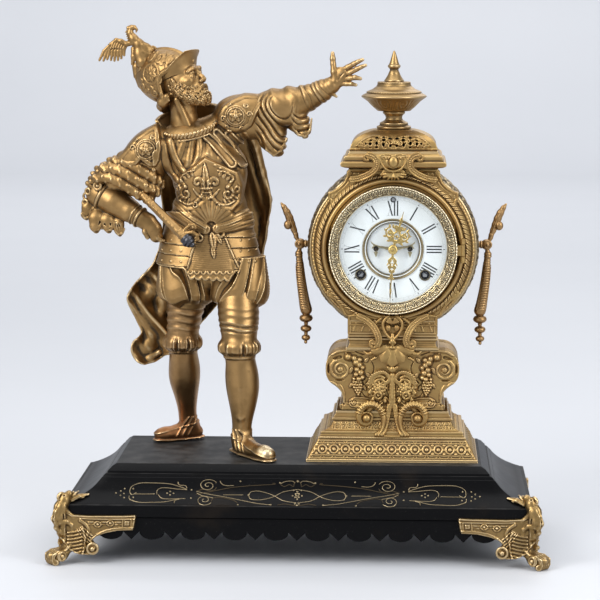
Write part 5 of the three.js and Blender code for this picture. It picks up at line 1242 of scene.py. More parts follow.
# ---------------------------------------------------------------- arms
def build_raised():
    C = Clay((-82, -43, 396), (72.5, 22, 507), 0.60)
    C.ball((-50, -4, 436), (22, 19, 22), None, 3)
    C.limb([(-44, -5, 442, 17.5), (-24, -8, 446, 19.5), (-8, -11, 451, 16.5), (6, -14, 456, 12.6), (20, -19, 463.2, 10.4), (31, -23.3, 469.6, 8.6)], k=4)
    C.limb([(-32, -8, 436, 14), (-28, -9, 414, 12.5), (-25, -10, 405.5, 7.5)], k=6)
    C.limb([(-12, -10, 444, 13), (-2, -12, 432, 9.5), (3, -13, 423, 6.5)], k=5)

    def folds(X, Y, Z):
        w1 = np.hypot((X + 17 + 3.0 * np.sin(Z * 0.13)) / 0.58, Z - 457) + 2.2 * np.sin(X * 0.16 + 0.7) + 1.4 * np.sin(Z * 0.21 + X * 0.09)
        w2 = np.hypot((X - 2 + 1.5 * np.sin(Z * 0.2)) / 0.75, Z - 449) + 1.2 * np.sin(X * 0.3)
        m1 = sm(Z + 0.25 * X, 456, 440) * sm(X, -48, -40) * sm(-X, -2, 8)
        m2 = sm(Z, 448, 438) * sm(X, -12, -4) * sm(-X, -14, -8)
        f = 2.6 * (np.abs(np.sin(w1 * PI / 8.6 + 0.25 * Y * 0.2)) ** 0.75 - 0.5) * m1 * (1 - m2) * sm(w1, 13, 21) * (0.75 + 0.25 * np.sin(X * 0.11 + Z * 0.07))
        f = f + 1.9 * (np.abs(np.sin(w2 * PI / 6.4)) ** 0.75 - 0.5) * m2 * sm(w2, 7, 12)
        m3 = sm(Z - 0.2 * X, 447, 455) * sm(X, -34, -28) * sm(-X, -4, 2)
        f = f + 1.0 * np.sin((X * 0.75 + Z * 0.75) * TAU / 12 + 1.1 * np.sin(Z * 0.16 + X * 0.1)) * m3 * (1 - m1)
        return f
    C.lift(folds, (-52, -36, 396), (14, 20, 474))
    ax = unit((27.4, -10, 15))

    def rings(X, Y, Z):
        t = (X - 6) * ax[0] + (Y + 14) * ax[1] + (Z - 456) * ax[2]
        m = sm(t, -2, 4) * sm(-t, -27.5, -23)
        s = (t + 2.4 * np.sin(Z * 0.16 + 0.5) + 0.8 * np.sin(t * 0.4)) * PI / 5.6
        return 1.0 * (np.abs(np.sin(s)) ** 0.9 - 0.5) * m
    C.lift(rings, (0, -38, 440), (42, 0, 488))
    # cuff
    C.torus((29.5, -22.6, 468.6), ax, 7.6, 1.5, 0.8)
    C.torus((32.4, -23.8, 470.2), ax, 6.8, 1.1, 0.6)
    C.limb([(30, -24, 462.5, 2.4), (36, -26, 458.5, 1.3)], k=1.5)
    # hem rims of the hanging folds
    C.limb([(-37, -18, 418, 1.2), (-34, -18.5, 405, 1.4), (-27, -17.5, 399.5, 1.5), (-20, -17, 404, 1.4), (-14, -17.5, 416, 1.2)], k=1.0)
    C.limb([(-8, -20, 428, 1.1), (-2, -20.5, 420, 1.3), (5, -19, 418.5, 1.4), (9.5, -18.5, 425, 1.3), (11, -19, 436, 1.0)], k=1.0)
    # hand
    C.limb([(30, -22.6, 468.8, 6.6), (35, -24.8, 472.8, 6.8)], k=2, flat=((0.35, 0.9, 0.1), 0.75))
    Rm = frame3((0.42, -0.17, 0.88), (0.3, 0.9, 0))
    C.ball((39.2, -26.3, 478.3), (10.2, 8.6, 4.6), np.stack([Rm[:, 0], unit(np.cross(Rm[:, 0], (0.34, 0.93, 0.1))), unit(np.array([0.34, 0.93, 0.1]))], 1), 2.5)
    C.limb([(35.0, -27.4, 474, 3.6), (33.6, -26.6, 483, 3.5), (32.6, -25.2, 491, 2.7), (32.2, -24.6, 496, 2.75), (32.0, -24.0, 501.5, 1.9)], k=1.4)
    C.limb([(42.2, -26.4, 484.2, 3.2), (47, -28.2, 487.6, 2.8), (53.5, -31, 491.2, 2.6), (57.5, -32.6, 493.4, 2.2), (62, -34, 495.4, 1.75)], k=0.9)
    C.limb([(44.2, -27.4, 480.0, 3.2), (49.5, -29.8, 482.6, 2.8), (56, -32.8, 486.0, 2.55), (60.5, -34.6, 488.2, 2.2), (65, -36, 490.0, 1.7)], k=0.8)
    C.limb([(44.0, -27.6, 475.6, 3.1), (49.0, -30.4, 476.9, 2.75), (54.5, -33.4, 477.8, 2.6), (59.8, -35.2, 476.8, 1.9)], k=0.8)
    C.limb([(41.6, -26.6, 471.8, 3.0), (46, -29.4, 471.4, 2.5), (51, -31.6, 471.4, 2.3), (55.4, -32.8, 470.4, 1.7)], k=0.8)
    C.limb([(37.5, -30.8, 474.5, 0.5), (40, -31.3, 479.5, 0.5), (43.5, -31.4, 482.5, 0.4)], k=0.9, cut=True)
    return C.mesh("Raised_arm", M_FIG, rep=["figure_arm_raised"], slot="figure_bronze", cav=8)


def build_akimbo():
    C = Clay((-225, -32, 306), (-132, 31, 424), 0.56)
    C.ball((-158, -3, 392), (20, 18, 17), None, 3)
    C.limb([(-162, -1, 388, 18), (-176, 3, 379, 17.5), (-190, 6, 371, 17), (-203, 8, 362, 14.5)], k=5)
    # rolled, twisted swags of the puffed sleeve
    swags = [([(-214, 2, 369), (-206, -11, 375), (-192, -17, 376), (-177, -19.5, 369), (-163, -19, 360), (-151, -14, 354)], 5.6),
             ([(-208, 2, 379), (-198, -12, 385), (-183, -18, 384), (-168, -20.5, 376), (-154, -19, 367), (-146, -13, 361)], 6.0),
             ([(-196, 2, 389), (-186, -12, 392), (-172, -18.5, 390), (-158, -20.5, 383), (-147, -17, 375), (-142, -10, 369)], 5.6),
             ([(-180, -8, 397), (-168, -16, 396), (-155, -19, 391), (-146, -17, 384)], 4.6)]
    for pts, r in swags:
        P = spline(pts, 5)
        n = len(P)
        C.limb([tuple(p) + (r * (0.62 + 0.38 * math.sin(PI * (i + 0.5) / n)),) for i, p in enumerate(P)], k=0.9)
        for o in (0.0, PI):
            Q = []
            for i, p in enumerate(P):
                t = unit(P[min(i + 1, n - 1)] - P[max(i - 1, 0)])
                n1 = unit(np.cross(t, (0, 0, 1)))
                n2 = np.cross(t, n1)
                a = o + i * 1.15
                Q.append(tuple(np.array(p) + (n1 * math.cos(a) + n2 * math.sin(a)) * r * 0.66) + (r * 0.5,))
            C.limb(Q, k=0.5)
    C.torus((-205.5, -13.5, 367.5), (-0.3, -0.95, 0.1), 3.6, 1.5, 0.6)
    C.ball((-205.5, -14.2, 367.5), 1.9, None, 0.4)
    C.limb([(-152, -14, 376, 5.5), (-149, -15, 366, 5.5), (-150, -14, 358, 4)], k=1.5)

    def strands(X, Y, Z):
        v = (X + 175) * 0.36 + (Z - 378) * 0.93
        m = sm(Z + 0.45 * X, 272, 280) * sm(-X, 146, 152) * sm(Z, 348, 356)
        return 0.8 * np.sin(v * TAU / 7.6 + 0.9 * np.sin(X * 0.15)) * m * sm(Y, -6, 4)
    C.lift(strands, (-222, -30, 336), (-142, 30, 420))
    # plain flaring gauntlet from elbow to wrist, banded at both ends
    C.limb([(-203.5, 3, 358, 16.0), (-190, -4, 351, 14.2), (-174, -9.5, 342, 11.4), (-162, -12, 335, 9.4)], k=1.6)
    gx = unit((41.5, -15, -23))
    C.torus((-163.0, -12, 335.6), gx, 9.9, 1.5, 0.7)
    C.torus((-167.6, -11, 338.4), gx, 10.7, 0.75, 0.5)
    C.torus((-200, 1, 356), gx, 15.8, 1.7, 0.8)
    for j in range(7):                      # faint long facets
        a = math.radians(200 + 24 * j)
        g1 = unit(np.cross(gx, (0, 1, 0)))
        g2 = np.cross(gx, g1)
        o = g1 * math.cos(a) + g2 * math.sin(a)
        p0, p1 = np.array([-196, -1, 354.5]) + o * 14.6, np.array([-170, -10.6, 340]) + o * 10.2
        C.limb([tuple(p0) + (1.2,), tuple((p0 + p1) / 2 + o * 0.3) + (1.3,), tuple(p1) + (0.8,)], k=2.2)
    # leaf curls at the elbow and the ruffles hanging below it
    for (x, y, z, r) in ((-218.5, -2, 356, 3.4), (-219.5, -4, 349.5, 3.0), (-216, -8, 361.5, 2.8)):
        C.torus((x, y, z), (-0.4, -0.9, 0), r, 1.3, 0.8)
    lobes = [([(-211, 0, 350, 6), (-217, -3, 344, 6.2), (-219.5, -3, 337, 4.4), (-218.5, -3, 333.5, 2.2)], -3),
             ([(-206, -2, 344, 8), (-208, -8, 334, 7.6), (-208.5, -9, 326, 6.0), (-208, -8, 321.5, 3.0)], -9),
             ([(-197, -3, 340, 8), (-196.5, -9, 332, 7.2), (-195.5, -10, 325.5, 5.4), (-195, -9, 321.5, 2.8)], -10),
             ([(-187, -5, 335, 6.5), (-185.5, -9, 328, 6.0), (-184.5, -9, 321.5, 4.6), (-184, -8, 317.6, 2.2)], -9),
             ([(-204, 12, 344, 8), (-205, 15, 332, 7), (-205, 15, 324, 4)], 14), ([(-190, 9, 338, 7), (-189, 12, 329, 6), (-189, 12, 321, 3.4)], 12)]
    for pts, y in lobes:
        C.limb(pts, k=1.6, flat=((0, 1, 0), 0.62))
    for pts, y in lobes[:4]:
        top, tip = np.array(pts[0][:3]), np.array(pts[-1][:3])
        m = (top + tip) / 2 + (0, -4.6, -2)
        for dx in (-2.6, 0.4, 3.0):
            C.limb([tuple(top + (dx * 0.5, -6.5, -4)) + (0.4,), tuple(m + (dx, -1.6, 0)) + (0.8,), tuple(tip + (dx * 0.4, -3.4, 2)) + (0.4,)], k=0.8, cut=True)
        C.limb([tuple(tip + (-4.6, -2.2, 5.0)) + (1.1,), tuple(tip + (-1.2, -2.4, 0.6)) + (1.2,), tuple(tip + (2.6, -2.4, 1.4)) + (1.2,), tuple(tip + (5.0, -2.0, 6)) + (1.0,)], k=0.8)
    # hand on the hip, its back to the viewer
    C.limb([(-163, -11, 335, 8.4), (-155, -12.5, 331, 8.8), (-149.5, -13, 324, 8.6), (-146.5, -13, 317, 6.8)], k=2.5, flat=((0, 1, 0), 0.85))
    for j in range(4):
        y = -16.5 + 4.2 * j
        C.limb([(-148.5, y, 321.0, 2.9), (-144.6, y - 0.4, 315.5 - 0.4 * j, 2.6), (-141.4, y - 0.2, 313.0 - 0.5 * j, 2.2), (-138.6, y, 312.4 - 0.4 * j, 1.7)], k=0.8)
    C.limb([(-157, -15, 329, 3.2), (-157.5, -16.5, 321.5, 2.9), (-155.0, -16.5, 315.8, 2.2)], k=1.0)
    return C.mesh("Hip_arm", M_FIG, rep=["figure_arm_akimbo"], slot="figure_bronze", cav=8)


def build_dagger():
    C = Clay((-163, -52, 301), (-97, -15, 364), 0.42)
    C2 = Clay((-124, -54, 298), (-96, -30, 330), 0.42)
    a, b = np.array([-156., -23.5, 356.5]), np.array([-114., -41.5, 318.0])
    d = unit(b - a)
    n1 = unit(np.cross(d, (0, 1, 0.2)))
    n2 = np.cross(d, n1)
    L = np.linalg.norm(b - a)

    def sheath(X, Y, Z):
        x, y, z = X - a[0], Y - a[1], Z - a[2]
        t = x * d[0] + y * d[1] + z * d[2]
        u = x * n1[0] + y * n1[1] + z * n1[2]
        v = x * n2[0] + y * n2[1] + z * n2[2]
        r = 3.9 + 0.9 * t / L
        q = np.maximum(np.maximum(np.abs(u), np.abs(v) * 0.92), (np.abs(u) + np.abs(v)) * 0.76)
        bands = 0.55 * (np.exp(-((t - 4) / 1.0) ** 2) + np.exp(-((t - 9) / 0.8) ** 2) + np.exp(-((t - L + 5) / 1.0) ** 2) + np.exp(-((t - L + 10) / 0.8) ** 2))
        panel = 0.45 * sm(np.abs(u), 2.0, 1.4) * sm(t, 12, 14) * sm(-t, -L + 12, -L + 14)
        studs = 0.5 * np.clip(np.cos(t * TAU / 4.8), 0, 1) * sm(np.abs(u), 1.2, 0.4) * sm(t, 13, 15) * sm(-t, -L + 13, -L + 15)
        return np.maximum(q - r - bands + panel - studs, np.maximum(-t - 2, t - L - 1))
    C.put(sheath, (-163, -50, 310), (-104, -14, 362), 0.4)
    C.ball(tuple(a - d * 3.0), 3.6, None, 0.8)
    C.limb([tuple(a - d * 5.0) + (1.7,), tuple(a - d * 7.0) + (1.2,)], k=0.8)
    # octagonal collar and pommel at the lower end
    for t, r, w in ((0.5, 6.2, 1.5), (4.2, 7.0, 2.2), (7.4, 5.4, 1.6)):
        c = b + d * t
        C2.limb([tuple(c - d * w * 0.4) + (r,), tuple(c + d * w * 0.4) + (r,)], k=0.4, flat=(d, 0.34))
    C2.ball(tuple(b + d * 9.6), 3.0, None, 0.6)
    C2.mesh("Dagger_end", M_IRON, slot="figure_bronze", cav=5, share=0.01)
    # guard: curled quillons towards the knot
    C.limb([(-113, -41, 323, 2.6), (-107, -42.5, 324, 2.2), (-102, -43.5, 321, 1.9), (-101.4, -43.5, 317, 1.6), (-104.5, -43.5, 315.5, 1.4)], k=0.8)
    C.limb([(-115, -40.5, 326, 2.2), (-110, -41.5, 331, 1.9), (-105.5, -42, 331.5, 1.6), (-104, -42.5, 328.5, 1.4)], k=0.8)
    C.ball((-103.6, -44, 318.4), 1.5, None, 0.4)
    C.ball((-106.6, -43, 329.0), 1.4, None, 0.4)
    return C.mesh("Dagger", M_FIG, rep=["dagger"], slot="figure_bronze", cav=5, share=0.01)


# ---------------------------------------------------------------- cape
def build_cape():
    P = [(-148, 405), (-140, 424), (-116, 432), (-74, 438), (-55, 430), (-44, 404), (-38.5, 378), (-31.8, 350), (-35.5, 326), (-42, 286),
         (-54, 264), (-80, 249), (-100, 227), (-118, 207), (-134, 191), (-143, 187), (-152, 181), (-164, 178.5), (-174, 183),
         (-178.5, 193), (-176, 203), (-168.5, 210), (-172, 220), (-179.5, 236), (-182, 249), (-175, 262), (-164, 274), (-154, 286), (-147, 308), (-144, 338), (-148, 372)]
    P = [tuple(p) for p in spline(P + [P[0]], 4)[:-1]]
    C = Clay((-190, 10, 170), (-24, 56, 444), 0.85)
    lo = C.lo
    R = Relief(lo[0], lo[2], lo[0] + (C.n[0] - 1) * C.v, lo[2] + (C.n[2] - 1) * C.v, C.v)
    R.nx, R.nz = C.n[0], C.n[2]
    R.X = (lo[0] + C.v * np.arange(R.nx)).astype(f4)[:, None]
    R.Z = (lo[2] + C.v * np.arange(R.nz)).astype(f4)[None, :]
    d = R.sd(P)
    X, Z = R.X, R.Z
    t = np.clip((432 - Z) / 250, 0, 1)
    # folds fan out from the shoulders, and from the right shoulder down to the left hem
    a1 = np.arctan2(X + 96, 470 - Z)
    f = 36 - 6 * np.exp(-((Z - 425) / 20) ** 2)
    f = f + (1.0 + 4.0 * t) * np.sin(a1 * 22 + 1.2 * np.sin(Z * 0.02)) * sm(Z, 230, 290)
    s = (X + 150) * 0.80 + (Z - 230) * 0.45
    sway = sm(-Z, -292, -262)
    f = f + sway * (5.2 * np.sin(s * TAU / 31 + 1.1 * np.sin(Z * 0.055)) + 1.6 * np.sin(s * TAU / 14 + Z * 0.08 + 1.2 * np.sin(X * 0.07)))
    f = f - 4.5 * sm(d, -9, 0)
    f = np.clip(f, 17, 49.5)
    gx, gz = np.gradient(f, C.v)
    k = 1 / np.sqrt(1 + gx * gx + gz * gz)
    th = 1.5 + 0.9 * np.exp(-((d + 1.4) / 1.3) ** 2)
    Y = (lo[1] + C.v * np.arange(C.n[1])).astype(f4)[None, :, None]
    S = np.maximum((np.abs(Y - f[:, None, :]) - th[:, None, :]) * k[:, None, :], d[:, None, :])
    C.S = np.minimum(C.S, S.astype(f4))
    # rolled hem at the left, thick turned edge at the right
    C.limb([(-152, 40, 262, 4.5), (-164, 41, 246, 7.0), (-165, 42, 226, 7.0), (-158, 40, 208, 5.5), (-160, 40, 196, 7.5), (-170, 42, 190, 7.0)], k=5)
    C.limb([(-137, 38, 268, 4), (-146, 40, 244, 5.5), (-148, 40, 222, 5.5), (-141, 38, 204, 4)], k=4)
    C.limb([(-176, 41, 232, 2.2), (-179.3, 42, 246, 2.6), (-172, 42, 260, 2.4)], k=2)
    C.limb([(-150, 36, 190, 3), (-160, 34, 184, 3.6), (-170, 37, 184.5, 3.4)], k=2.5)
    C.limb([(-58, 22, 426, 6), (-48, 28, 404, 5), (-42, 33, 378, 4.6), (-36, 36, 350, 4.2), (-39, 38, 326, 3.8), (-45, 38, 288, 3.6)], k=3)
    C.limb([(-140, 20, 412, 8), (-116, 24, 421, 8), (-88, 24, 425, 8), (-66, 22, 427, 8)], k=5)

    def fine(X, Y, Z):
        w = (X + 150) * 0.80 + (Z - 230) * 0.45
        m = sm(-Z, -300, -270)
        return 0.12 * np.sin(w * TAU / 9.5 + 1.4 * np.sin(Z * 0.09) + 1.0 * np.sin(X * 0.12)) * m + 0.3 * np.sin((X * 0.9 + Z * 0.2) * TAU / 9) * (1 - m)
    C.lift(fine, (-190, 10, 170), (-24, 56, 444))
    C.S = np.maximum(C.S, (Y - 51.8).astype(f4))
    return C.mesh("Cape", M_FIG, rep=["cape"], slot="figure_bronze", cav=9)


# ---------------------------------------------------------------- legs
def knee_cuff(C, c, r, n, ph0):
    def fn(q):
        ph = np.arctan2(q[1], q[0]) + ph0
        ph = ph + 0.22 * np.sin(2 * ph + 0.4)
        s = np.abs(np.sin(n * ph / 2))
        env = np.clip(1 - np.abs(q[2]) ** 3.5, 0, 1)
        dn = sm(-q[2], -0.55, 0.25)
        slot = np.clip(1 - s * 2.0, 0, 1)
        return (1.5 * s ** 0.45 - 2.8 * slot + 0.9 * np.exp(-((s - 0.5) / 0.12) ** 2) - 0.5 * np.exp(-((s - 0.8) / 0.08) ** 2)) * env * dn + (0.9 * np.exp(-((q[2] + 0.45) / 0.2) ** 2) - 2.2 * sm(q[2], 0.0, 0.95)) * env
    C.ball(c, r, None, 2.2, fn=fn)


def build_leg_front():
    C = Clay((-92, -77, 94.8), (-17, 15, 262), 0.65)
    C.limb([tuple(p) for p in spline([(-64.5, -9, 262, 18), (-63.5, -14, 245, 19.5), (-62.5, -19, 230, 18.6), (-62, -23, 216, 16.2), (-62, -25, 204, 16.5)], 5)], k=3)
    C.limb([tuple(p) for p in spline([(-62, -25, 204, 14), (-60.5, -24.5, 190, 13.6), (-59.5, -23, 177, 15.4), (-58.6, -23, 163, 15.2), (-58.5, -24, 147, 12.3),
            (-59.2, -24.5, 130, 9.0), (-59.8, -24, 117, 8.3), (-60, -24, 108, 8.6)], 5)], k=3)
    C.limb([(-60, -11, 181, 5), (-59, -10, 168, 6), (-58.5, -13, 153, 5)], k=6)       # calf at the back
    C.limb([(-61, -34.5, 190, 2.4), (-60, -36.5, 165, 2.4), (-59.8, -34.0, 135, 2.0), (-60, -31, 120, 1.6)], k=4)   # shin
    knee_cuff(C, (-62, -24.5, 208.0), (20.6, 19.6, 14.0), 7, 0.55)
    C.torus((-61.6, -25.3, 196.2), (0, 0.03, 1), 14.4, 1.9, 1.0)

    def wr(X, Y, Z):
        m = sm(Z, 221, 226) * sm(-Z, -252, -244)
        n = sm(Z, 219, 223) * sm(-Z, -236, -228)
        return 0.25 * np.sin(Z * 0.9 + 0.8 * np.sin(X * 0.2)) * m + 0.5 * np.sin(Z * 1.1 + 0.12 * X + 0.6 * np.sin(X * 0.2)) * n
    C.lift(wr, (-92, -50, 212), (-36, 14, 256))
    # shoe: sole, vamp, round toe, crossed straps
    C.limb([(-61.5, -20, 103.5, 8.4), (-56, -32, 104, 8.6), (-46, -45, 103.6, 8.6), (-36, -56, 103.2, 8.8), (-31.5, -61, 102.8, 8.2)], k=3.5, flat=((0, 0, 1), 0.86))
    C.limb([(-61, -23, 112, 8.6), (-57, -30, 108, 7.5), (-50, -39, 106, 6)], k=4)
    C.limb([(-64, -16, 98.2, 9.4), (-55, -32, 97.6, 9.2), (-38, -54, 97.4, 9.8), (-31, -61.5, 97.4, 9.2)], k=1.4, flat=((0, 0, 1), 0.26))
    d = unit((30, -41, 0))

    def straps(X, Y, Z):
        t = (X + 61) * d[0] + (Y + 22) * d[1]
        up = sm(Z, 99.5, 102)
        return 1.0 * (np.exp(-((t - 9 + 0.5 * (Z - 104)) / 1.1) ** 2) + np.exp(-((t - 15 + 0.5 * (Z - 104)) / 1.1) ** 2) + np.exp(-((t - 21 + 0.6 * (Z - 104)) / 1.0) ** 2)) * up \
            + 0.8 * np.exp(-((Z - 114.5 + 0.25 * t) / 1.0) ** 2)
    C.lift(straps, (-80, -75, 96), (-18, -5, 122))
    C.S = np.maximum(C.S, (95.35 - (C.lo[2] + C.v * np.arange(C.n[2])))[None, None, :].astype(f4))
    return C.mesh("Front_leg", M_LEG, rep=["figure_leg_front"], slot="figure_bronze", cav=9)


def build_leg_rear():
    C = Clay((-166, -14, 94.8), (-93, 67, 262), 0.65)
    C.limb([tuple(p) for p in spline([(-116, 7, 262, 17), (-118.5, 10, 246, 17.6), (-121, 12.5, 231, 16.2), (-122.5, 13.5, 216, 14.8), (-123, 14, 204, 15)], 5)], k=3)
    C.limb([tuple(p) for p in spline([(-123, 14, 204, 12.6), (-122.5, 17, 191, 13.0), (-122.3, 23, 178, 14.6), (-122.6, 28, 165, 14.6), (-122, 35, 149, 11.6),
            (-121.5, 43, 130, 8.6), (-121, 47, 117, 8.0), (-119.5, 50, 108, 8.2)], 5)], k=3)
    C.limb([(-121, 30, 185, 4), (-121, 38, 170, 5.5), (-121, 42, 155, 4.5)], k=6)
    C.limb([(-124, 7, 192, 2.2), (-124.5, 15, 168, 2.2), (-123, 30, 140, 1.8)], k=4)
    knee_cuff(C, (-123, 14, 206.5), (19.4, 18.4, 14.0), 7, 1.1)
    C.torus((-123, 14.6, 194.6), (0, 0.12, 1), 13.2, 1.8, 1.0)

    def wr(X, Y, Z):
        m = sm(Z, 214, 220) * sm(-Z, -250, -242)
        return 0.5 * np.sin(Z * 0.75 + 1.2 * np.sin(X * 0.16) - 0.03 * Y) * m
    C.lift(wr, (-146, -10, 210), (-96, 40, 256))
    C.limb([(-114.5, 53.5, 103.8, 8.6), (-124, 49, 104.2, 8.4), (-134, 45, 103.6, 8.4), (-144, 41.5, 102.8, 8.2), (-148.5, 40.3, 102.4, 7.6)], k=3.5, flat=((0, 0, 1), 0.86))
    C.limb([(-118, 51, 112, 8.2), (-124, 48, 108.5, 7.2), (-131, 45.6, 106, 6)], k=4)
    C.limb([(-112.5, 54.6, 98.2, 8.8), (-128, 47.6, 97.6, 8.8), (-142, 42.6, 97.4, 9.2), (-149, 40.2, 97.4, 8.6)], k=1.4, flat=((0, 0, 1), 0.26))
    d = unit((-34, -12.5, 0))

    def straps(X, Y, Z):
        t = (X + 117) * d[0] + (Y - 52) * d[1]
        up = sm(Z, 99.5, 102)
        return 1.0 * (np.exp(-((t - 6 + 0.5 * (Z - 104)) / 1.1) ** 2) + np.exp(-((t - 12 + 0.5 * (Z - 104)) / 1.1) ** 2) + np.exp(-((t - 18 + 0.6 * (Z - 104)) / 1.0) ** 2)) * up \
            + 0.8 * np.exp(-((Z - 114.5 + 0.25 * t) / 1.0) ** 2)
    C.lift(straps, (-160, 28, 96), (-100, 66, 122))
    C.S = np.maximum(C.S, (95.35 - (C.lo[2] + C.v * np.arange(C.n[2])))[None, None, :].astype(f4))
    return C.mesh("Rear_leg", M_LEG2, rep=["figure_leg_rear"], slot="figure_bronze", cav=9)


build_head()
build_crest()
build_body()
build_raised()
build_akimbo()
build_dagger()
build_cape()
build_leg_front()
build_leg_rear()


# ================================================================== base slab, skirt, feet
def rect_ring(hx, hy, rc, n_c=5, nx=24, ny=12):
    """Points of a rounded rectangle, counter-clockwise, always the same count."""
    rc = min(rc, hx * 0.9, hy * 0.9)
    out = []
    for (cx, cy, a0) in ((hx - rc, -hy + rc, -90), (hx - rc, hy - rc, 0), (-hx + rc, hy - rc, 90), (-hx + rc, -hy + rc, 180)):
        for i in range(n_c):
            a = math.radians(a0 + 90 * i / (n_c - 1))
            out.append((cx + rc * math.cos(a), cy + rc * math.sin(a)))
        k = ny if a0 in (-90, 90) else nx
        nxt = {-90: (hx, hy - rc), 0: (-hx + rc, hy), 90: (-hx, -hy + rc), 180: (hx - rc, -hy)}[a0]
        p = out[-1]
        for i in range(1, k):
            t = i / k
            out.append((p[0] + (nxt[0] - p[0]) * t, p[1] + (nxt[1] - p[1]) * t))
    return np.array(out)


def loft_rect(rows, rc=0.8, cx=0.0, cy=0.0, n_c=5, nx=24, ny=12, push=None):
    """Closed shell through rows (z, hx, hy[, rc]); first and last rows are capped flat."""
    rings = []
    for r in rows:
        q = rect_ring(r[1], r[2], r[3] if len(r) > 3 else rc, n_c, nx, ny)
        rings.append(np.column_stack([q[:, 0] + cx, q[:, 1] + cy, np.full(len(q), r[0])]))
    n = len(rings[0])
    V = np.concatenate(rings)
    if push is not None:
        V = push(V.reshape(len(rows), n, 3)).reshape(-1, 3)
    m = len(rows)
    V = np.concatenate([V, [V[:n].mean(0)], [V[-n:].mean(0)]])
    j = np.arange(n)
    T = np.concatenate([np.stack([np.full(n, m * n), (j + 1) % n, j], 1), np.stack([np.full(n, m * n + 1), (m - 1) * n + j, (m - 1) * n + (j + 1) % n], 1)])
    return V, [grid_faces(m, n, wv=True), T]


SLAB = [(47.0, 231.6, 104.6), (47.6, 232.3, 105.3), (58.3, 232.3, 105.3), (58.9, 231.9, 104.9), (59.5, 229.3, 103.2), (60.0, 228.0, 102.2), (60.6, 227.0, 101.5),
        (62.4, 222.4, 98.6), (64.5, 218.0, 96.0), (67.2, 213.0, 92.9), (70.0, 208.5, 90.0), (73.0, 204.4, 87.5), (76.0, 201.0, 85.5), (79.0, 198.3, 83.8),
        (81.6, 196.2, 82.7), (82.6, 195.3, 82.2), (83.0, 194.6, 81.7), (84.4, 193.7, 81.1), (86.0, 191.9, 79.8), (86.3, 190.6, 79.0), (88.5, 189.9, 78.5), (88.9, 189.2, 78.0), (92.4, 186.1, 75.6),
        (94.3, 182.8, 72.7), (94.8, 182.2, 72.2), (95.0, 181.4, 71.5)]


def build_slab():
    inner = [(93.0 - 0.0, 60, 30), (92.0, 176, 66.5), (86, 184, 73), (76, 193, 78), (66, 210, 88), (58, 224, 98), (47.0, 226, 100)]
    rows = inner + SLAB
    V, F = loft_rect(rows, rc=0.9, nx=40, ny=20)
    # the inner shell hangs from the plateau: close it at mid height
    b = Bag()
    b.put(V, F)
    return b.make("Base_slab", M_ENAMEL, rep=["base_slab"], slot="enamel_black", cav=0, sharp=24)


def slab_y(z):
    zs = [r[0] for r in SLAB]
    return np.interp(z, zs, [r[2] for r in SLAB])


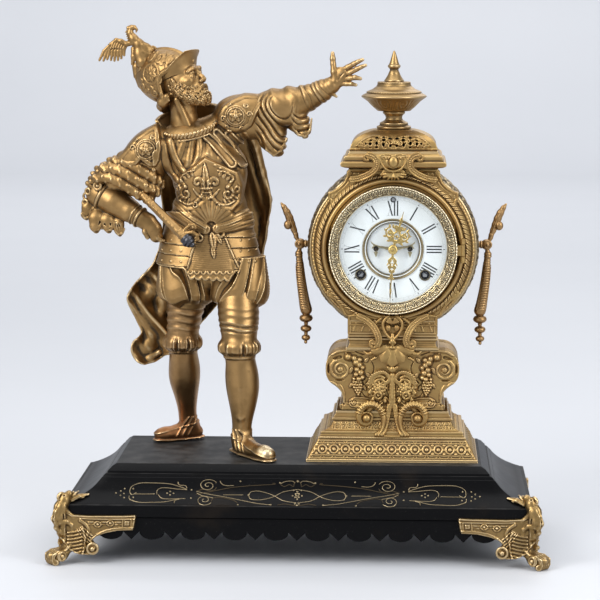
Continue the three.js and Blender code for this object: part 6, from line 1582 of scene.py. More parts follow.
def incised():
    """Fine gilt lines cut into the front cove, mirrored about the middle."""
    L = []
    sp = lambda *p: [tuple(q) for q in spline(p, 7)]
    X0 = lambda cx: (40 + cx / 5.807 - 298.2) / 1.033          # drawing units to mm
    ZM = lambda cy: float(np.interp(430 + cy / 5.807, [476.8, 479.6, 486.2, 493.1, 499.8, 505.5], [84.5, 82, 76, 70, 64.5, 60]))
    P = lambda *p: sp(*[(X0(a), ZM(b)) for a, b in p])
    L += [P((540, 372), (515, 385), (500, 368), (510, 338), (560, 318), (640, 316), (730, 320), (790, 334), (842, 352))]
    L += [P((785, 308), (788, 320), (800, 328), (830, 330), (842, 345))]
    L += [P((528, 381), (590, 381), (652, 380))]
    L += [P((498, 392), (505, 412), (560, 428), (640, 428), (720, 424), (790, 408), (836, 404))]
    L += [P((770, 432), (775, 416), (800, 408))]
    L += [P((664, 384), (662, 362), (680, 347), (720, 344), (780, 350), (842, 354))]
    L += [P((672, 384), (690, 402), (730, 408), (836, 404))]
    L += [P((897, 362), (960, 376), (1060, 392), (1180, 414), (1260, 428), (1345, 436))]
    L += [P((897, 380), (990, 362), (1100, 340), (1230, 326), (1355, 318), (1362, 312), (1350, 312))]
    L += [P((1060, 381), (1180, 381))]
    L += [P((1035, 300), (1050, 320), (1080, 328), (1120, 326))]
    L += [[(X0(965) + r * math.cos(a), ZM(327) + r * 0.62 * math.sin(a)) for a, r in zip(np.linspace(0.4, 0.4 + 3.6 * PI, 46), np.linspace(9.2, 1.0, 46))]]
    L += [P((1016, 338), (1005, 352), (975, 358), (935, 352), (897, 362))]
    L += [[(X0(948) + r * math.cos(a), ZM(411) + r * 0.55 * math.sin(a)) for a, r in zip(np.linspace(-0.5, -0.5 - 3.2 * PI, 40), np.linspace(8.0, 1.0, 40))]]
    L += [P((990, 420), (1000, 402), (1040, 396), (1120, 412), (1150, 430))]
    L += [P((900, 372), (930, 386), (960, 392), (1000, 400))]
    # centre interlace
    L += [P((1210, 384), (1225, 362), (1270, 358), (1330, 372), (1370, 388), (1420, 412), (1500, 424))]
    L += [P((1210, 384), (1225, 404), (1280, 408), (1340, 396), (1370, 384), (1420, 360), (1500, 346))]
    L += [P((1395, 316), (1420, 330), (1450, 318), (1475, 330), (1480, 312), (1500, 290))]
    L += [P((1400, 312), (1430, 300), (1470, 298), (1482, 310))]
    L += [P((1385, 436), (1430, 430), (1470, 436), (1500, 452))]
    L += [P((1500, 366), (1488, 376), (1500, 386))]
    dots = [(418, 378), (446, 366), (446, 391), (466, 380), (468, 352), (470, 404), (520, 352), (524, 402), (742, 366), (742, 386), (724, 376), (762, 376), (868, 355), (868, 403),
            (1158, 302), (1150, 438), (1208, 382), (1394, 310), (1345, 436), (1472, 384), (1488, 430), (1476, 352)]
    mid = [(1503, 360), (1503, 404), (1503, 440), (1503, 300)]
    b = Bag()
    def put(pts):
        q = np.array(pts)
        for s in (-1, 1):
            T = [(-s * x, -(slab_y(z) + 0.02), z) for x, z in q]
            b.put(*tube(T, 0.40, 6))
    for l in L:
        put(l)
    for cx, cy in dots:
        for s in (-1, 1):
            z = ZM(cy)
            b.put(*ico(0.95, (s * X0(cx), -(slab_y(z) + 0.05), z), 1, (1, 0.5, 1)))
    for cx, cy in mid:
        z = ZM(cy)
        b.put(*ico(1.05, (0, -(slab_y(z) + 0.05), z), 1, (1, 0.5, 1)))
    for k in range(4):
        a = PI / 4 + k * PI / 2
        z = ZM(382) + 1.9 * math.sin(a)
        b.put(*ico(1.2, (2.2 * math.cos(a), -(slab_y(z) + 0.05), z), 1, (1, 0.5, 0.8)))
    return b.make("Incised_scrollwork", M_LINE, slot="gilt_case", cav=3)


def skirt_edge(L, pitch=41.0, zb=24.2, zn=31.8):
    """Lower edge of one side from -L to L: half-round lobes with a small tooth between."""
    pts = []
    n = int(L / pitch) + 2
    for k in range(-n, n + 1):
        c = (k + 0.5) * pitch
        for t in np.linspace(0, 1, 13):
            a = PI + PI * t
            pts.append((c + 12.1 * math.cos(a), zn + (zn - zb) * math.sin(a)))
        pts.append((c + 12.3, zn + 0.6))
        pts.append((c + pitch / 2 - 0.25, zb + 0.4))
        pts.append((c + pitch / 2 + 0.25, zb + 0.4))
        pts.append((c + pitch - 12.3, zn + 0.6))
    pts = [p for p in pts if -L + 0.6 < p[0] < L - 0.6]
    return [(-L, zn - 1)] + pts + [(L, zn - 1)]


def build_skirt():
    b = Bag()
    e = skirt_edge(223.2)
    poly = e + [(223.2, 46.6), (-223.2, 46.6)]
    for s in (-1, 1):
        V, F = prism(poly, -102.9, -99.4, 0.5)
        if s > 0:
            V = V * (1, -1, 1)
        b.put(V, F)
    e = skirt_edge(98.8)
    poly = e + [(98.8, 46.6), (-98.8, 46.6)]
    for s in (-1, 1):
        V, F = prism(poly, -223.6, -220.2, 0.5)
        V = np.column_stack([V[:, 1] * (1 if s < 0 else -1), V[:, 0], V[:, 2]])
        b.put(V, F)
    return b.make("Base_skirt", M_ENAMEL, rep=["base_skirt"], slot="enamel_black", cav=0, sharp=24)


def foot_field(lobe=True):
    """Front left foot; the others are mirrored from it."""
    C = Clay((-249.6, -118.2, -0.2), (-156.5, -60.5, 78), 0.6)
    v = 0.4
    R = Relief(-252, -2, -160, 80, v)
    arm = [(-166.0, 47.6), (-166.6, 50.2), (-176, 49.6), (-206, 49.2), (-222, 50.0), (-233, 56), (-238, 60), (-238, 30), (-231, 22), (-225, 14),
           (-216, 9.5), (-206, 9), (-200, 11), (-198.4, 16), (-201, 20), (-203, 24), (-199.5, 27.8), (-192, 31.2), (-182, 33.8), (-168.5, 34.6)]
    R.plate(arm, 1.8, 0.6, 1.15, 1.1)
    R.line([(-167.8, 46), (-190, 45.6), (-214, 46.2)], 0.9, 1.2, add=True)
    R.line(spline([(-168.6, 37.3), (-182, 36.6), (-192, 34.2), (-199, 30.5)], 5), 0.9, 1.2, add=True)
    R.line([(-170.4, 38.0), (-170.0, 45.0)], 0.8, 1.1, add=True)
    R.line([(-177.6, 38.6), (-177.2, 44.6)], 0.7, 1.0, add=True)
    R.plate([(-176.2, 39.6), (-171.8, 39.4), (-171.5, 44), (-176, 44.2)], 1.3, 0.6)
    for x, z, r in ((-187.6, 41.6, 3.3), (-198.2, 40.4, 3.4)):
        R.line(arc(x, z, r - 0.7, 0, 360, 24), 0.85, 1.5, add=True)
        R.dot(x, z, 1.5, 1.6, add=True)
    for x in (-181.2, -193.0, -204):
        R.line([(x - 2.2, 42.6), (x + 2.4, 42.8)], 0.55, 0.9, add=True)
        R.line([(x - 2.2, 40.4), (x + 2.4, 40.6)], 0.55, 0.9, add=True)
    R.line(spline([(-214, 44), (-208.5, 40), (-205.8, 34), (-208, 27), (-210.5, 21)], 6), (1.9, 1.2), 1.6, add=True)
    for k in range(4):
        R.line(spline([(-212 - k * 1.6, 38 - k), (-207.5 - k * 1.4, 34 - 2 * k), (-203 - k, 29 - 2.6 * k)], 5), 0.75, 1.2, add=True)
    R.line(arc(-201.6, 16.4, 5.6, 120, -330, 30, 1.6), (1.5, 0.9), 1.9, add=True)
    R.dot(-201.9, 16.2, 2.4, 2.2, add=True)
    # fluted shell field
    for k in range(7):
        z = 11 + k * 3.5
        R.line(spline([(-211 - 0.4 * k, z + 2.4), (-218 - 0.2 * k, z + 0.8), (-226.5, z - 0.2)], 5), 1.25, 1.5, add=True)
    R.line(spline([(-211.5, 36), (-209.5, 28), (-209.5, 19), (-212, 11)], 6), 1.5, 2.1, add=True)
    R.line(spline([(-235, 48), (-230.5, 38), (-229.5, 27), (-232, 16)], 6), 1.5, 1.4, add=True)
    dA = R.sd(arm)
    R.D = dA

    def look(A, x, z):
        H = R.H
        R.H = A
        h = R.at(x, z)
        R.H = H
        return h

    def front(X, Y, Z):
        u = np.where(X > -206, -206 + (X + 206) / 1.19, X)
        d = look(dA, u, Z) * np.ones_like(Y)
        h = R.at(u, Z)
        lean = 0.0
        y0 = -106.0 - h
        return np.maximum(np.maximum(y0 - Y, Y + 101.6), d * 0.9)

    def side(X, Y, Z):
        # the same drawing laid along the side face, shortened
        x = -232.5 + (Y + 105.5) * -1.0
        u = -232.5 + np.where(Y + 105.5 > 0, (Y + 105.5) * 66.5 / 43.5, (Y + 105.5))
        d = look(dA, u, Z)
        h = R.at(u, Z)
        x0 = -233.0 - h
        return np.maximum(np.maximum(x0 - X, X + 228.6), d * 0.72)
    C.put(front, (-246, -112, -0.2), (-156.5, -100, 62), 1.0)
    C.put(side, (-240, -119, -0.2), (-227, -60.6, 62), 1.0)
    # corner leg behind the shell
    C.limb([(-228, -101, 44, 6.5), (-224, -98, 30, 5.5), (-221, -95.5, 18, 5.0)], k=3)
    # corner lobe: swelling knee with a crease and a curl, leaf laid on the cove
    if lobe:
        sh = lambda *P: [(x + 3.6, y + 1.2, z - 3.4, r * 0.92) for x, y, z, r in P]
        C.limb(sh((-236.2, -108, 45.5, 5.2), (-238.6, -110, 52, 6.6), (-237.0, -108, 60, 7.2), (-233.8, -104.5, 67.5, 6.6), (-229.5, -100.6, 72.2, 4.2)), k=2)
        C.limb(sh((-240.5, -113.6, 44.0, 2.6), (-243.0, -113.8, 50, 3.2), (-241.2, -113, 57, 2.8), (-237, -110, 63.5, 2.0)), k=1.2)
        C.limb(sh((-232.8, -111.4, 62, 1.4), (-229.0, -108.2, 55, 2.0), (-224.0, -107.4, 50.6, 2.2), (-214, -106.8, 48.6, 1.6)), k=1.2)
        C.limb(sh((-237.5, -112.4, 46, 3.0), (-231, -109.6, 46.5, 2.6), (-226.5, -108.4, 42.6, 2.0), (-225.5, -108, 37.6, 1.6)), k=1.2)
        C.limb(sh((-241, -113, 41, 3.0), (-238, -111, 36.5, 2.4), (-233, -109.5, 33.5, 1.6)), k=1.2)
        C.limb(sh((-233.4, -107.6, 72.0, 0.9), (-235.6, -112.6, 60, 1.1), (-233.5, -113, 50, 1.1)), k=1.2, cut=True)
        C.limb(sh((-239.4, -112.5, 66.0, 0.7), (-243.6, -115.6, 56, 0.9), (-243.5, -115.6, 47, 0.8)), k=1.0, cut=True)
        C.torus((-232.6, -106.0, 66.8), (0.7, -0.7, 0.1), 4.2, 1.5, 0.8)
        for (dx, dy, q) in ((1, 0, 1.0), (0, 1, 0.72)):     # leaves running on the cove both ways
            a = np.array([-225.5, -99.8, 63.2])
            d = np.array([dx * 1.0, dy * 1.0, 0])
            for j, (l, w, h) in enumerate(((18, 3.2, 4.6), (13, 2.4, 1.0), (9, 2.2, 7.0))):
                e = a + d * l * (1 if j != 2 else 0.7) + (0.35 * l * (1 - dx), 0.30 * l * (1 - dy), h)
                C.limb([tuple(a + d * 2) + (w,), tuple((a + e) / 2 + (0, 0, 1.0)) + (w * 0.9,), tuple(e) + (w * 0.4,)], k=0.8, flat=((0.25, 0.4, -0.85), 0.6))
            C.torus(tuple(a + d * 12 + (0.3 * 12 * (1 - dx), 0.3 * 12 * (1 - dy), 3.2)), (0.2, -0.6, 0.8) if dx else (-0.6, 0.2, 0.8), 2.1, 1.0, 0.5)
    # outward toe: rolled and ribbed, on the diagonal
    dg = np.array([-0.72, -0.69, 0])
    for j in range(9):
        t = j / 8
        a = math.radians(200 - 190 * t)
        c = np.array([-226., -102, 15]) + dg * (13.5 * math.sin(PI * t * 0.62)) + (0, 0, 11 * math.cos(PI * t * 0.7) - 5)
    C.limb([(-221, -99, 26, 4.2), (-226.5, -102.5, 16.5, 5.0), (-232.5, -106.5, 9.0, 5.4), (-238.8, -110.6, 6.8, 5.4), (-243.2, -113.0, 9.5, 3.6)], k=2.5)
    w = unit((0.69, -0.72, 0))
    for q in (-1.0, -0.5, 0, 0.5, 1.0):
        o = w * q * 6.2
        pts = [(-222, -100, 28), (-227, -103.6, 19.0), (-232.6, -107.2, 14.6), (-239.0, -111.2, 13.8), (-243.8, -113.0, 10.4), (-244.2, -112.8, 5.6), (-240, -110.6, 2.6)]
        C.limb([tuple(np.array(p) + o * (0.7 + 0.3 * min(i / 3, 1))) + (1.55,) for i, p in enumerate(pts)], k=0.6)
    C.limb([tuple(np.array([-241.5, -111.8, 3.4]) - w * 5.6) + (3.4,), tuple(np.array([-241.5, -111.8, 3.4]) + w * 5.6) + (3.4,)], k=1)
    for q in (-1, 1):
        c = np.array([-236.6, -109.6, 9.4]) + w * q * 7.4
        C.torus(tuple(c), w, 4.0, 1.5, 0.5)
        C.ball(tuple(c + w * q * 0.8), 2.2, None, 0.4)
    # inner volutes get a little depth
    C.limb([(-201.9, -104, 16.2, 4.6), (-201.9, -108.2, 16.2, 3.6)], k=0.6)
    C.ball((-201.9, -111.2, 16.2), 2.5, None, 0.4)
    C.torus((-201.9, -109.4, 16.2), (0, 1, 0), 5.0, 1.5, 0.5)
    C.limb([(-230, -86.0, 16.2, 4.6), (-235.4, -86.0, 16.2, 3.6)], k=0.6)
    C.torus((-236.4, -86.0, 16.2), (1, 0, 0), 4.6, 1.4, 0.5)
    C.ball((-238.0, -86.0, 16.2), 2.3, None, 0.4)
    Z = (C.lo[2] + C.v * np.arange(C.n[2]))[None, None, :].astype(f4)
    C.S = np.maximum(C.S, 0.05 - Z)
    X = (C.lo[0] + C.v * np.arange(C.n[0]))[:, None, None].astype(f4)
    Y = (C.lo[1] + C.v * np.arange(C.n[1]))[None, :, None].astype(f4)
    # keep clear of the slab's own body
    zz = C.lo[2] + C.v * np.arange(C.n[2])
    hx = np.interp(zz, [r[0] for r in SLAB], [r[1] for r in SLAB])[None, None, :]
    hy = np.interp(zz, [r[0] for r in SLAB], [r[2] for r in SLAB])[None, None, :]
    body = np.where(Z > 46.5, np.maximum(-X - hx, -Y - hy) - 0.05, 9.0)
    C.S = np.maximum(C.S, -body.astype(f4)).astype(f4)
    return C


def mirrored(me, nm, nd, sx, sy):
    n = len(me.vertices)
    co = np.empty(n * 3, f4)
    me.vertices.foreach_get("co", co)
    m2 = me.copy()
    m2.name = nm
    m2.vertices.foreach_set("co", (co.reshape(-1, 3) * np.array([sx, sy, 1], f4)).ravel())
    if sx * sy < 0:
        m2.flip_normals()
    p = bpy.data.objects.new(nm, m2)
    bpy.context.scene.collection.objects.link(p)
    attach(p, "root")
    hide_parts(nd)
    return p


def build_feet():
    o = foot_field().mesh("Foot_front_left", M_FOOT, rep=["foot_front_left"], slot="gilt_foot", cav=6, share=0.01)
    mirrored(o.data, "Foot_front_right", "foot_front_right", -1, 1)
    # the back pair has plain corners
    C = foot_field(False)
    C.S = np.maximum(C.S, (C.lo[2] + C.v * np.arange(C.n[2]) - 45.8)[None, None, :].astype(f4))
    m = C.mesh("Foot_back_left", M_FOOT, rep=["foot_back_left"], slot="gilt_foot", cav=6, share=0.01)
    me = m.data
    co = np.empty(len(me.vertices) * 3, f4)
    me.vertices.foreach_get("co", co)
    me.vertices.foreach_set("co", (co.reshape(-1, 3) * np.array([1, -1, 1], f4)).ravel())
    me.flip_normals()
    mirrored(me, "Foot_back_right", "foot_back_right", -1, 1)


build_slab()
incised()
build_skirt()
build_feet()


# ================================================================== clock case
CX, CZ = 93.0, 307.5


class Block:
    """A clay block with reliefs on its front (and weaker on its back)."""
    def __init__(s, lo, hi, v):
        s.C = Clay(lo, hi, v)
        s.C.S = s.C.S
        s.lo, s.hi, s.v = lo, hi, v

    def relief(s, v=0.33):
        return Relief(s.lo[0] - 1, s.lo[2] - 1, s.hi[0] + 1, s.hi[2] + 1, v)

    def slab(s, R, d, y0, y1, k=0.6, back=False, edge=None):
        """Extrudes the outline whose signed distance map is d, front face pushed out by R.H."""
        C = s.C

        def f(X, Y, Z):
            dd = samp(R, d, X, Z)
            h = R.at(X, Z)
            q = np.maximum(y0 - h - Y, Y - y1 - (h if back else 0))
            e = dd if edge is None else dd + edge(X, Y, Z, dd)
            return np.maximum(q * 0.92, e)
        C.put(f, s.lo, s.hi, k)


def samp(R, A, X, Z):
    H, R.H = R.H, A
    out = R.at(X, Z)
    R.H = H
    return out


def mx(pts, q=1, c=CX):
    """Mirrors drawing points about the case's middle: x is measured from it."""
    return [(c + q * x, z) for x, z in pts]


def berries(R, pts, h=2.2):
    for x, z, r in pts:
        R.dot(x, z, r, h * (0.6 + 0.25 * r), add=False)


def rosette(R, x, z, r, h, n=5):
    for k in range(n):
        a = TAU * k / n + 0.3
        R.oval(x + 0.52 * r * math.cos(a), z + 0.52 * r * math.sin(a), 0.5 * r, 0.36 * r, a, h)
    R.dot(x, z, 0.26 * r, h * 1.25)


# ---------------------------------------------------------------- plinth
def stepped(rows, name, mat, rep, pat, nx=300, ny=200, cy=0.0, rc=0.5, slot="gilt_case", cav=6, sub=None, hollow=None):
    """A stepped block with a pattern pushed out of its four sides: pat(side, s, z) -> mm."""
    R = []
    for a, b in zip(rows, rows[1:]):
        n = max(1, int(math.hypot(b[0] - a[0], max(abs(b[1] - a[1]), abs(b[2] - a[2]))) / (sub or 0.55 * FINE)))
        for i in range(n):
            t = i / n
            R.append(tuple(a[k] + (b[k] - a[k]) * t for k in range(3)))
    R.append(rows[-1])

    def push(G):
        x, y, z = G[..., 0] - CX, G[..., 1] - cy, G[..., 2]
        hx = np.array([r[1] for r in R])[:, None]
        hy = np.array([r[2] for r in R])[:, None]
        fx = (np.abs(y) > hy - 0.02).astype(float) * (np.abs(x) < hx - rc * 0.9)
        fy = (np.abs(x) > hx - 0.02).astype(float) * (np.abs(y) < hy - rc * 0.9)
        px = pat(0, x, z, hx) * fx
        py = pat(1, y, z, hy) * fy
        G = G.copy()
        G[..., 1] += np.sign(y) * px
        G[..., 0] += np.sign(x) * py
        return G
    V, F = loft_rect(R, rc=rc, cx=CX, cy=cy, n_c=3, nx=int(nx / FINE), ny=int(ny / FINE), push=push)
    return obj(name, V, F, mat, rep=rep, slot=slot, cav=cav)


def bell(x, w):
    return np.sqrt(np.clip(1 - (x / w) ** 2, 0, 1))


def plinth_pat(side, s, z, h):
    """Ring-and-ball chain on the sloped band, a running leaf on the cove above."""
    p = 11.6
    u = (s / p + (0.5 if side else 0.5)) % 1.0 - 0.5
    x = u * p
    zc = 107.4
    dz = (z - zc) * 1.02
    r = np.hypot(x, dz)
    H = 1.0 * bell(r - 4.0, 0.95) + 1.5 * bell(r, 2.0)
    H = np.maximum(H, 0.9 * bell(np.abs(np.abs(x) - 5.8), 1.0) * (np.abs(dz) < 1.0))
    tri = np.abs(x) * 0.9 - 0.2
    for q in (-1, 1):
        ed = dz * q
        H = np.maximum(H, 0.75 * bell(ed - 5.6 - 0.10 * np.abs(x), 0.55))
        H = np.maximum(H, 0.65 * bell(ed - 8.4, 0.6))
        w = np.abs(x) - 5.8
        H = np.maximum(H, 0.8 * bell(np.hypot(w, ed - 4.2), 1.25))
        H = np.maximum(H, 0.6 * bell(np.abs(x) - (ed - 5.6) * 0.9, 0.5) * (ed > 5.6) * (ed < 8.2))
    H = H * ((z > 97.6) & (z < 117.2)) * (np.abs(s) < h - 1.2)
    # running scroll on the cove
    q = 13.0
    v = (s / q) % 1.0
    zz = z - 129.8
    c = 1.7 * np.sin(v * TAU)
    L = 0.8 * bell(zz - c, 0.7)
    for (a, b, rr) in ((0.25, -0.2, 2.2), (0.75, 0.2, 2.2)):
        d = np.hypot((v - a) * q, (zz - b * 4))
        L = np.maximum(L, 0.75 * bell(d - rr + 0.5, 0.5))
        L = np.maximum(L, 0.9 * bell(d, 0.9))
    for a in (0.0, 0.5):
        t = np.abs(((v - a + 0.5) % 1) - 0.5) * q
        L = np.maximum(L, 0.7 * bell(t - 0.5 * np.abs(zz), 0.6) * (np.abs(zz) < 3.2))
    H = H + L * ((z > 126.4) & (z < 133.6)) * (np.abs(s) < h - 1.5)
    # soft beading
    H = H + 0.35 * bell((s % 2.2) - 1.1, 0.9) * bell(z - 118.5, 0.7)
    return H


def build_plinth():
    rows = [(95.36, 86.0, 58.4), (97.4, 86.0, 58.4), (98.0, 85.2, 57.6), (98.3, 84.2, 56.8), (116.8, 74.0, 50.0), (117.6, 73.6, 49.6), (118.4, 73.9, 49.8), (119.2, 73.5, 49.5), (119.6, 71.8, 48.3),
            (121.4, 71.6, 48.1), (121.8, 70.8, 47.6), (122.4, 71.4, 47.9), (124.0, 71.4, 47.9), (124.6, 70.4, 47.3), (125.2, 67.2, 45.6), (126.0, 66.4, 45.2), (127.6, 62.6, 43.4), (130.0, 60.4, 42.3),
            (133.6, 59.0, 41.6), (134.4, 58.6, 41.4), (134.8, 60.0, 42.0), (136.0, 60.6, 42.3), (137.2, 60.0, 42.0), (137.6, 58.2, 41.0), (140.0, 57.8, 40.8), (140.6, 57.0, 40.4), (143.6, 56.6, 40.2), (144.1, 55.8, 39.8)]
    stepped(rows, "Plinth", M_CASE, ["case_plinth"], plinth_pat, nx=360, ny=240)


# ---------------------------------------------------------------- pedestal
def build_pedestal():
    lo, hi = (CX - 71, -41.5, 143.8), (CX + 71, 39.5, 206.4)
    B = Block(lo, hi, 0.55)
    R = B.relief(0.30)
    half = [(0, 144.2), (52, 144.2), (53, 149.4), (50.2, 150.4), (49.6, 156), (51.6, 163), (57.2, 168.6), (61.6, 171.6), (65.4, 176.6), (67, 184), (66.4, 192.5), (62.6, 200), (56, 204.6), (48, 206), (0, 206)]
    out = spline(half[1:-1], 5)
    poly = [(CX + x, z) for x, z in out] + [(CX - x, z) for x, z in out[::-1]]
    d = R.sd(poly)
    # raised border following the outline, field below it
    R.H -= 0.0
    rim = 1.0 * bell(d + 1.4, 1.3)
    R.H += rim.astype(f4) * (R.Z > 151)
    R.plate([(CX - 51.5, 144), (CX + 51.5, 144), (CX + 50.5, 149.6), (CX - 50.5, 149.6)], 1.6, 0.5)
    R.plate([(CX - 48.6, 149), (CX + 48.6, 149), (CX + 47.2, 152.6), (CX - 47.2, 152.6)], 0.9, 0.5)
    for q in (-1, 1):
        # volute: sunk spiral line and a raised eye
        R.line(arc(CX + q * 52.2, 185.4, 12.6, 90 if q > 0 else 90, 90 - q * 760 if q > 0 else 90 + 760, 90, 2.4), (1.7, 1.2), -1.9)
        R.dot(CX + q * 52.2, 185.4, 3.0, 2.0)
        R.line(arc(CX + q * 52.2, 185.4, 10.2, 60 if q > 0 else 120, (60 - 560) if q > 0 else (120 + 560), 70, 3.4), (1.5, 0.8), 0.9)
        # recessed quarter lines between volute and waist
        R.line(spline(mx([(37, 203.5), (26, 199), (19.5, 191), (19, 183), (23, 176), (29, 168.5), (33.5, 163)], q), 6), 0.75, -0.9)
        R.line(spline(mx([(44.2, 168.5), (46.4, 163), (46.4, 157), (45.8, 152.6)], q), 5), 0.6, -0.8)
        R.line(spline(mx([(54, 169.5), (50.6, 163.5), (49, 156.5), (49.2, 152.6)], q), 5), 0.9, 1.0)
        R.leaf(CX + q * 53, 170.5, CX + q * 47.6, 155.0, 2.4, 1.1)
        R.line(spline(mx([(42.5, 170), (33, 165), (27.5, 158.5), (22, 156.4)], q), 6), 0.6, -0.7)
        # fruit swag
        berries(R, [(CX + q * x, z, r) for x, z, r in ((44.6, 198.4, 4.0), (38.2, 197.0, 3.3), (36.6, 192.8, 3.6), (32.6, 195.6, 2.9), (33.0, 190.4, 3.4), (29.8, 187.6, 2.7),
                                                      (35.6, 185.6, 3.2), (31.8, 182.4, 3.6), (36.6, 180.6, 2.8), (29.8, 177.6, 2.7), (33.6, 176.0, 3.1), (38.6, 176.2, 2.0))], 3.0)
        k = 0
        for row, (z, n, w) in enumerate(((172.8, 4, 3.6), (170.0, 5, 4.4), (167.2, 4, 3.6), (164.6, 3, 2.4), (162.2, 2, 1.2), (160.2, 1, 0))):
            for i in range(n):
                x = 35.2 + (w * (2 * i / (n - 1) - 1) if n > 1 else 0) - row * 0.25
                R.dot(CX + q * x, z + 0.3 * (i % 2), 1.65, 2.9 + 0.5 * (1 - abs(2 * i / max(n - 1, 1) - 1)))
        for (a, b, c, e, w) in ((42, 194, 47, 203, 2.2), (40, 188, 43, 181, 1.8), (28, 193, 23.6, 198, 1.9), (26, 182, 22, 177, 1.8), (40, 172, 43.4, 166.5, 1.5), (29, 170, 26, 164, 1.5)):
            R.leaf(CX + q * a, b, CX + q * c, e, w, 1.6)
        # flat scroll on the field
        pl = [(16, 152.6), (20, 156.6), (28, 158.0), (38, 158.2), (43.4, 155.0), (44.4, 150.6), (41, 147.2), (35, 146.6), (28, 148.4), (21, 149.6)]
        R.plate(mx(pl, q), 1.6, 0.9, 0.8, 1.0)
        R.line(arc(CX + q * 38.4, 152.2, 4.2, 90, 90 - q * 560, 50, 0.8), 0.55, -0.9, add=True)
        R.line(arc(CX + q * 46.6, 143.2, 0.1, 0, 1, 2), 0.1, 0.1)
    rng2 = np.random.default_rng(3)
    R.H += 0.07 * np.sin(R.X * 1.9 + 2 * np.sin(R.Z * 0.8)) * np.sin(R.Z * 2.1) * (np.abs(R.X - CX) > 18)

    def ribs(X, Y, Z, dd):
        """Grooves run along the scroll's edge from front to back."""
        y = np.abs(Y - 0.5)
        g = 0.9 * bell(y - 30.5, 1.1) + 0.9 * bell(y - 25.5, 1.1) + 1.1 * bell(y - 20.0, 1.6) + 0.7 * bell(y - 34.2, 0.8)
        return g * (Z > 152)
    B.slab(R, d, -36.6, 36.6, back=True, edge=ribs)
    B.C.mesh("Pedestal", M_CASE, rep=["pedestal_body"], slot="gilt_case", cav=7)


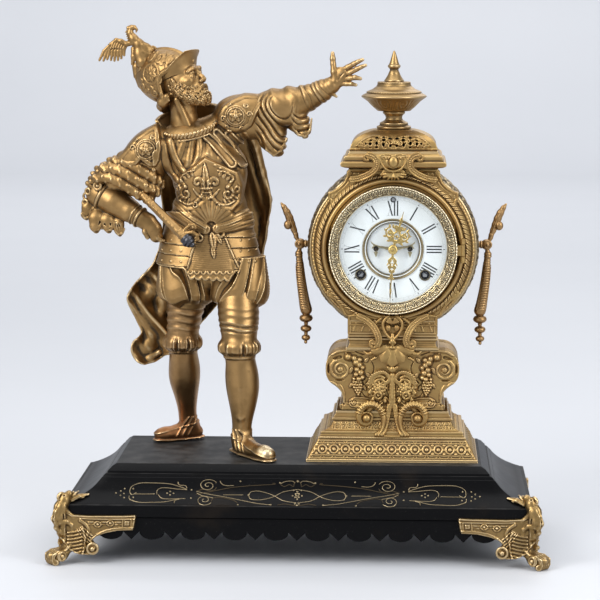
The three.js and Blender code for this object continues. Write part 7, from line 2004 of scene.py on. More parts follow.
def build_ped_mount():
    """Leaf lyre with two fruit clusters, the shell above and the two big C-scrolls below."""
    lo, hi = (CX - 42, -53.5, 117.5), (CX + 42, -34.5, 213.5)
    C = Clay(lo, hi, 0.42)
    L = lambda pts, r, y, k=0.5, **a: C.limb([(CX + x, y[i] if isinstance(y, (list, tuple)) else y, z, r[i] if isinstance(r, (list, tuple)) else r) for i, (x, z) in enumerate(pts)], k, **a)
    # base leaf plate
    R = Relief(lo[0], lo[2], hi[0], hi[2], 0.30)
    for q in (-1, 1):
        for j, (a, b, c, e, w) in enumerate(((2, 150, 9, 160, 3.4), (1.5, 158, 5, 174, 2.8), (8, 156, 13, 150, 3.0), (4, 146, 10, 141, 2.6))):
            R.leaf(CX + q * a, b, CX + q * c, e, w, 2.6)
    d = np.where(R.H > 0.05, -1.0, 1.0)

    def leaves(X, Y, Z):
        h = R.at(X, Z)
        return np.maximum(-38.6 - h - Y, Y + 36.4) * 0.8 + np.where(h > 0.02, 0, 3)
    C.put(leaves, (lo[0], -44, 138), (hi[0], -35, 178), 0.4)
    for q in (-1, 1):
        # central stem of two reeds flaring at the foot
        P = spline([(0.8, 186), (1.2, 174), (1.6, 160), (2.0, 148), (4.2, 136), (7.0, 126), (10.0, 121.5)], 4)
        L([(q * x, z) for x, z in P], list(np.interp(np.arange(len(P)), [0, len(P) - 1], [1.5, 2.2])), list(np.interp(np.arange(len(P)), [0, len(P) * .55, len(P) - 1], [-40, -43.0, -49.6])))
        P = spline([(3.4, 150), (5.6, 140), (8.4, 130), (12.4, 124), (15.8, 121.6)], 4)
        L([(q * x, z) for x, z in P], 2.0, list(np.linspace(-42.5, -49.4, len(P))))
        # big lower C scrolls with a ball eye
        P = spline([(13.6, 121.2), (9.6, 127.4), (8.2, 134.0), (8.8, 141.0), (12.0, 147.2), (17.6, 151.0), (24.0, 151.4), (29.6, 148.4), (33.0, 142.6), (33.0, 136.6), (29.4, 132.0), (24.4, 131.6), (21.4, 135.0), (22.2, 139.0)], 5)
        n = len(P)
        y = np.interp(np.arange(n), [0, n * .3, n * .6, n - 1], [-49.6, -46.5, -44.0, -44.6])
        L([(q * x, z) for x, z in P], list(np.interp(np.arange(n), [0, n * .45, n * .75, n - 1], [1.9, 3.5, 2.9, 1.7])), list(y + 0.8))
        L([(q * (x * 0.93 + 0.6), z - 1.4 if z > 140 else z) for x, z in P[:int(n * .72)]], 1.2, list(y[:int(n * .72)] - 1.0), k=0.3)
        for i in range(4, n - 12, 2):              # ribs across the scroll
            t = unit(P[min(i + 1, n - 1)] - P[i - 1])
            nrm = np.array([-t[1], t[0]])
            a, b = P[i] + nrm * 3.4, P[i] - nrm * 3.0
            if P[i][1] > 141 and i > 8:
                C.limb([(CX + q * a[0], y[i] - 0.4, a[1], 0.8), (CX + q * P[i][0], y[i] - 2.7, P[i][1], 0.95), (CX + q * b[0], y[i] - 0.6, b[1], 0.8)], k=0.25)
        C.ball((CX + q * 25.4, -46.6, 137.6), 4.3, None, 0.4)
        C.torus((CX + q * 25.4, -44.4, 137.6), (0, 1, 0), 5.6, 1.2, 0.3)
        C.limb([(CX + q * 27, -40, 141, 3.4), (CX + q * 20, -40, 149, 3.0)], k=1)
        # fruit clusters in ring wreaths
        cx, cz = q * 13.2, 166.6
        for k in range(26):
            a = 2.4 * k
            r = 1.55 * math.sqrt(k)
            C.ball((CX + cx + r * math.cos(a) * 0.95, -43.2 + 0.035 * r * r, cz + r * math.sin(a) * 1.05), 2.05 - 0.02 * k, None, 0.25)
        C.torus((CX + q * 12.4, -42.2, 171.4), (0, 1, 0), 5.2, 1.3, 0.3)
        C.torus((CX + q * 14.0, -43.6, 160.4), (0.1, 1, 0.2), 3.4, 1.25, 0.3)
        C.ball((CX + q * 14.0, -43.0, 160.4), 1.6, None, 0.2)
        C.torus((CX + q * 19.0, -41.4, 161.8), (0.1, 1, 0), 2.2, 0.9, 0.3)
        for (x0, z0, x1, z1) in ((20.6, 166, 24.6, 159.6), (18, 158, 20.6, 153.6), (8, 157, 6.4, 151), (21, 170, 25.4, 166.4)):
            C.limb([(CX + q * x0, -40.4, z0, 1.8), (CX + q * (x0 + x1) / 2, -41, (z0 + z1) / 2, 1.9), (CX + q * x1, -39.6, z1, 0.6)], k=0.4)
        # beaded scrolls over the clusters
        P = spline([(22.6, 171.0), (20.6, 178.2), (15.0, 182.4), (8.6, 183.4), (4.0, 180.0), (3.4, 175.4), (6.0, 172.6)], 6)
        L([(q * x, z) for x, z in P], 1.9, -41.4)
        for i in range(0, len(P), 2):
            C.ball((CX + q * P[i][0] * 1.06, -42.6, P[i][1] + 1.3), 1.15, None, 0.2)
        P = spline([(20.2, 173.0), (17.4, 178.2), (12.4, 179.8), (8.4, 178.0)], 6)
        L([(q * x, z) for x, z in P], 1.5, -41.4, 0.3)
        C.limb([(CX + q * 4.4, -41.5, 188.6, 1.9), (CX + q * 1.5, -42.0, 186.0, 2.0)], k=0.5)
        C.limb([(CX + q * 20, -41.6, 203.4, 2.0), (CX + q * 24.6, -41.4, 202.0, 1.8), (CX + q * 28.4, -40.6, 204.6, 0.9)], k=0.5)
        C.limb([(CX + q * 17, -41.0, 198.2, 1.8), (CX + q * 20.8, -40.6, 196.0, 1.2), (CX + q * 22.8, -40.2, 193.2, 0.6)], k=0.5)

    def shell(X, Y, Z):
        x, z = X - CX, 212.5 - Z
        a, r = np.arctan2(x, z), np.hypot(x, z)
        e = np.abs(a)
        Rm = np.interp(e.ravel(), [0, 0.45, 0.8, 1.05, 1.3, 1.5], [22.0, 21.0, 19.0, 20.5, 22.5, 14.0]).reshape(e.shape) + 0.9 * np.cos(a * 11)
        t = r / Rm
        y = -40.4 - 4.6 * np.sin(np.clip(t, 0, 1) ** 0.8 * PI * 0.85) - 0.9 * np.clip(t, 0, 1) - 1.15 * (np.abs(np.cos(a * 5.5)) ** 0.7 - 0.5) * np.clip(t * 1.4, 0, 1)
        return np.maximum(np.maximum(y - Y, Y + 38.0) * 0.75, (r - Rm) * 0.8) + np.where(e > 1.5, 3.0, 0.0)
    C.put(shell, (CX - 25, -49, 188), (CX + 25, -37, 213), 0.5)
    C.ball((CX, -41.6, 186.6), (3.2, 2.6, 3.6), None, 0.5)
    C.ball((CX, -43.0, 192.6), (1.5, 1.4, 3.0), None, 0.4)
    C.ball((CX, -43.6, 209.4), (3.4, 2.8, 2.4), None, 1.2)
    C.limb([(CX, -40, 140, 1.6), (CX, -43.4, 158, 1.7), (CX, -41.5, 181, 1.2)], k=0.4)
    C.limb([(CX - 15, -48.6, 120.0, 1.3), (CX, -49.4, 119.6, 1.5), (CX + 15, -48.6, 120.0, 1.3)], k=0.5)
    C.mesh("Pedestal_mount", M_CASE, rep=["pedestal_mount"], slot="gilt_case", cav=6, share=0.004)


# ---------------------------------------------------------------- neck, mouldings
def neck_pat(side, s, z, h):
    return 0.18 * bell(z - 212, 3) * 0 * s


def build_neck():
    rows = [(206.15, 46.4, 39.3), (207.4, 46.9, 39.4), (208.4, 46.4, 39.3), (208.8, 44.6, 38.6), (209.6, 44.4, 38.4), (210.4, 43.6, 37.6), (212.4, 43.0, 37.0), (214.6, 43.4, 37.4), (216.0, 44.6, 38.4),
            (216.6, 44.8, 38.6), (217.6, 44.6, 38.4), (218.0, 43.2, 37.4), (218.6, 43.0, 37.2), (219.0, 44.6, 38.2), (220.0, 44.8, 38.4), (221.0, 44.6, 38.2), (236.6, 44.6, 38.2),
            (236.6, 36.8, 26.0), (206.9, 36.8, 26.0)]      # open inside, where the bob swings

    def pat(side, s, z, h):
        if side == 0:
            a = np.abs(s)
            fr = bell(a - 42.4, 0.7) + bell(a - 20.0 + (z - 221) * 0.0, 0.6) * 0
            H = 0.7 * np.maximum(bell(a - 42.2, 0.8) * (z > 221.6) * (z < 236), bell(z - 222.6, 0.8) * (a > 12) * (a < 43))
            H = np.maximum(H, 0.7 * bell(z - 235.2, 0.8) * (a < 43))
            st = np.clip(np.sin(s * 2.3 + 3 * np.sin(z * 1.1)) * np.sin(z * 2.6 + 2 * np.sin(s * 0.9)), 0, 1)
            H = H + 0.32 * st * (z > 224) * (z < 234) * (a > 10) * (a < 41)
            H = H + 0.45 * bell((a % 8.4) - 4.2 + 0.35 * (z - 229), 0.9) * (z > 224.5) * (z < 233.5) * (a > 22) * (a < 40)
            return H
        return 0.5 * bell(z - 229 + 0 * s, 5.0) * 0 + 0.5 * np.maximum(bell(np.abs(s) - 35.4, 0.8), bell(z - 222.8, 0.8)) * (z > 221.6) * (z < 236)
    stepped(rows, "Neck", M_CASE, ["neck_block"], pat, nx=220, ny=160, rc=0.4)


def strap(C, q, pts, y, w, beads=True, r=1.0):
    """A curved strap of three reeds, the middle one beaded."""
    P = spline(pts, 6)
    T = np.gradient(P, axis=0)
    T /= np.maximum(np.linalg.norm(T, axis=1, keepdims=True), 1e-9)
    N = np.stack([-T[:, 1], T[:, 0]], 1)
    ys = y if not np.isscalar(y) else np.full(len(P), y)
    ys = np.interp(np.linspace(0, 1, len(P)), np.linspace(0, 1, len(ys)), ys)
    for o in (-1, 1):
        C.limb([(CX + q * (p[0] + n[0] * o * w), yy, p[1] + n[1] * o * w, r) for p, n, yy in zip(P, N, ys)], k=0.3)
    C.limb([(CX + q * p[0], yy + 0.8, p[1], w) for p, yy in zip(P, ys)], k=0.3, flat=((0, 1, 0), 0.6))
    if beads:
        L = np.concatenate([[0], np.cumsum(np.linalg.norm(np.diff(P, axis=0), axis=1))])
        for s in np.arange(0.8, L[-1] - 0.5, 2.05):
            x, z, yy = np.interp(s, L, P[:, 0]), np.interp(s, L, P[:, 1]), np.interp(s, L, ys)
            C.ball((CX + q * x, yy - 0.5, z), 0.95, None, 0.15)


def build_lower_cartouche():
    C = Clay((CX - 46, -53.5, 205.5), (CX + 46, -36.5, 243.5), 0.40)
    for q in (-1, 1):
        strap(C, q, [(34.5, 241.0), (26.5, 237.2), (19.6, 231.0), (15.4, 223.6), (13.6, 216.6), (15.4, 211.4)], [-43, -44, -46, -47.5, -47, -46], 2.5)
        P = spline([(15.2, 211.6), (18.6, 209.0), (22.0, 210.8), (22.2, 214.6), (19.4, 216.6), (17.4, 214.6)], 5)
        C.limb([(CX + q * x, -44.6, z, 1.5) for x, z in P], k=0.5)
        C.ball((CX + q * 19.6, -45.2, 213.2), 1.8, None, 0.4)
        P = spline([(5.0, 240.6), (8.8, 236), (9.6, 230.2), (6.6, 223.4), (1.2, 217.6), (-2.4, 214.6)], 5)
        C.limb([(CX + q * x, -45.6 - 1.2 * (i / len(P)), z, 1.45) for i, (x, z) in enumerate(P)], k=0.3)
        C.ball((CX + q * 4.2, -45.2, 229.0), (2.7, 1.9, 3.4), None, 0.3)
        C.ball((CX + q * 4.2, -46.6, 229.6), (1.2, 1.0, 1.7), None, 0.2)
        for j, (a, l) in enumerate(((18, 9.5), (44, 9.5), (72, 8.6))):
            w = math.radians(a)
            C.limb([(CX + q * 1.0, -43.6, 234, 1.4), (CX + q * (1.0 + 0.5 * l * math.sin(w)), -44.6, 234 + 0.5 * l * math.cos(w), 1.6), (CX + q * (1 + l * math.sin(w)), -43.4, 234 + l * math.cos(w), 0.9)], k=0.3)
        C.limb([(CX + q * 11, -43.8, 238.6, 1.5), (CX + q * 16, -44.6, 235.0, 1.3), (CX + q * 17.5, -44, 231.6, 0.9)], k=0.4)
        C.limb([(CX + q * 30, -42.6, 240.4, 1.4), (CX + q * 38, -42.4, 241.4, 1.2), (CX + q * 43.5, -42, 240.4, 0.9)], k=0.4)
    C.limb([(CX, -44.5, 222.6, 1.8), (CX, -46.5, 216.0, 2.4), (CX, -45.6, 211.4, 1.4)], k=0.6)
    C.limb([(CX - 12, -40.5, 228, 2), (CX, -41, 226, 4.4), (CX + 12, -40.5, 228, 2)], k=1, flat=((0, 1, 0), 0.5))
    C.limb([(CX - 30, -40.0, 239.5, 3), (CX, -40, 238, 3.4), (CX + 30, -40.0, 239.5, 3)], k=1, flat=((0, 1, 0), 0.5))
    C.mesh("Lower_cartouche", M_CASE, rep=["lower_cartouche"], slot="gilt_case", cav=6, share=0.004)


# ---------------------------------------------------------------- drum
def build_drum():
    # barrel behind the front plate, chased with foliage
    na = int(520 / FINE)
    prof = [(74.5, -32.5), (79.0, -32.4), (82.6, -31.6), (84.6, -29.0), (85.8, -24.0), (86.0, -18.0), (86.4, -10.0), (86.2, 0.0), (85.6, 10.0), (84.4, 22.0), (83.2, 32.0), (83.6, 37.0), (84.0, 40.0), (83.4, 43.5),
            (80.6, 45.0), (78.4, 46.5), (76.0, 50.0), (73.0, 54.5), (69.0, 57.2), (63.6, 57.8), (62.6, 57.0), (62.4, 50), (70.0, 44), (74.0, 30), (74.5, 0), (74.5, -34.6)]
    P = []
    for a, b in zip(prof, prof[1:] + prof[:1]):
        n = max(1, int(math.hypot(b[0] - a[0], b[1] - a[1]) / (0.8 * FINE)))
        P += [(a[0] + (b[0] - a[0]) * i / n, a[1] + (b[1] - a[1]) * i / n) for i in range(n)]

    def r_of(R, H, A):
        s = A * 80
        w = np.clip((H + 35) / 74, 0, 1)
        outer = (R > 76) & (H < 40) & (H > -33.5)
        p = 21.0
        u = (s / p) % 1.0 - 0.5
        x, y = u * p, H
        h = 0.0
        for (yc, f) in ((-21, 1), (4, -1), (27, 1)):
            dy = (y - yc) * f
            r = np.hypot(x, dy * 0.9)
            th = np.arctan2(x, dy)
            h = np.maximum(h, 1.25 * np.clip(np.cos(5 * th), 0, 1) ** 0.6 * np.exp(-((r - 6.0) / 3.6) ** 2))
            h = np.maximum(h, 1.3 * bell(r, 2.4))
            xs = np.abs(x) - 7.6
            rr = np.hypot(xs, dy - 5)
            h = np.maximum(h, 0.95 * (0.5 + 0.5 * np.cos(rr * 2.4 - np.arctan2(xs, dy - 5))) * np.exp(-((rr) / 4.2) ** 2) + 0.1)
        h = np.maximum(h, 0.8 * bell(np.abs(x) - 10.5, 0.9) * (0.6 + 0.4 * np.cos(y * 1.7)))
        h = np.maximum(h, 1.0 * bell(y + 31.0, 1.4) + 0.4 * bell((s % 2.6) - 1.3, 1.0) * bell(y + 31.0, 1.8))
        env = sm(H, -34, -31.5) * sm(-H, -40, -37)
        R2 = R + np.where(outer, (h - 0.75) * env, 0)
        return np.minimum(R2, 86.45), H
    V, F = revolve(P, na, (CX, 0, CZ), "y", r_of)
    V[:, 2] = np.clip(V[:, 2], 230.5, 388.0)
    obj("Drum_barrel", V, F, M_DARK, rep=["drum_case"], slot="gilt_case", cav=7)
    # front plate with shoulders and pads
    lo, hi = (CX - 68, -43.2, 229.6), (CX + 68, -24, 388.4)
    B = Block(lo, hi, 0.5)
    R = B.relief(0.33)
    up = [(0, 388.2), (44.5, 388.2), (44.8, 386.0), (46.4, 385.0), (46.6, 380.6), (49.4, 374.6), (54.4, 369.4), (60.6, 365.6), (62.6, 364.8), (64.8, 364.4), (65.2, 356.6), (63.4, 356.0), (62.6, 352.0)]
    dn = [(62.6, 268), (63.8, 266.4), (66.0, 266.0), (66.2, 260.0), (64.4, 258.6), (58.4, 255.4), (53.2, 249.8), (50.0, 243.4), (48.8, 240.6), (46.6, 239.6), (45.0, 238.6), (45.0, 229.8), (0, 229.8)]
    half = up + dn
    poly = [(CX + x, z) for x, z in half] + [(CX - x, z) for x, z in half[::-1]]
    d = R.sd(poly)
    R.H += (0.9 * bell(d + 1.5, 1.2)).astype(f4)
    for q in (-1, 1):
        R.line(mx([(22, 386.2), (42.4, 386.2), (43.6, 381.4), (46, 376.4)], q), 0.6, 0.7)
        R.plate(mx([(26, 384.6), (41.2, 384.6), (42.2, 380.8), (44.6, 375.6), (40.6, 376.6), (33, 380.4)], q), -0.9, 0.6)
        for x, z in ((34, 382.8), (38.6, 382.6), (41.2, 379.4)):
            R.dot(CX + q * x, z, 1.0, 0.9, add=True)
        R.plate(mx([(54.5, 363.5), (61.6, 362.0), (61.8, 358.4), (58.8, 358.2)], q), 0.8, 0.5)
        R.plate(mx([(55, 254.5), (63.4, 260.6), (63.4, 263.6), (60.2, 264)], q), 0.8, 0.5)
        R.line(spline(mx([(44, 374.6), (49, 369), (55, 364.6), (61, 362.4)], q), 5), 0.6, 0.5)
    B.slab(R, d, -38.4, -26.0)
    B.C.S[:] = smax(B.C.S, -ring_sdf(B.C, 63.5, -60, 0), 0.5)
    B.C.mesh("Drum_front_plate", M_CASE, rep=["drum_case"], slot="gilt_case", cav=7, share=0.01)
    # the turned and chased front ring: leaf roll, beads, ovolo
    na = int(1400 / FINE)
    prof = [(64.2, -30.0), (64.2, -36.2), (65.2, -36.6), (65.6, -39.0), (66.0, -41.2), (66.9, -42.6), (68.2, -43.1), (69.4, -43.0), (70.4, -42.3), (71.2, -41.0), (71.5, -39.8), (71.8, -39.2), (72.2, -39.3), (72.9, -40.2), (74.2, -40.3), (75.8, -39.2),
            (77.2, -37.4), (78.0, -35.8), (78.3, -35.0), (78.8, -34.8), (79.8, -35.2), (81.0, -34.8), (82.0, -33.6), (82.4, -31.6), (80.6, -29.0)]
    P = []
    for a, b in zip(prof, prof[1:] + prof[:1]):
        n = max(1, int(math.hypot(b[0] - a[0], b[1] - a[1]) / (0.42 * FINE)))
        P += [(a[0] + (b[0] - a[0]) * i / n, a[1] + (b[1] - a[1]) * i / n) for i in range(n)]

    def r_of(R, H, A):
        f = H < -31
        # ring of leaves on the ovolo (outside), small husks on the roll
        n1 = 92
        u = (((A + 0.010 * (R - 75)) * n1 / TAU) % 1.0) - 0.5
        lf = np.sqrt(np.clip(1 - (u / 0.46) ** 2, 0, 1)) * (1 - 0.5 * np.exp(-(u / 0.09) ** 2))
        w = sm(R, 71.8, 72.6) * sm(-R, -78.2, -77.4) * sm(-H, 33, 35)
        H2 = H - (1.9 * lf - 0.9) * w * (0.75 + 0.25 * np.sin((R - 72) * 1.5))
        n2 = 132
        u2 = ((A * n2 / TAU) % 1.0) - 0.5
        H2 = H2 - 0.45 * bell(u2, 0.42) * bell(R - 80.2, 1.7) * f
        return R, np.maximum(H2, -43.4)
    V, F = revolve(P, na, (CX, 0, CZ), "y", r_of)
    obj("Drum_front_ring", V, F, M_CASE, rep=["drum_case"], slot="gilt_case", cav=6)


def ring_sdf(C, r, y0, y1):
    X = (C.lo[0] + C.v * np.arange(C.n[0]))[:, None, None].astype(f4)
    Z = (C.lo[2] + C.v * np.arange(C.n[2]))[None, None, :].astype(f4)
    Y = np.zeros((1, C.n[1], 1), f4)
    return np.hypot(X - CX, Z - CZ) - r + Y


# ---------------------------------------------------------------- cornice, dome, urn
def build_cornice():
    rows = [(388.95, 46.0, 44.6), (389.6, 49.2, 47.4), (390.6, 51.8, 49.0), (392.2, 52.6, 49.4), (394.0, 52.4, 49.3), (395.2, 51.2, 48.6), (395.8, 49.2, 47.2), (396.4, 48.6, 46.8), (397.4, 48.8, 46.9),
            (399.2, 49.0, 47.0), (400.6, 48.2, 46.4), (401.2, 46.6, 45.2), (402.6, 45.0, 43.4), (404.6, 44.2, 42.6), (405.4, 43.6, 42.0)]
    stepped(rows, "Cornice", M_CASE, ["cornice"], lambda side, s, z, h: 0.0 * s, nx=160, ny=120, rc=0.6)
    C = Clay((CX - 45.5, -53.5, 374.5), (CX + 45.5, -40.0, 406.5), 0.38)
    for q in (-1, 1):
        strap(C, q, [(25.4, 402.4), (19.6, 400.6), (16.4, 395.6), (17.6, 389.0), (23.6, 383.2), (33.0, 379.0), (42.0, 377.4)], [-48.5, -49.6, -49.8, -48.4, -45.4, -43.4, -42.8], 2.3)
        P = spline([(25.4, 402.6), (28.6, 401.0), (28.4, 397.6), (25.2, 397.0), (24.2, 399.4)], 5)
        C.limb([(CX + q * x, -48.0, z, 1.3) for x, z in P], k=0.4)
        P = spline([(9.2, 402.0), (12.4, 401.6), (12.8, 397.0), (9.8, 391.0), (5.6, 387.4), (0, 386.2)], 5)
        C.limb([(CX + q * x, -50.0, z, 1.0) for x, z in P], k=0.3)
        C.ball((CX + q * 7.2, -50.0, 399.4), 1.5, None, 0.3)
        C.limb([(CX + q * 3, -49.6, 402.6, 1.0), (CX + q * 9, -49.4, 403.0, 1.0)], k=0.3)
        for j in range(4):
            C.limb([(CX + q * (11.6 + j * 0.3), -47.6, 399.4 - j * 3.4, 0.7), (CX + q * (15.0 + 0.2 * j), -47.4, 397.4 - j * 3.4, 0.55)], k=0.25)
        for j, (a, l) in enumerate(((12, 7.0), (38, 8.4), (64, 10.4), (84, 12.4))):
            w = math.radians(a)
            C.limb([(CX + q * 1.0, -46.2, 384.0, 1.3), (CX + q * (0.6 + 0.5 * l * math.sin(w)), -47.0, 384 - 0.5 * l * math.cos(w), 1.5), (CX + q * l * math.sin(w), -45.6, 384 - l * math.cos(w) * 0.9, 1.0)], k=0.25)
        for j in range(6):
            C.ball((CX + q * (12.0 + j * 3.0), -44.6, 381.6 - j * 1.05), 0.9, None, 0.2)
    C.ball((CX, -50.2, 395.4), (4.6, 2.9, 5.6), None, 0.3)
    C.torus((CX, -48.9, 395.4), (0, 1, 0), 5.9, 0.8, 0.2)
    R = C
    C.limb([(CX - 13, -47.5, 394, 5.0), (CX + 13, -47.5, 394, 5.0)], k=1, flat=((0, 1, 0), 0.35))
    C.limb([(CX - 8, -45.0, 384, 4.0), (CX + 8, -45.0, 384, 4.0)], k=1, flat=((0, 1, 0), 0.35))
    C.mesh("Upper_cartouche", M_CASE, rep=["upper_cartouche"], slot="gilt_case", cav=6, share=0.004)


def build_dome():
    lo, hi = (CX - 44.5, -31.6, 405.6), (CX + 44.5, 37.6, 425.4)
    C = Clay(lo, hi, 0.45)

    def shell(X, Y, Z):
        # a rounded loaf: quarter-round ends and a sloped front and back
        x, y, z = X - CX, Y - 3.0, Z - 405.6
        hz = np.clip(z / 19.6, 0, 1)
        rx = 43.2 * np.sqrt(np.clip(1 - (hz * 0.93) ** 2.3, 0.02, 1))
        ry = 34.2 * np.sqrt(np.clip(1 - (hz * 0.93) ** 2.3, 0.02, 1)) - 0.5
        return np.maximum(np.maximum(np.abs(x) - rx, np.abs(y) - ry) * 0.72, z - 19.2)
    C.put(shell, lo, hi, 0.4)
    C.put(lambda X, Y, Z: shell(X, Y, Z + 2.6) + 2.4, lo, (hi[0], hi[1], 421.4), 0.4, cut=True)
    # pierced leafwork on the front and back slopes
    v = 0.3
    R = Relief(CX - 44, 404, CX + 44, 427, v)
    orn = np.zeros_like(R.H)
    for q in (-1, 1):
        for (x, z, r) in ((6.2, 412.2, 3.2), (13.6, 414.6, 3.0), (13.2, 409.4, 2.6), (20.0, 410.8, 2.8), (26.6, 409.8, 2.4)):
            R.line(arc(CX + q * x, z, r, 200, 200 - q * 470, 24, 0.9), (1.0, 0.7), 1.5)
            R.dot(CX + q * x, z, 1.0, 1.6)
        for (a, b, c, e, w) in ((1.5, 415, 7, 419.8, 1.7), (9, 417, 15, 420.2, 1.5), (17, 416.0, 22.5, 417.6, 1.5), (23.6, 413.4, 28.6, 414.2, 1.4), (2, 408.5, 9, 406.8, 1.4), (29.6, 408.4, 36.4, 410.4, 2.0), (30, 411.6, 35.5, 414.0, 1.4)):
            R.leaf(CX + q * a, b, CX + q * c, e, w, 1.5)
        R.line(spline(mx([(3, 418), (12, 419.8), (22, 419.4), (31, 415.6), (37, 410)], q), 5), 0.8, 1.2)
        R.line(mx([(0, 406.6), (41, 406.6)], q), 1.0, 1.4)
    rosette(R, CX, 414.2, 3.8, 1.9)
    holes = [(3.6, 417.0, 1.9, 1.1), (9.8, 415.6, 1.9, 1.2), (10.0, 411.0, 1.3, 1.9), (16.8, 412.4, 1.4, 1.8), (16.6, 417.6, 1.8, 0.9), (23.2, 411.8, 1.3, 1.5), (3.2, 410.0, 1.3, 1.2), (16.6, 408.6, 1.4, 0.9), (22.8, 415.2, 1.4, 0.8), (27.6, 412.0, 1.1, 1.0), (9.9, 419.0 - 0.8, 1.3, 0.7)]

    def lift(X, Y, Z):
        return R.at(X, Z) * sm(np.abs(Y - 3), 14, 20) * (np.abs(X - CX) < 38)
    C.lift(lift, lo, hi)
    for q in (-1, 1):
        for x, z, a, b in holes:
            C.put(lambda X, Y, Z: (np.hypot((X - CX - q * x) / a, (Z - z) / b) - 1) * min(a, b) + 0 * Y, (CX + q * x - 3, lo[1], z - 3), (CX + q * x + 3, hi[1], z + 3), 0.3, cut=True)
    # square stepped seat for the urn, kept within the dome's own height
    C.box((CX - 17.6, 3 - 17.6, 421.0), (CX + 17.6, 3 + 17.6, 424.6), 0.6, 0.4)
    C.limb([(CX - 43.2, -30.4, 406.6, 0.9), (CX + 43.2, -30.4, 406.6, 0.9)], k=0.3)
    C.mesh("Dome", M_CASE, rep=["dome_vent"], slot="gilt_case", cav=5, share=0.01)
    # dark sheet behind the piercings: painted shade standing in for the dome's dark hollow inside
    V, F = loft_rect([(406.2, 38.4, 28.6), (409, 37.0, 27.4), (414.0, 32.0, 23.0), (418.0, 24, 17)], rc=3, cx=CX, cy=3.0)
    obj("Dome_shade_sheet", V, F, M_PAINTED_SHADE, slot="gilt_case", cav=0)


def lathe(name, prof, c, mat, rep=(), na=160, step=0.6, r_of=None, axis="z", cav=5, body="root", slot="gilt_case", closed=False):
    P = []
    pr = prof + (prof[:1] if closed else [])
    for a, b in zip(pr, pr[1:]):
        n = max(1, int(math.hypot(b[0] - a[0], b[1] - a[1]) / (step * FINE)))
        P += [(a[0] + (b[0] - a[0]) * i / n, a[1] + (b[1] - a[1]) * i / n) for i in range(n)]
    if not closed:
        P.append(prof[-1])
    V, F = revolve(P, int(na / FINE), c, axis, r_of)
    return obj(name, V, F, mat, rep=rep, slot=slot, cav=cav, body=body)


def build_urn():
    prof = [(0, 425.5), (17.2, 425.5), (17.4, 427.2), (16.4, 428.0), (14.8, 428.6), (14.2, 429.4), (14.4, 431.0), (13.2, 431.8), (11.4, 432.6), (9.0, 434.2), (8.2, 436.0), (8.6, 438.0), (10.2, 439.8),
            (11.2, 440.6), (11.2, 442.0), (10.4, 442.6), (13.0, 443.0), (16.8, 443.2), (17.6, 444.0), (22.4, 448.6), (27.2, 453.0), (31.4, 456.0), (32.9, 457.2), (32.6, 458.4), (29.0, 460.4), (27.2, 461.2), (27.6, 462.0),
            (26.4, 463.0), (21.4, 465.0), (17.6, 468.0), (16.6, 470.4), (16.8, 471.4), (16.2, 472.2), (0, 472.3)]

    def r_of(R, H, A):
        u = A * 16 / TAU % 1.0 - 0.5
        v = A * 8 / TAU % 1.0 - 0.5
        m = sm(H, 444.2, 445.6) * sm(-H, -456.0, -454.4)
        lf = 0.85 * np.sqrt(np.clip(1 - (u / 0.45) ** 2, 0, 1)) * (1 - 0.45 * np.exp(-(u / 0.07) ** 2))
        sc = 0.55 * np.cos(np.hypot(v * 22, H - 450) * 1.7)
        R = R + np.where(R > 5, (0.55 * lf * (0.4 + 0.6 * np.sin((H - 445) * 0.55)) + 0.5 * sc) * m - 0.35 * m, 0)
        b = 0.4 * bell(((A * 60 / TAU) % 1.0) - 0.5, 0.42) * bell(H - 462.0, 0.9)
        return R + np.where(R > 5, b, 0), H
    lathe("Urn", prof, (CX, 3.0, 0), M_URN, ["urn_body"], na=420, step=0.42, r_of=r_of)
    prof = [(0, 472.65), (10.0, 472.65), (9.9, 473.8), (9.3, 474.4), (7.8, 476.6), (6.2, 479.4), (5.2, 482.0), (4.5, 483.2), (4.3, 484.4), (4.8, 485.4), (6.0, 486.4), (6.5, 487.6), (6.2, 488.8), (5.2, 489.6), (5.0, 490.2),
            (4.2, 492.4), (3.2, 495.8), (2.1, 499.4), (1.1, 502.4), (0, 503.5)]
    lathe("Finial", prof, (CX, 3.0, 0), M_URN, ["urn_finial"], na=96, step=0.5)


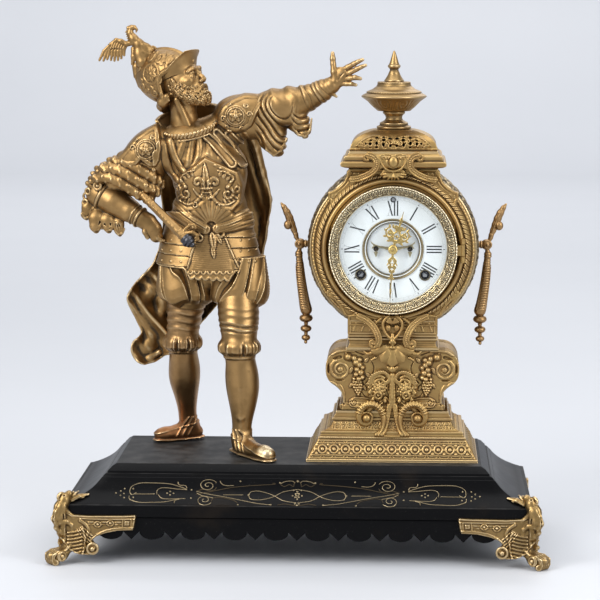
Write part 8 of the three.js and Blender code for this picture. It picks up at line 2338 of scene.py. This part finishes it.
# ---------------------------------------------------------------- side handles
def build_handles():
    lo, hi = (CX - 116.2, -8, 205.6), (CX - 80.6, 8, 351.2)
    C = Clay(lo, hi, 0.42)
    X = lambda dx: CX - dx
    C.limb([(X(113.4), 0, 349.4, 1.1), (X(110.8), 0, 345.8, 2.5), (X(107.8), 0, 340.6, 3.5), (X(105.2), 0, 334.8, 3.8), (X(103.0), 0, 328.6, 3.6), (X(100.6), 0, 322.6, 3.0), (X(98.8), 0, 317.4, 2.3)], k=1.0, flat=((0, 1, 0), 0.8))
    C.ball((X(106.6), -1.8, 327.8), (4.2, 3.8, 4.8), None, 0.4)
    C.limb([(X(108.6), -2.4, 343.8, 0.7), (X(105.4), -3.0, 336.6, 0.9), (X(102.8), -3.0, 329.8, 0.8), (X(100.6), -2.6, 323.6, 0.7)], k=0.3)
    C.limb([(X(98.8), 0, 318.2, 2.6), (X(98.4), 0, 315.6, 2.4), (X(97.0), 0, 312.6, 2.0)], k=0.5)
    C.ball((X(94.0), 0, 308.5), (5.2, 5.4, 5.4), None, 0.5)
    C.torus((X(95.2), -3.4, 308.5), (0, 1, 0), 3.6, 1.1, 0.3)
    C.ball((X(95.2), -5.0, 308.5), 1.6, None, 0.3)
    C.limb([(X(91), 0, 308.5, 2.9), (X(86.4), 0, 308.5, 3.1), (X(82.6), 0, 308.5, 4.6)], k=0.8)
    C.torus((X(88.8), 0, 308.5), (1, 0, 0), 3.2, 1.0, 0.4)
    C.ball((X(95.6), 0, 298.6), (3.9, 3.9, 3.4), None, 0.6)
    C.torus((X(95.6), 0, 296.2), (0.05, 0, 1), 3.0, 1.0, 0.4)
    C.limb([(X(95.0), 0, 303.4, 2.3), (X(95.6), 0, 300, 2.6)], k=0.6)
    # hanging fluted drop
    pts = spline([(95.2, 294.6), (94.6, 284), (93.4, 272), (91.6, 259), (89.6, 247), (88.2, 241.0)], 6)
    r = np.interp(np.arange(len(pts)), [0, 4, len(pts) - 5, len(pts) - 1], [3.3, 3.8, 5.9, 6.0])
    C.limb([(X(p[0]), 0, p[1], rr) for p, rr in zip(pts, r)], k=0.2, flat=((0, 1, 0), 0.86))

    def ribs(Xg, Y, Z):
        c = X(np.interp(np.asarray(Z).ravel(), pts[::-1, 1], pts[::-1, 0])).reshape(np.shape(Z))
        x = Xg - c
        m = sm(Z, 241.6, 243) * sm(-Z, -294, -291)
        front = 0.75 * (0.5 + 0.5 * np.cos(Z * TAU / 2.5)) * sm(3.4 - np.abs(x + 0.6), 0, 0.6) - 0.35 * sm(3.6 - np.abs(x + 0.6), 0, 0.6)
        side = 0.6 * bell(np.abs(x) - 4.4, 0.6)
        return (front + side * 0.6) * m
    C.lift(ribs, (lo[0], lo[1], 238), (hi[0], hi[1], 297))
    for z, rr, h in ((239.8, 5.0, 0.9), (236.8, 2.4, 1.6), (232.2, 6.9, 0.62), (227.2, 2.2, 1.2), (221.6, 5.7, 0.66), (216.9, 2.0, 1.2), (212.2, 4.5, 0.74)):
        dx = np.interp(z, [205, 241], [88.6, 88.2])
        C.ball((X(dx), 0, z), (rr, rr, rr * h), None, 0.5)
    C.torus((X(88.3), 0, 234.6), (0, 0, 1), 5.0, 0.7, 0.3)
    C.ball((X(88.7), 0, 207.6), (1.7, 1.7, 1.9), None, 0.5)
    o = C.mesh("Side_handle_left", M_CASE2, rep=["side_handle_left"], slot="gilt_case", cav=5, share=0.01)
    me = o.data.copy()
    n = len(me.vertices)
    co = np.empty(n * 3, f4)
    me.vertices.foreach_get("co", co)
    co = co.reshape(-1, 3)
    co[:, 0] = 2 * CX * 0.001 - co[:, 0]
    me.vertices.foreach_set("co", co.ravel())
    me.flip_normals()
    p = bpy.data.objects.new("Side_handle_right", me)
    bpy.context.scene.collection.objects.link(p)
    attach(p, "root")
    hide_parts("side_handle_right")


M_CASE2 = cast_metal("Handle_gilt", (0.34, 0.205, 0.090), (0.27, 0.160, 0.068), (0.030, 0.017, 0.008), (0.60, 0.42, 0.22), rough=0.42, hollow_grime_shade_at=(0.01, 0.22), patch=0.3)
M_URN = cast_metal("Urn_gilt", (0.36, 0.235, 0.100), (0.28, 0.180, 0.075), (0.030, 0.018, 0.008), (0.60, 0.44, 0.24), rough=0.40, hollow_grime_shade_at=(0.0, 0.16), shine_at=(-0.05, -0.28), patch=0.3)
build_plinth()
build_pedestal()
build_ped_mount()
build_neck()
build_lower_cartouche()
build_drum()
build_cornice()
build_dome()
build_urn()
build_handles()


# ================================================================== bezel, glass, dial, hands
def metal_copy(name, *a, **k):
    return cast_metal(name, *a, **k)


M_SIGHT = cast_metal("Sight_ring", (0.50, 0.375, 0.20), (0.38, 0.275, 0.145), (0.030, 0.020, 0.010), (0.90, 0.78, 0.55), rough=0.30,
                     hollow_grime_shade_at=(0.0, 0.13), shine_at=(-0.02, -0.16), shine_amt=0.9, patch=0.25, grain=0.2)
M_RING = cast_metal("Dial_ring_brass", (0.26, 0.205, 0.115), (0.20, 0.155, 0.085), (0.04, 0.028, 0.015), (0.55, 0.45, 0.28), rough=0.50, patch=0.15, grain=0.08)
M_GREY = ink_mat("Dial_grey", (0.20, 0.20, 0.205), (0.34, 0.34, 0.34))


def build_bezel():
    na = int(1600 / FINE)
    prof = [(53.5, -39.35), (53.55, -40.0), (54.0, -40.5), (54.6, -40.3), (54.9, -40.0), (55.3, -40.3), (56.6, -41.2), (58.2, -42.6), (59.6, -44.2), (60.6, -46.0), (61.0, -47.0), (61.4, -47.3), (62.45, -47.3), (62.45, -50.3), (62.6, -51.0),
            (63.0, -51.5), (63.5, -51.4), (63.85, -50.8), (63.9, -48.4), (63.7, -47.6), (63.9, -46.8), (63.9, -44.0), (63.6, -43.3), (63.1, -42.9), (63.0, -39.35)]
    P = []
    for a, b in zip(prof, prof[1:] + prof[:1]):
        n = max(1, int(math.hypot(b[0] - a[0], b[1] - a[1]) / (0.26 * FINE)))
        P += [(a[0] + (b[0] - a[0]) * i / n, a[1] + (b[1] - a[1]) * i / n) for i in range(n)]

    def r_of(R, H, A):
        n = 40
        u = (((A * n / TAU) % 1.0) - 0.5)
        x = u * TAU * 58 / n
        t = (R - 55.3) / 5.4
        on = (R > 55.0) & (R < 61.1) & (H < -39.8) & (H > -47.35)
        # arch of the egg, its rod, and darts between on the outer half
        yy = (t - 0.42) * 5.8
        r = np.hypot(x / 0.85, np.minimum(yy - 0.4, 0) * 0.9)
        r = np.where(yy > 0.4, np.abs(x) / 0.85, r)
        h = 0.62 * bell(r - 2.2, 0.62) * (t < 0.92)
        h = np.maximum(h, 0.95 * bell(np.abs(x), 0.95) * sm(t, 0.30, 0.42) * sm(-t, -0.98, -0.86))
        xo = 4.14 - np.abs(x)
        h = np.maximum(h, 0.85 * bell(xo, 0.8) * sm(t, 0.50, 0.62) * sm(-t, -0.99, -0.9))
        h = np.maximum(h, 0.45 * bell(np.hypot(xo, (t - 0.2) * 5.8), 0.9))
        k = np.where(on, h, 0)
        u3 = (((A * 120 / TAU) % 1.0) - 0.5)
        bd = 0.0
        bd2 = 0.55 * bell(u3, 0.40) * (H < -50.6) * (R > 62.2)
        k = np.maximum(k, np.where((R > 59.6) & (R < 61.6) & (H < -43.5) & (H > -47.4), 0.7 * bell(u3, 0.36), 0))
        return R - 0.95 * k + bd, H - 0.95 * k - bd2 * 0.6
    V, F = revolve(P, na, (CX, 0, CZ), "y", r_of)
    obj("Bezel", V, F, M_SIGHT, body="bezel_door", rep=["bezel"], slot="brass", cav=5)
    # the hinge ear on the bezel
    b = Bag()
    hx = CX + 69.5
    b.put(*tube([(hx, -47, CZ + z) for z in (-5.9, -5.5, -2, 2, 5.5, 5.9)], [1.7, 2.0, 2.0, 2.0, 2.0, 1.7], 20))
    V, F = prism([(CX + 63.2, CZ - 5.0), (CX + 68.2, CZ - 5.4), (CX + 68.2, CZ + 5.4), (CX + 63.2, CZ + 5.0)], -48.5, -46.4, 0.4)
    b.put(V, F)
    b.make("Bezel_hinge_ear", M_CASE, body="bezel_door", slot="brass", cav=0, sharp=35)
    # bevelled glass
    prof = [(0, -51.45), (56.6, -51.45), (60.4, -50.5), (62.1, -49.9), (62.2, -49.6), (62.2, -47.7), (62.0, -47.55), (0, -47.55)]
    V, F = revolve(prof, int(200 / FINE), (CX, 0, CZ), "y")
    obj("Glass", V, F, M_GLASS, body="bezel_door", rep=["bezel_glass"], slot="dial_glass", cav=0, sharp=12)


def local_strokes():
    I = [("I", 2.95)]
    G = {"I": (2.95, [((0, 0), (0, 1), 1.34)]),
         "V": (5.3, [((-2.0, 1), (0.15, 0), 1.34), ((2.1, 1), (0.35, 0), 0.20)]),
         "X": (5.7, [((-2.1, 1), (2.1, 0), 1.34), ((2.0, 1), (-2.1, 0), 0.20)])}
    return G


def build_dial():
    # porcelain chapter ring with real holes
    C = Clay((CX - 58.2, -39.2, CZ - 58.2), (CX + 58.2, -35.9, CZ + 58.2), 0.36)

    def ring(X, Y, Z):
        r = np.hypot(X - CX, Z - CZ)
        top = -38.0 + 0.10 * ((r - 44) / 14) ** 2 + 0.35 * sm(r, 56, 57.6)
        d = np.maximum(top - Y, Y + 36.6)
        d = np.maximum(d, r - 57.4)
        d = np.maximum(d, 27.2 - r)
        for x, z, q in ((-32, -25.8, 4.6), (32, -25.8, 4.6), (0, 49.5, 2.0)):
            d = np.maximum(d, q - np.hypot(X - CX - x, Z - CZ - z))
        return d
    C.put(ring, (CX - 59, -40, CZ - 59), (CX + 59, -35, CZ + 59), 0)
    C.mesh("Dial_porcelain", M_PORC, rep=["dial_ring"], slot="porcelain", cav=0, sharp=40)
    # centre, slightly dished
    prof = [(0, -34.25), (12, -34.22), (24.5, -34.1), (25.6, -33.9), (26.2, -33.3), (0, -33.2)]
    V, F = revolve([(p, q) for p, q in prof], int(180 / FINE), (CX, 0, CZ), "y")
    obj("Dial_centre", V, F, M_PORC, rep=["dial_centre"], slot="porcelain", cav=0, sharp=40)
    # ribbed brass ring stepping down to the centre
    prof = [(30.6, -38.4), (30.5, -38.9), (30.0, -39.15), (29.5, -38.9), (29.25, -38.4), (29.0, -38.55), (28.75, -38.3), (28.5, -38.0), (28.25, -38.1), (28.0, -37.8), (27.75, -37.4), (27.5, -37.5), (27.25, -37.1), (27.0, -36.7),
            (26.75, -36.75), (26.5, -36.3), (26.35, -35.6), (26.45, -34.7), (26.9, -34.5), (28.0, -35.4), (29.6, -37.6), (30.4, -38.1)]
    V, F = revolve(prof, int(360 / FINE), (CX, 0, CZ), "y")
    obj("Dial_centre_ring", V, F, M_RING, rep=["dial_centre_ring"], slot="brass", cav=2)
    # numerals
    G = local_strokes()
    names = ["XII", "I", "II", "III", "IIII", "V", "VI", "VII", "VIII", "IX", "X", "XI"]
    b = Bag()
    y0, y1 = -38.09, -37.90

    def quad(p, q, w, er, et, bag, y0=y0):
        a, c = np.array(p, float), np.array(q, float)
        d = unit(c - a)
        n = np.array([-d[1], d[0]]) * w / 2
        pts = [a + n, a - n, c - n, c + n]
        V = []
        for yy in (y0, y1):
            for u, v in pts:
                x, z = CX + et[0] * u + er[0] * v, CZ + et[1] * u + er[1] * v
                V.append((x, yy, z))
        F = np.array([[0, 1, 2, 3], [7, 6, 5, 4], [0, 4, 5, 1], [1, 5, 6, 2], [2, 6, 7, 3], [3, 7, 4, 0]])
        bag.put(V, [F])
    r0, r1 = 33.6, 48.4
    for i, nm in enumerate(names):
        th = math.radians(30 * i)
        er, et = (math.sin(th), math.cos(th)), (math.cos(th), -math.sin(th))
        W = sum(G[c][0] for c in nm)
        W -= 0.5 if len(nm) > 3 else 0
        u = -W / 2
        k = W / sum(G[c][0] for c in nm)
        top = r1 - (1.6 if i == 0 else 0) * 0
        for c in nm:
            w, st = G[c]
            w *= k
            cc = u + w / 2
            for (a, va), (d, vd), t in st:
                quad((cc + a * k, r0 + (top - r0) * va), (cc + d * k, r0 + (top - r0) * vd), t, er, et, b)
            ends = {"I": [(0, 0), (0, 1)], "V": [(-2.0, 1), (2.1, 1)], "X": [(-2.1, 1), (2.0, 1), (2.1, 0), (-2.1, 0)]}[c]
            for a, v in ends:
                rr = r0 + (top - r0) * v
                quad((cc + a * k - 1.15, rr), (cc + a * k + 1.15, rr), 0.14, er, et, b)
            u += w
    for k in range(60):
        th = TAU * k / 60
        er, et = (math.sin(th), math.cos(th)), (math.cos(th), -math.sin(th))
        if k % 5 == 0:
            if k:
                quad((0, 50.35), (0, 51.35), 0.85, er, et, b)
                quad((0, 50.0), (0, 51.8), 0.3, er, et, b)
    b.make("Numerals", M_INK, slot="enamel_black", cav=0, smooth=False)
    g = Bag()
    for k in range(60):
        th = TAU * k / 60
        er, et = (math.sin(th), math.cos(th)), (math.cos(th), -math.sin(th))
        if k % 5:
            quad((0, 50.75), (0, 51.25), 0.5, er, et, g)
        for f in (0.25, 0.5, 0.75):
            th2 = TAU * (k + f) / 60
            e2, t2 = (math.sin(th2), math.cos(th2)), (math.cos(th2), -math.sin(th2))
            quad((0, 50.9), (0, 51.1), 0.2, e2, t2, g)
    for r in (49.9, 52.2):
        for k in range(180):
            t0, t1 = TAU * k / 180, TAU * (k + 1) / 180
            a, c = (r * math.sin(t0), r * math.cos(t0)), (r * math.sin(t1), r * math.cos(t1))
            quad(a, c, 0.13, (0, 1), (1, 0), g, -38.03)
    g.make("Minute_track", M_GREY, slot="enamel_black", cav=0, smooth=False)
    # winding grommets with dark sleeves inside the holes (painted shade standing in for the holes' depth), regulator
    # eyelet
    for sx, nm in ((-1, "left"), (1, "right")):
        x, z = CX + 32 * sx, CZ - 25.8
        prof = [(4.4, -36.9), (4.4, -38.7), (4.7, -39.2), (5.1, -39.35), (5.5, -39.1), (5.75, -38.5), (5.7, -38.0), (4.8, -37.9)]
        V, F = revolve(prof, 56, (x, 0, z), "y")
        obj("Winding_grommet_" + nm, V, F, M_OLD, slot="brass", cav=0)
        prof = [(4.3, -38.5), (4.35, -31.5), (4.2, -31.5), (2.6, -31.6), (2.6, -31.8), (4.1, -31.9), (4.1, -38.5)]
        V, F = revolve(prof, 48, (x, 0, z), "y")
        obj("Winding_shade_sleeve_" + nm, V, F, M_PAINTED_SHADE, slot="enamel_black", cav=0)
    prof = [(1.5, -37.0), (1.5, -38.3), (1.8, -38.7), (2.3, -38.75), (2.7, -38.4), (2.75, -38.0), (1.9, -37.9)]
    V, F = revolve(prof, 40, (CX, 0, CZ + 49.5), "y")
    obj("Regulator_eyelet", V, F, M_INK, slot="enamel_black", cav=0)


M_OLD = cast_metal("Dull_brass", (0.16, 0.135, 0.085), (0.11, 0.09, 0.055), (0.03, 0.022, 0.012), (0.45, 0.38, 0.25), rough=0.36, patch=0.3, grain=0.1)


def hand_mesh(name, draw, box, yc, ang, rep, body, v=0.15, t=0.46):
    """A pierced hand: strokes drawn upright from the arbor, then turned clockwise by ang degrees."""
    x0, z0, x1, z1 = box
    R = Relief(x0, z0, x1, z1, v * 0.9)
    draw(R)
    C = Clay((x0, -1.0, z0), (x1, 1.0, z1), v, far=1.2)

    def f(X, Y, Z):
        h = R.at(X, Z)
        return (np.abs(Y) - (np.minimum(h * 1.35, 1.15) * t - 0.12)) * 0.75
    C.put(f, (x0, -1, z0), (x1, 1, z1), 0)
    # a round eye at the arbor
    C.put(lambda X, Y, Z: np.maximum(np.abs(np.hypot(X, Z) - 3.1) - 1.1, np.abs(Y) - 0.45), (-5, -1, -5), (5, 1, 5), 0.1)
    S = C.S
    for ax in range(3):
        for e in (0, -1):
            i = [slice(None)] * 3
            i[ax] = e
            S[tuple(i)] = np.maximum(S[tuple(i)], 0.2 * C.v)
    g = vdb.FloatGrid(1.2)
    g.copyFromArray(np.ascontiguousarray(S), tolerance=0.0)
    pts, quad = g.convertToQuads(0.0)
    V = np.asarray(pts, float) * C.v + C.lo
    V, F = keep_big(V, [np.asarray(quad, np.int64)], 0.05)
    a = math.radians(ang)
    x, z = V[:, 0] * math.cos(a) + V[:, 2] * math.sin(a), -V[:, 0] * math.sin(a) + V[:, 2] * math.cos(a)
    V = np.column_stack([x + CX, V[:, 1] + yc, z + CZ])
    return obj(name, V, F, M_HAND, body=body, rep=rep, slot="hand_gilt", cav=3)


def draw_hour(R):
    R.line([(0, 3.2), (0, 9)], (1.5, 1.3), 1.0)
    R.line([(0, 26), (0, 31), (0, 39.2)], (1.1, 0.25), 1.0)
    R.leaf(0, 26, 0, 34, 1.7, 1.1)
    for q in (-1, 1):
        R.line(spline([(0, 7), (q * 3.2, 9.5), (q * 4.2, 13.5), (q * 2.0, 17.6), (0, 20.5), (0, 27)], 8), (1.23, 0.87), 1.0)
        R.line(arc(q * 4.4, 10.6, 2.6, -90 if q > 0 else -90, -90 + q * 420, 30, 0.8), (1.09, 0.80), 1.0)
        R.line(arc(q * 7.4, 15.2, 2.7, 200 if q > 0 else -20, (200 - 430) if q > 0 else (-20 + 430), 30, 0.8), (1.09, 0.72), 1.0)
        R.line(arc(q * 3.0, 21.8, 2.3, 250 if q > 0 else -70, (250 - 430) if q > 0 else (-70 + 430), 26, 0.7), (1.01, 0.72), 1.0)
        R.line(spline([(q * 2, 9.5), (q * 6.4, 9.8), (q * 10.5, 13.0), (q * 11.6, 17.6), (q * 9.2, 20.6)], 6), (1.09, 0.80), 1.0)
        for (a, b, c, d, w) in ((4, 8.4, 8.8, 6.4, 1.2), (9.4, 11.4, 13.4, 10.4, 1.2), (11.2, 16, 14.2, 18.0, 1.1), (8.6, 19.6, 10.4, 24.2, 1.2), (5.2, 20.4, 6.8, 25.0, 1.1), (5.6, 16.6, 8.6, 19.6, 0.9)):
            R.leaf(q * a, b, q * c, d, w, 1.0, 0.3)
        R.dot(q * 4.4, 10.6, 0.9, 1.1)
        R.dot(q * 7.4, 15.2, 0.9, 1.1)
        R.dot(q * 3.0, 21.8, 0.8, 1.1)
    R.dot(0, 13.4, 1.5, 1.1)
    R.line([(-3.4, 13.4), (3.4, 13.4)], 0.5, 0.9)
    R.line([(-2.2, 17.2), (2.2, 17.2)], 0.45, 0.9)


def draw_minute(R):
    R.line([(0, 3.2), (0, 9)], (1.4, 1.1), 1.0)
    R.line([(0, 22), (0, 34), (0, 53.8)], (1.0, 0.22), 1.0)
    R.leaf(0, 24.5, 0, 31.5, 1.9, 1.1)
    R.dot(0, 29.0, 1.5, 1.1)
    R.leaf(0, 38.0, 0, 46.0, 1.15, 1.0, 0.3)
    for q in (-1, 1):
        R.line(spline([(0, 7.5), (q * 2.6, 9.6), (q * 3.4, 12.6), (q * 1.4, 15.6), (q * 2.6, 19), (0, 24.5)], 8), (1.09, 0.72), 1.0)
        R.line(arc(q * 2.2, 11.0, 1.8, 90, 90 - q * 440, 26, 0.5), (0.87, 0.65), 1.0)
        R.line(arc(q * 2.6, 17.4, 1.9, 250 if q > 0 else -70, (250 - 430) if q > 0 else (-70 + 430), 26, 0.5), (0.87, 0.65), 1.0)
        R.line(arc(q * 1.7, 21.6, 1.2, 250 if q > 0 else -70, (250 - 430) if q > 0 else (-70 + 430), 20, 0.4), (0.72, 0.58), 1.0)
        R.leaf(q * 3.6, 13, q * 5.2, 16.4, 0.8, 0.9, 0.3)
        R.leaf(q * 1.2, 28, q * 3.2, 30.4, 0.7, 0.9, 0.3)
    R.line([(-2, 14), (2, 14)], 0.45, 0.9)
    R.dot(0, 17.4, 1.0, 1.0)


def build_hands():
    hand_mesh("Hour_hand", draw_hour, (-15.5, -5, 15.5, 40), -41.1, 15.5, ["hour_hand"], "hour_pipe")
    hand_mesh("Minute_hand", draw_minute, (-6.5, -5, 6.5, 54.4), -43.7, 183.0, ["minute_hand"], "centre_arbor", t=0.44)
    prof = [(0, -46.7), (1.1, -46.6), (1.5, -46.1), (1.7, -45.6), (3.0, -45.4), (4.2, -45.0), (4.7, -44.6), (4.6, -44.35), (0, -44.3)]
    P = []
    for a, b in zip(prof, prof[1:]):
        n = max(1, int(math.hypot(b[0] - a[0], b[1] - a[1]) / 0.3))
        P += [(a[0] + (b[0] - a[0]) * i / n, a[1] + (b[1] - a[1]) * i / n) for i in range(n)]
    P.append(prof[-1])

    def r_of(R, H, A):
        return R + np.where((R > 3.2) & (H < -44.4), 0.12 * np.cos(A * 24), 0), H
    V, F = revolve(P, int(144 / FINE), (CX, 0, CZ), "y", r_of)
    obj("Hand_nut", V, F, M_HAND, body="centre_arbor", rep=["hand_nut"], slot="hand_gilt", cav=3)


def build_bridge():
    C = Clay((CX - 24, -38.0, CZ - 10), (CX + 24, -34.5, CZ + 9), 0.24)
    for q in (-1, 1):
        X = lambda x: CX + q * x
        C.limb([(X(0), -36.6, CZ + 0, 1.9), (X(6), -36.6, CZ + 0.8, 1.4), (X(11), -36.6, CZ + 1.9, 1.05), (X(15.5), -36.6, CZ + 2.6, 1.0), (X(18.8), -36.6, CZ + 4.0, 0.85), (X(21.0), -36.6, CZ + 6.0, 0.55), (X(22.2), -36.6, CZ + 7.8, 0.2)], k=0.5, flat=((0, 1, 0), 0.5))
        C.limb([(X(15.8), -36.6, CZ + 2.6, 0.9), (X(19.4), -36.6, CZ + 2.4, 0.8), (X(20.8), -36.6, CZ + 0.6, 0.5)], k=0.4, flat=((0, 1, 0), 0.5))
        C.ball((X(17.0), -36.7, CZ + 0.3), (2.6, 1.1, 2.6), None, 0.3)
        C.torus((X(17.0), -37.2, CZ + 0.3), (0, 1, 0), 1.5, 0.3, 0.1)
        C.put(lambda Xg, Y, Z, x=X(17.0): np.maximum(np.maximum(np.abs(Xg - x) - (CZ - 1.2 - Z) * 0.0 - 0.38 * (Z - (CZ - 8.8)), Z - (CZ - 2.8)), np.abs(Y + 36.6) - 0.45) * 0.9,
              (X(17) - 4, -38, CZ - 9.6), (X(17) + 4, -35, CZ - 1), 0.3)
        C.limb([(X(17), -36.8, CZ - 2.4, 0.9), (X(17), -36.8, CZ - 7.6, 0.35)], k=0.2)
    C.put(lambda X, Y, Z: np.maximum(np.hypot(X - CX, Z - CZ) - 4.6, np.abs(Y + 36.6) - 0.5), (CX - 6, -38, CZ - 6), (CX + 6, -35, CZ + 6), 0.6)
    C.put(lambda X, Y, Z: np.hypot(X - CX, Z - CZ) - 3.0 + 0 * Y, (CX - 4, -38.4, CZ - 4), (CX + 4, -34, CZ + 4), 0.1, cut=True)
    S = Bag()
    for q in (-1, 1):
        V, F = revolve([(0, -38.4), (1.2, -38.35), (2.3, -37.9), (2.7, -37.2), (2.6, -36.9), (0, -36.9)], 36, (CX + q * 17.0, 0, CZ + 0.3), "y")
        S.put(V, F)
    S.make("Bridge_screws", M_SCREW, slot="brass", cav=0)
    C.mesh("Escapement_bridge", M_OLD2, rep=["escapement_bridge"], slot="brass", cav=4)


M_SCREW = cast_metal("Bridge_screw", (0.075, 0.062, 0.042), (0.05, 0.042, 0.03), (0.012, 0.010, 0.008), (0.35, 0.30, 0.2), rough=0.3, patch=0.2, grain=0.1)
M_OLD2 = cast_metal("Bridge_brass", (0.42, 0.36, 0.22), (0.28, 0.24, 0.15), (0.035, 0.03, 0.02), (0.80, 0.70, 0.48), rough=0.3, hollow_grime_shade_at=(0.0, 0.12), patch=0.35, grain=0.1)


def build_back():
    prof = [(0, 58.8), (52, 58.8), (53.2, 58.6), (60.2, 58.6), (60.9, 58.9), (61.0, 59.6), (60.6, 60.4), (59.4, 60.9), (57.6, 61.1), (56.2, 60.7), (55.4, 60.0), (54.4, 59.9), (53.4, 60.3), (40, 60.8), (20, 61.0), (0, 61.1)]
    P = []
    for a, b in zip(prof, prof[1:]):
        n = max(1, int(math.hypot(b[0] - a[0], b[1] - a[1]) / (1.1 * FINE)))
        P += [(a[0] + (b[0] - a[0]) * i / n, a[1] + (b[1] - a[1]) * i / n) for i in range(n)]
    P.append(prof[-1])

    def r_of(R, H, A):
        z = R * np.sin(A)
        w = (H > 59.9) & (R < 53) & (R > 0.5)
        ring = 0.0
        for r0 in (16.0, 28.0, 40.0):
            u = np.abs(((A * 12 / TAU) % 1.0) - 0.5) * TAU * R / 12
            slot = sm(u, 2.2 + 0 * R, 3.0 + 0 * R)
            ring = ring - 0.75 * bell(R - r0, 2.6) * slot
        bead = 0.35 * bell(((A * 110 / TAU) % 1.0) - 0.5, 0.4) * bell(R - 58.4, 1.2) * (H > 60)
        return R, H + np.where(w, ring, 0) + bead
    V, F = revolve(P, int(420 / FINE), (CX, 0, CZ), "y", r_of)
    b = Bag()
    b.put(V, F)
    kx = CX - 50
    V, F = revolve([(0, 60.4), (2.2, 60.4), (1.6, 61.6), (1.5, 62.4), (2.6, 63.2), (3.4, 64.4), (3.3, 65.8), (2.2, 66.7), (0, 67.0)], 40, (kx, 0, CZ), "y")
    b.put(V, F)
    return b


def dress_cad():
    N = frame["nodes"]
    put = {"figure_nut_front": M_OLD, "figure_nut_rear": M_OLD, "back_door_hinge": M_CASE, "bezel_hinge_pin": M_CASE,
           "plate_front": M_BRASS, "plate_back": M_BRASS, "time_winding_arbor": M_STEEL, "strike_winding_arbor": M_STEEL,
           "time_great_wheel": M_BRASS, "strike_great_wheel": M_BRASS, "second_wheel": M_BRASS, "centre_wheel": M_BRASS, "third_wheel": M_BRASS,
           "escape_wheel": M_BRASS, "pallet_anchor": M_STEEL, "minute_wheel": M_BRASS, "hour_wheel": M_BRASS, "regulator_arbor": M_STEEL,
           "pendulum_rod": M_STEEL, "pendulum_bob": M_BRASS, "gong": M_IRON, "hammer": M_OLD, "back_door": M_CASE}
    for k, m in put.items():
        o = N[k]
        for i in range(max(1, len(o.data.materials))):
            if len(o.data.materials):
                o.data.materials[i] = m
            else:
                o.data.materials.append(m)
        for s in o.material_slots:
            s.material = m


build_bezel()
build_dial()
build_hands()
build_bridge()
build_back().make("Back_door", M_CASE, body="rear_door", rep=["back_door"], slot="gilt_case", cav=4)
dress_cad()


# ================================================================== stage, light, camera
def build_stage():
    m, nt, p = new_mat("Studio_grey")
    co = coord(nt)
    n = noise(nt, 3, 3, 0.5, co)
    nt.links.new(mixc(nt, n, (0.50, 0.512, 0.54), (0.525, 0.535, 0.56)), p.inputs["Base Color"])
    p.inputs["Roughness"].default_value = 0.55
    prof = [(-7000, 0)]
    prof += [(4600, 0)] + [(4600 + 900 * math.sin(a), 900 - 900 * math.cos(a)) for a in np.linspace(0.05, PI / 2, 16)] + [(5500, 5200)]
    P = np.array(prof, float)
    n0 = len(P)
    V = np.concatenate([np.stack([np.full(n0, x), P[:, 0], P[:, 1] - 0.0], 1) for x in (-7000.0, 7000.0)])
    F = grid_faces(2, n0)
    o = obj("Studio_sweep", V, [F], m, body=None, cav=0, flip=False)
    return o


def area(name, loc, target, size, size_y, power, color=(1, 1, 1), spread=180):
    l = bpy.data.lights.new(name, "AREA")
    l.shape = "RECTANGLE"
    l.size, l.size_y = size, size_y
    l.energy = power
    l.color = color
    l.spread = math.radians(spread)
    o = bpy.data.objects.new(name, l)
    bpy.context.scene.collection.objects.link(o)
    o.location = loc
    o.rotation_mode = "QUATERNION"
    o.rotation_quaternion = (Vector(target) - Vector(loc)).to_track_quat("-Z", "Y")
    return o


build_stage()
area("Key_left", (-1.35, -1.25, 1.35), (0, 0, 0.28), 1.0, 1.3, 39, (1.0, 0.99, 0.97))
area("Key_right", (1.45, -1.05, 1.10), (0, 0, 0.28), 0.8, 1.2, 23, (0.97, 0.985, 1.0))
area("Top", (0, -0.1, 2.1), (0, 0.0, 0.2), 1.8, 1.2, 21)
area("Back_wash", (0, 3.2, 3.2), (0, 4.6, 0.4), 5.0, 1.5, 125)
area("Rear_fill", (0.9, 1.7, 1.5), (0, 0, 0.3), 1.4, 1.0, 7)
w = bpy.data.worlds.new("Studio_world")
w.use_nodes = True
bpy.context.scene.world = w
bg = w.node_tree.nodes["Background"]
bg.inputs[0].default_value = (0.80, 0.83, 0.88, 1)
bg.inputs[1].default_value = 0.68

cam = bpy.data.cameras.new("Camera")
co_ = bpy.data.objects.new("Camera", cam)
bpy.context.scene.collection.objects.link(co_)
bpy.context.scene.camera = co_
AZ, DIST, ZC, PITCH = math.radians(2.6), 2.370, 0.572, math.radians(7.72)
co_.location = (DIST * math.sin(AZ), -DIST * math.cos(AZ), ZC)
look = Vector((-math.sin(AZ) * math.cos(PITCH), math.cos(AZ) * math.cos(PITCH), -math.sin(PITCH)))
co_.rotation_mode = "QUATERNION"
co_.rotation_quaternion = look.to_track_quat("-Z", "Y")
cam.sensor_width = 36
cam.lens = 36 * 2350 / 600
cam.shift_x = -1.5 / 600
cam.clip_start, cam.clip_end = 0.1, 20
bpy.context.scene.view_settings.view_transform = "Standard"
bpy.context.scene.view_settings.look = "None"
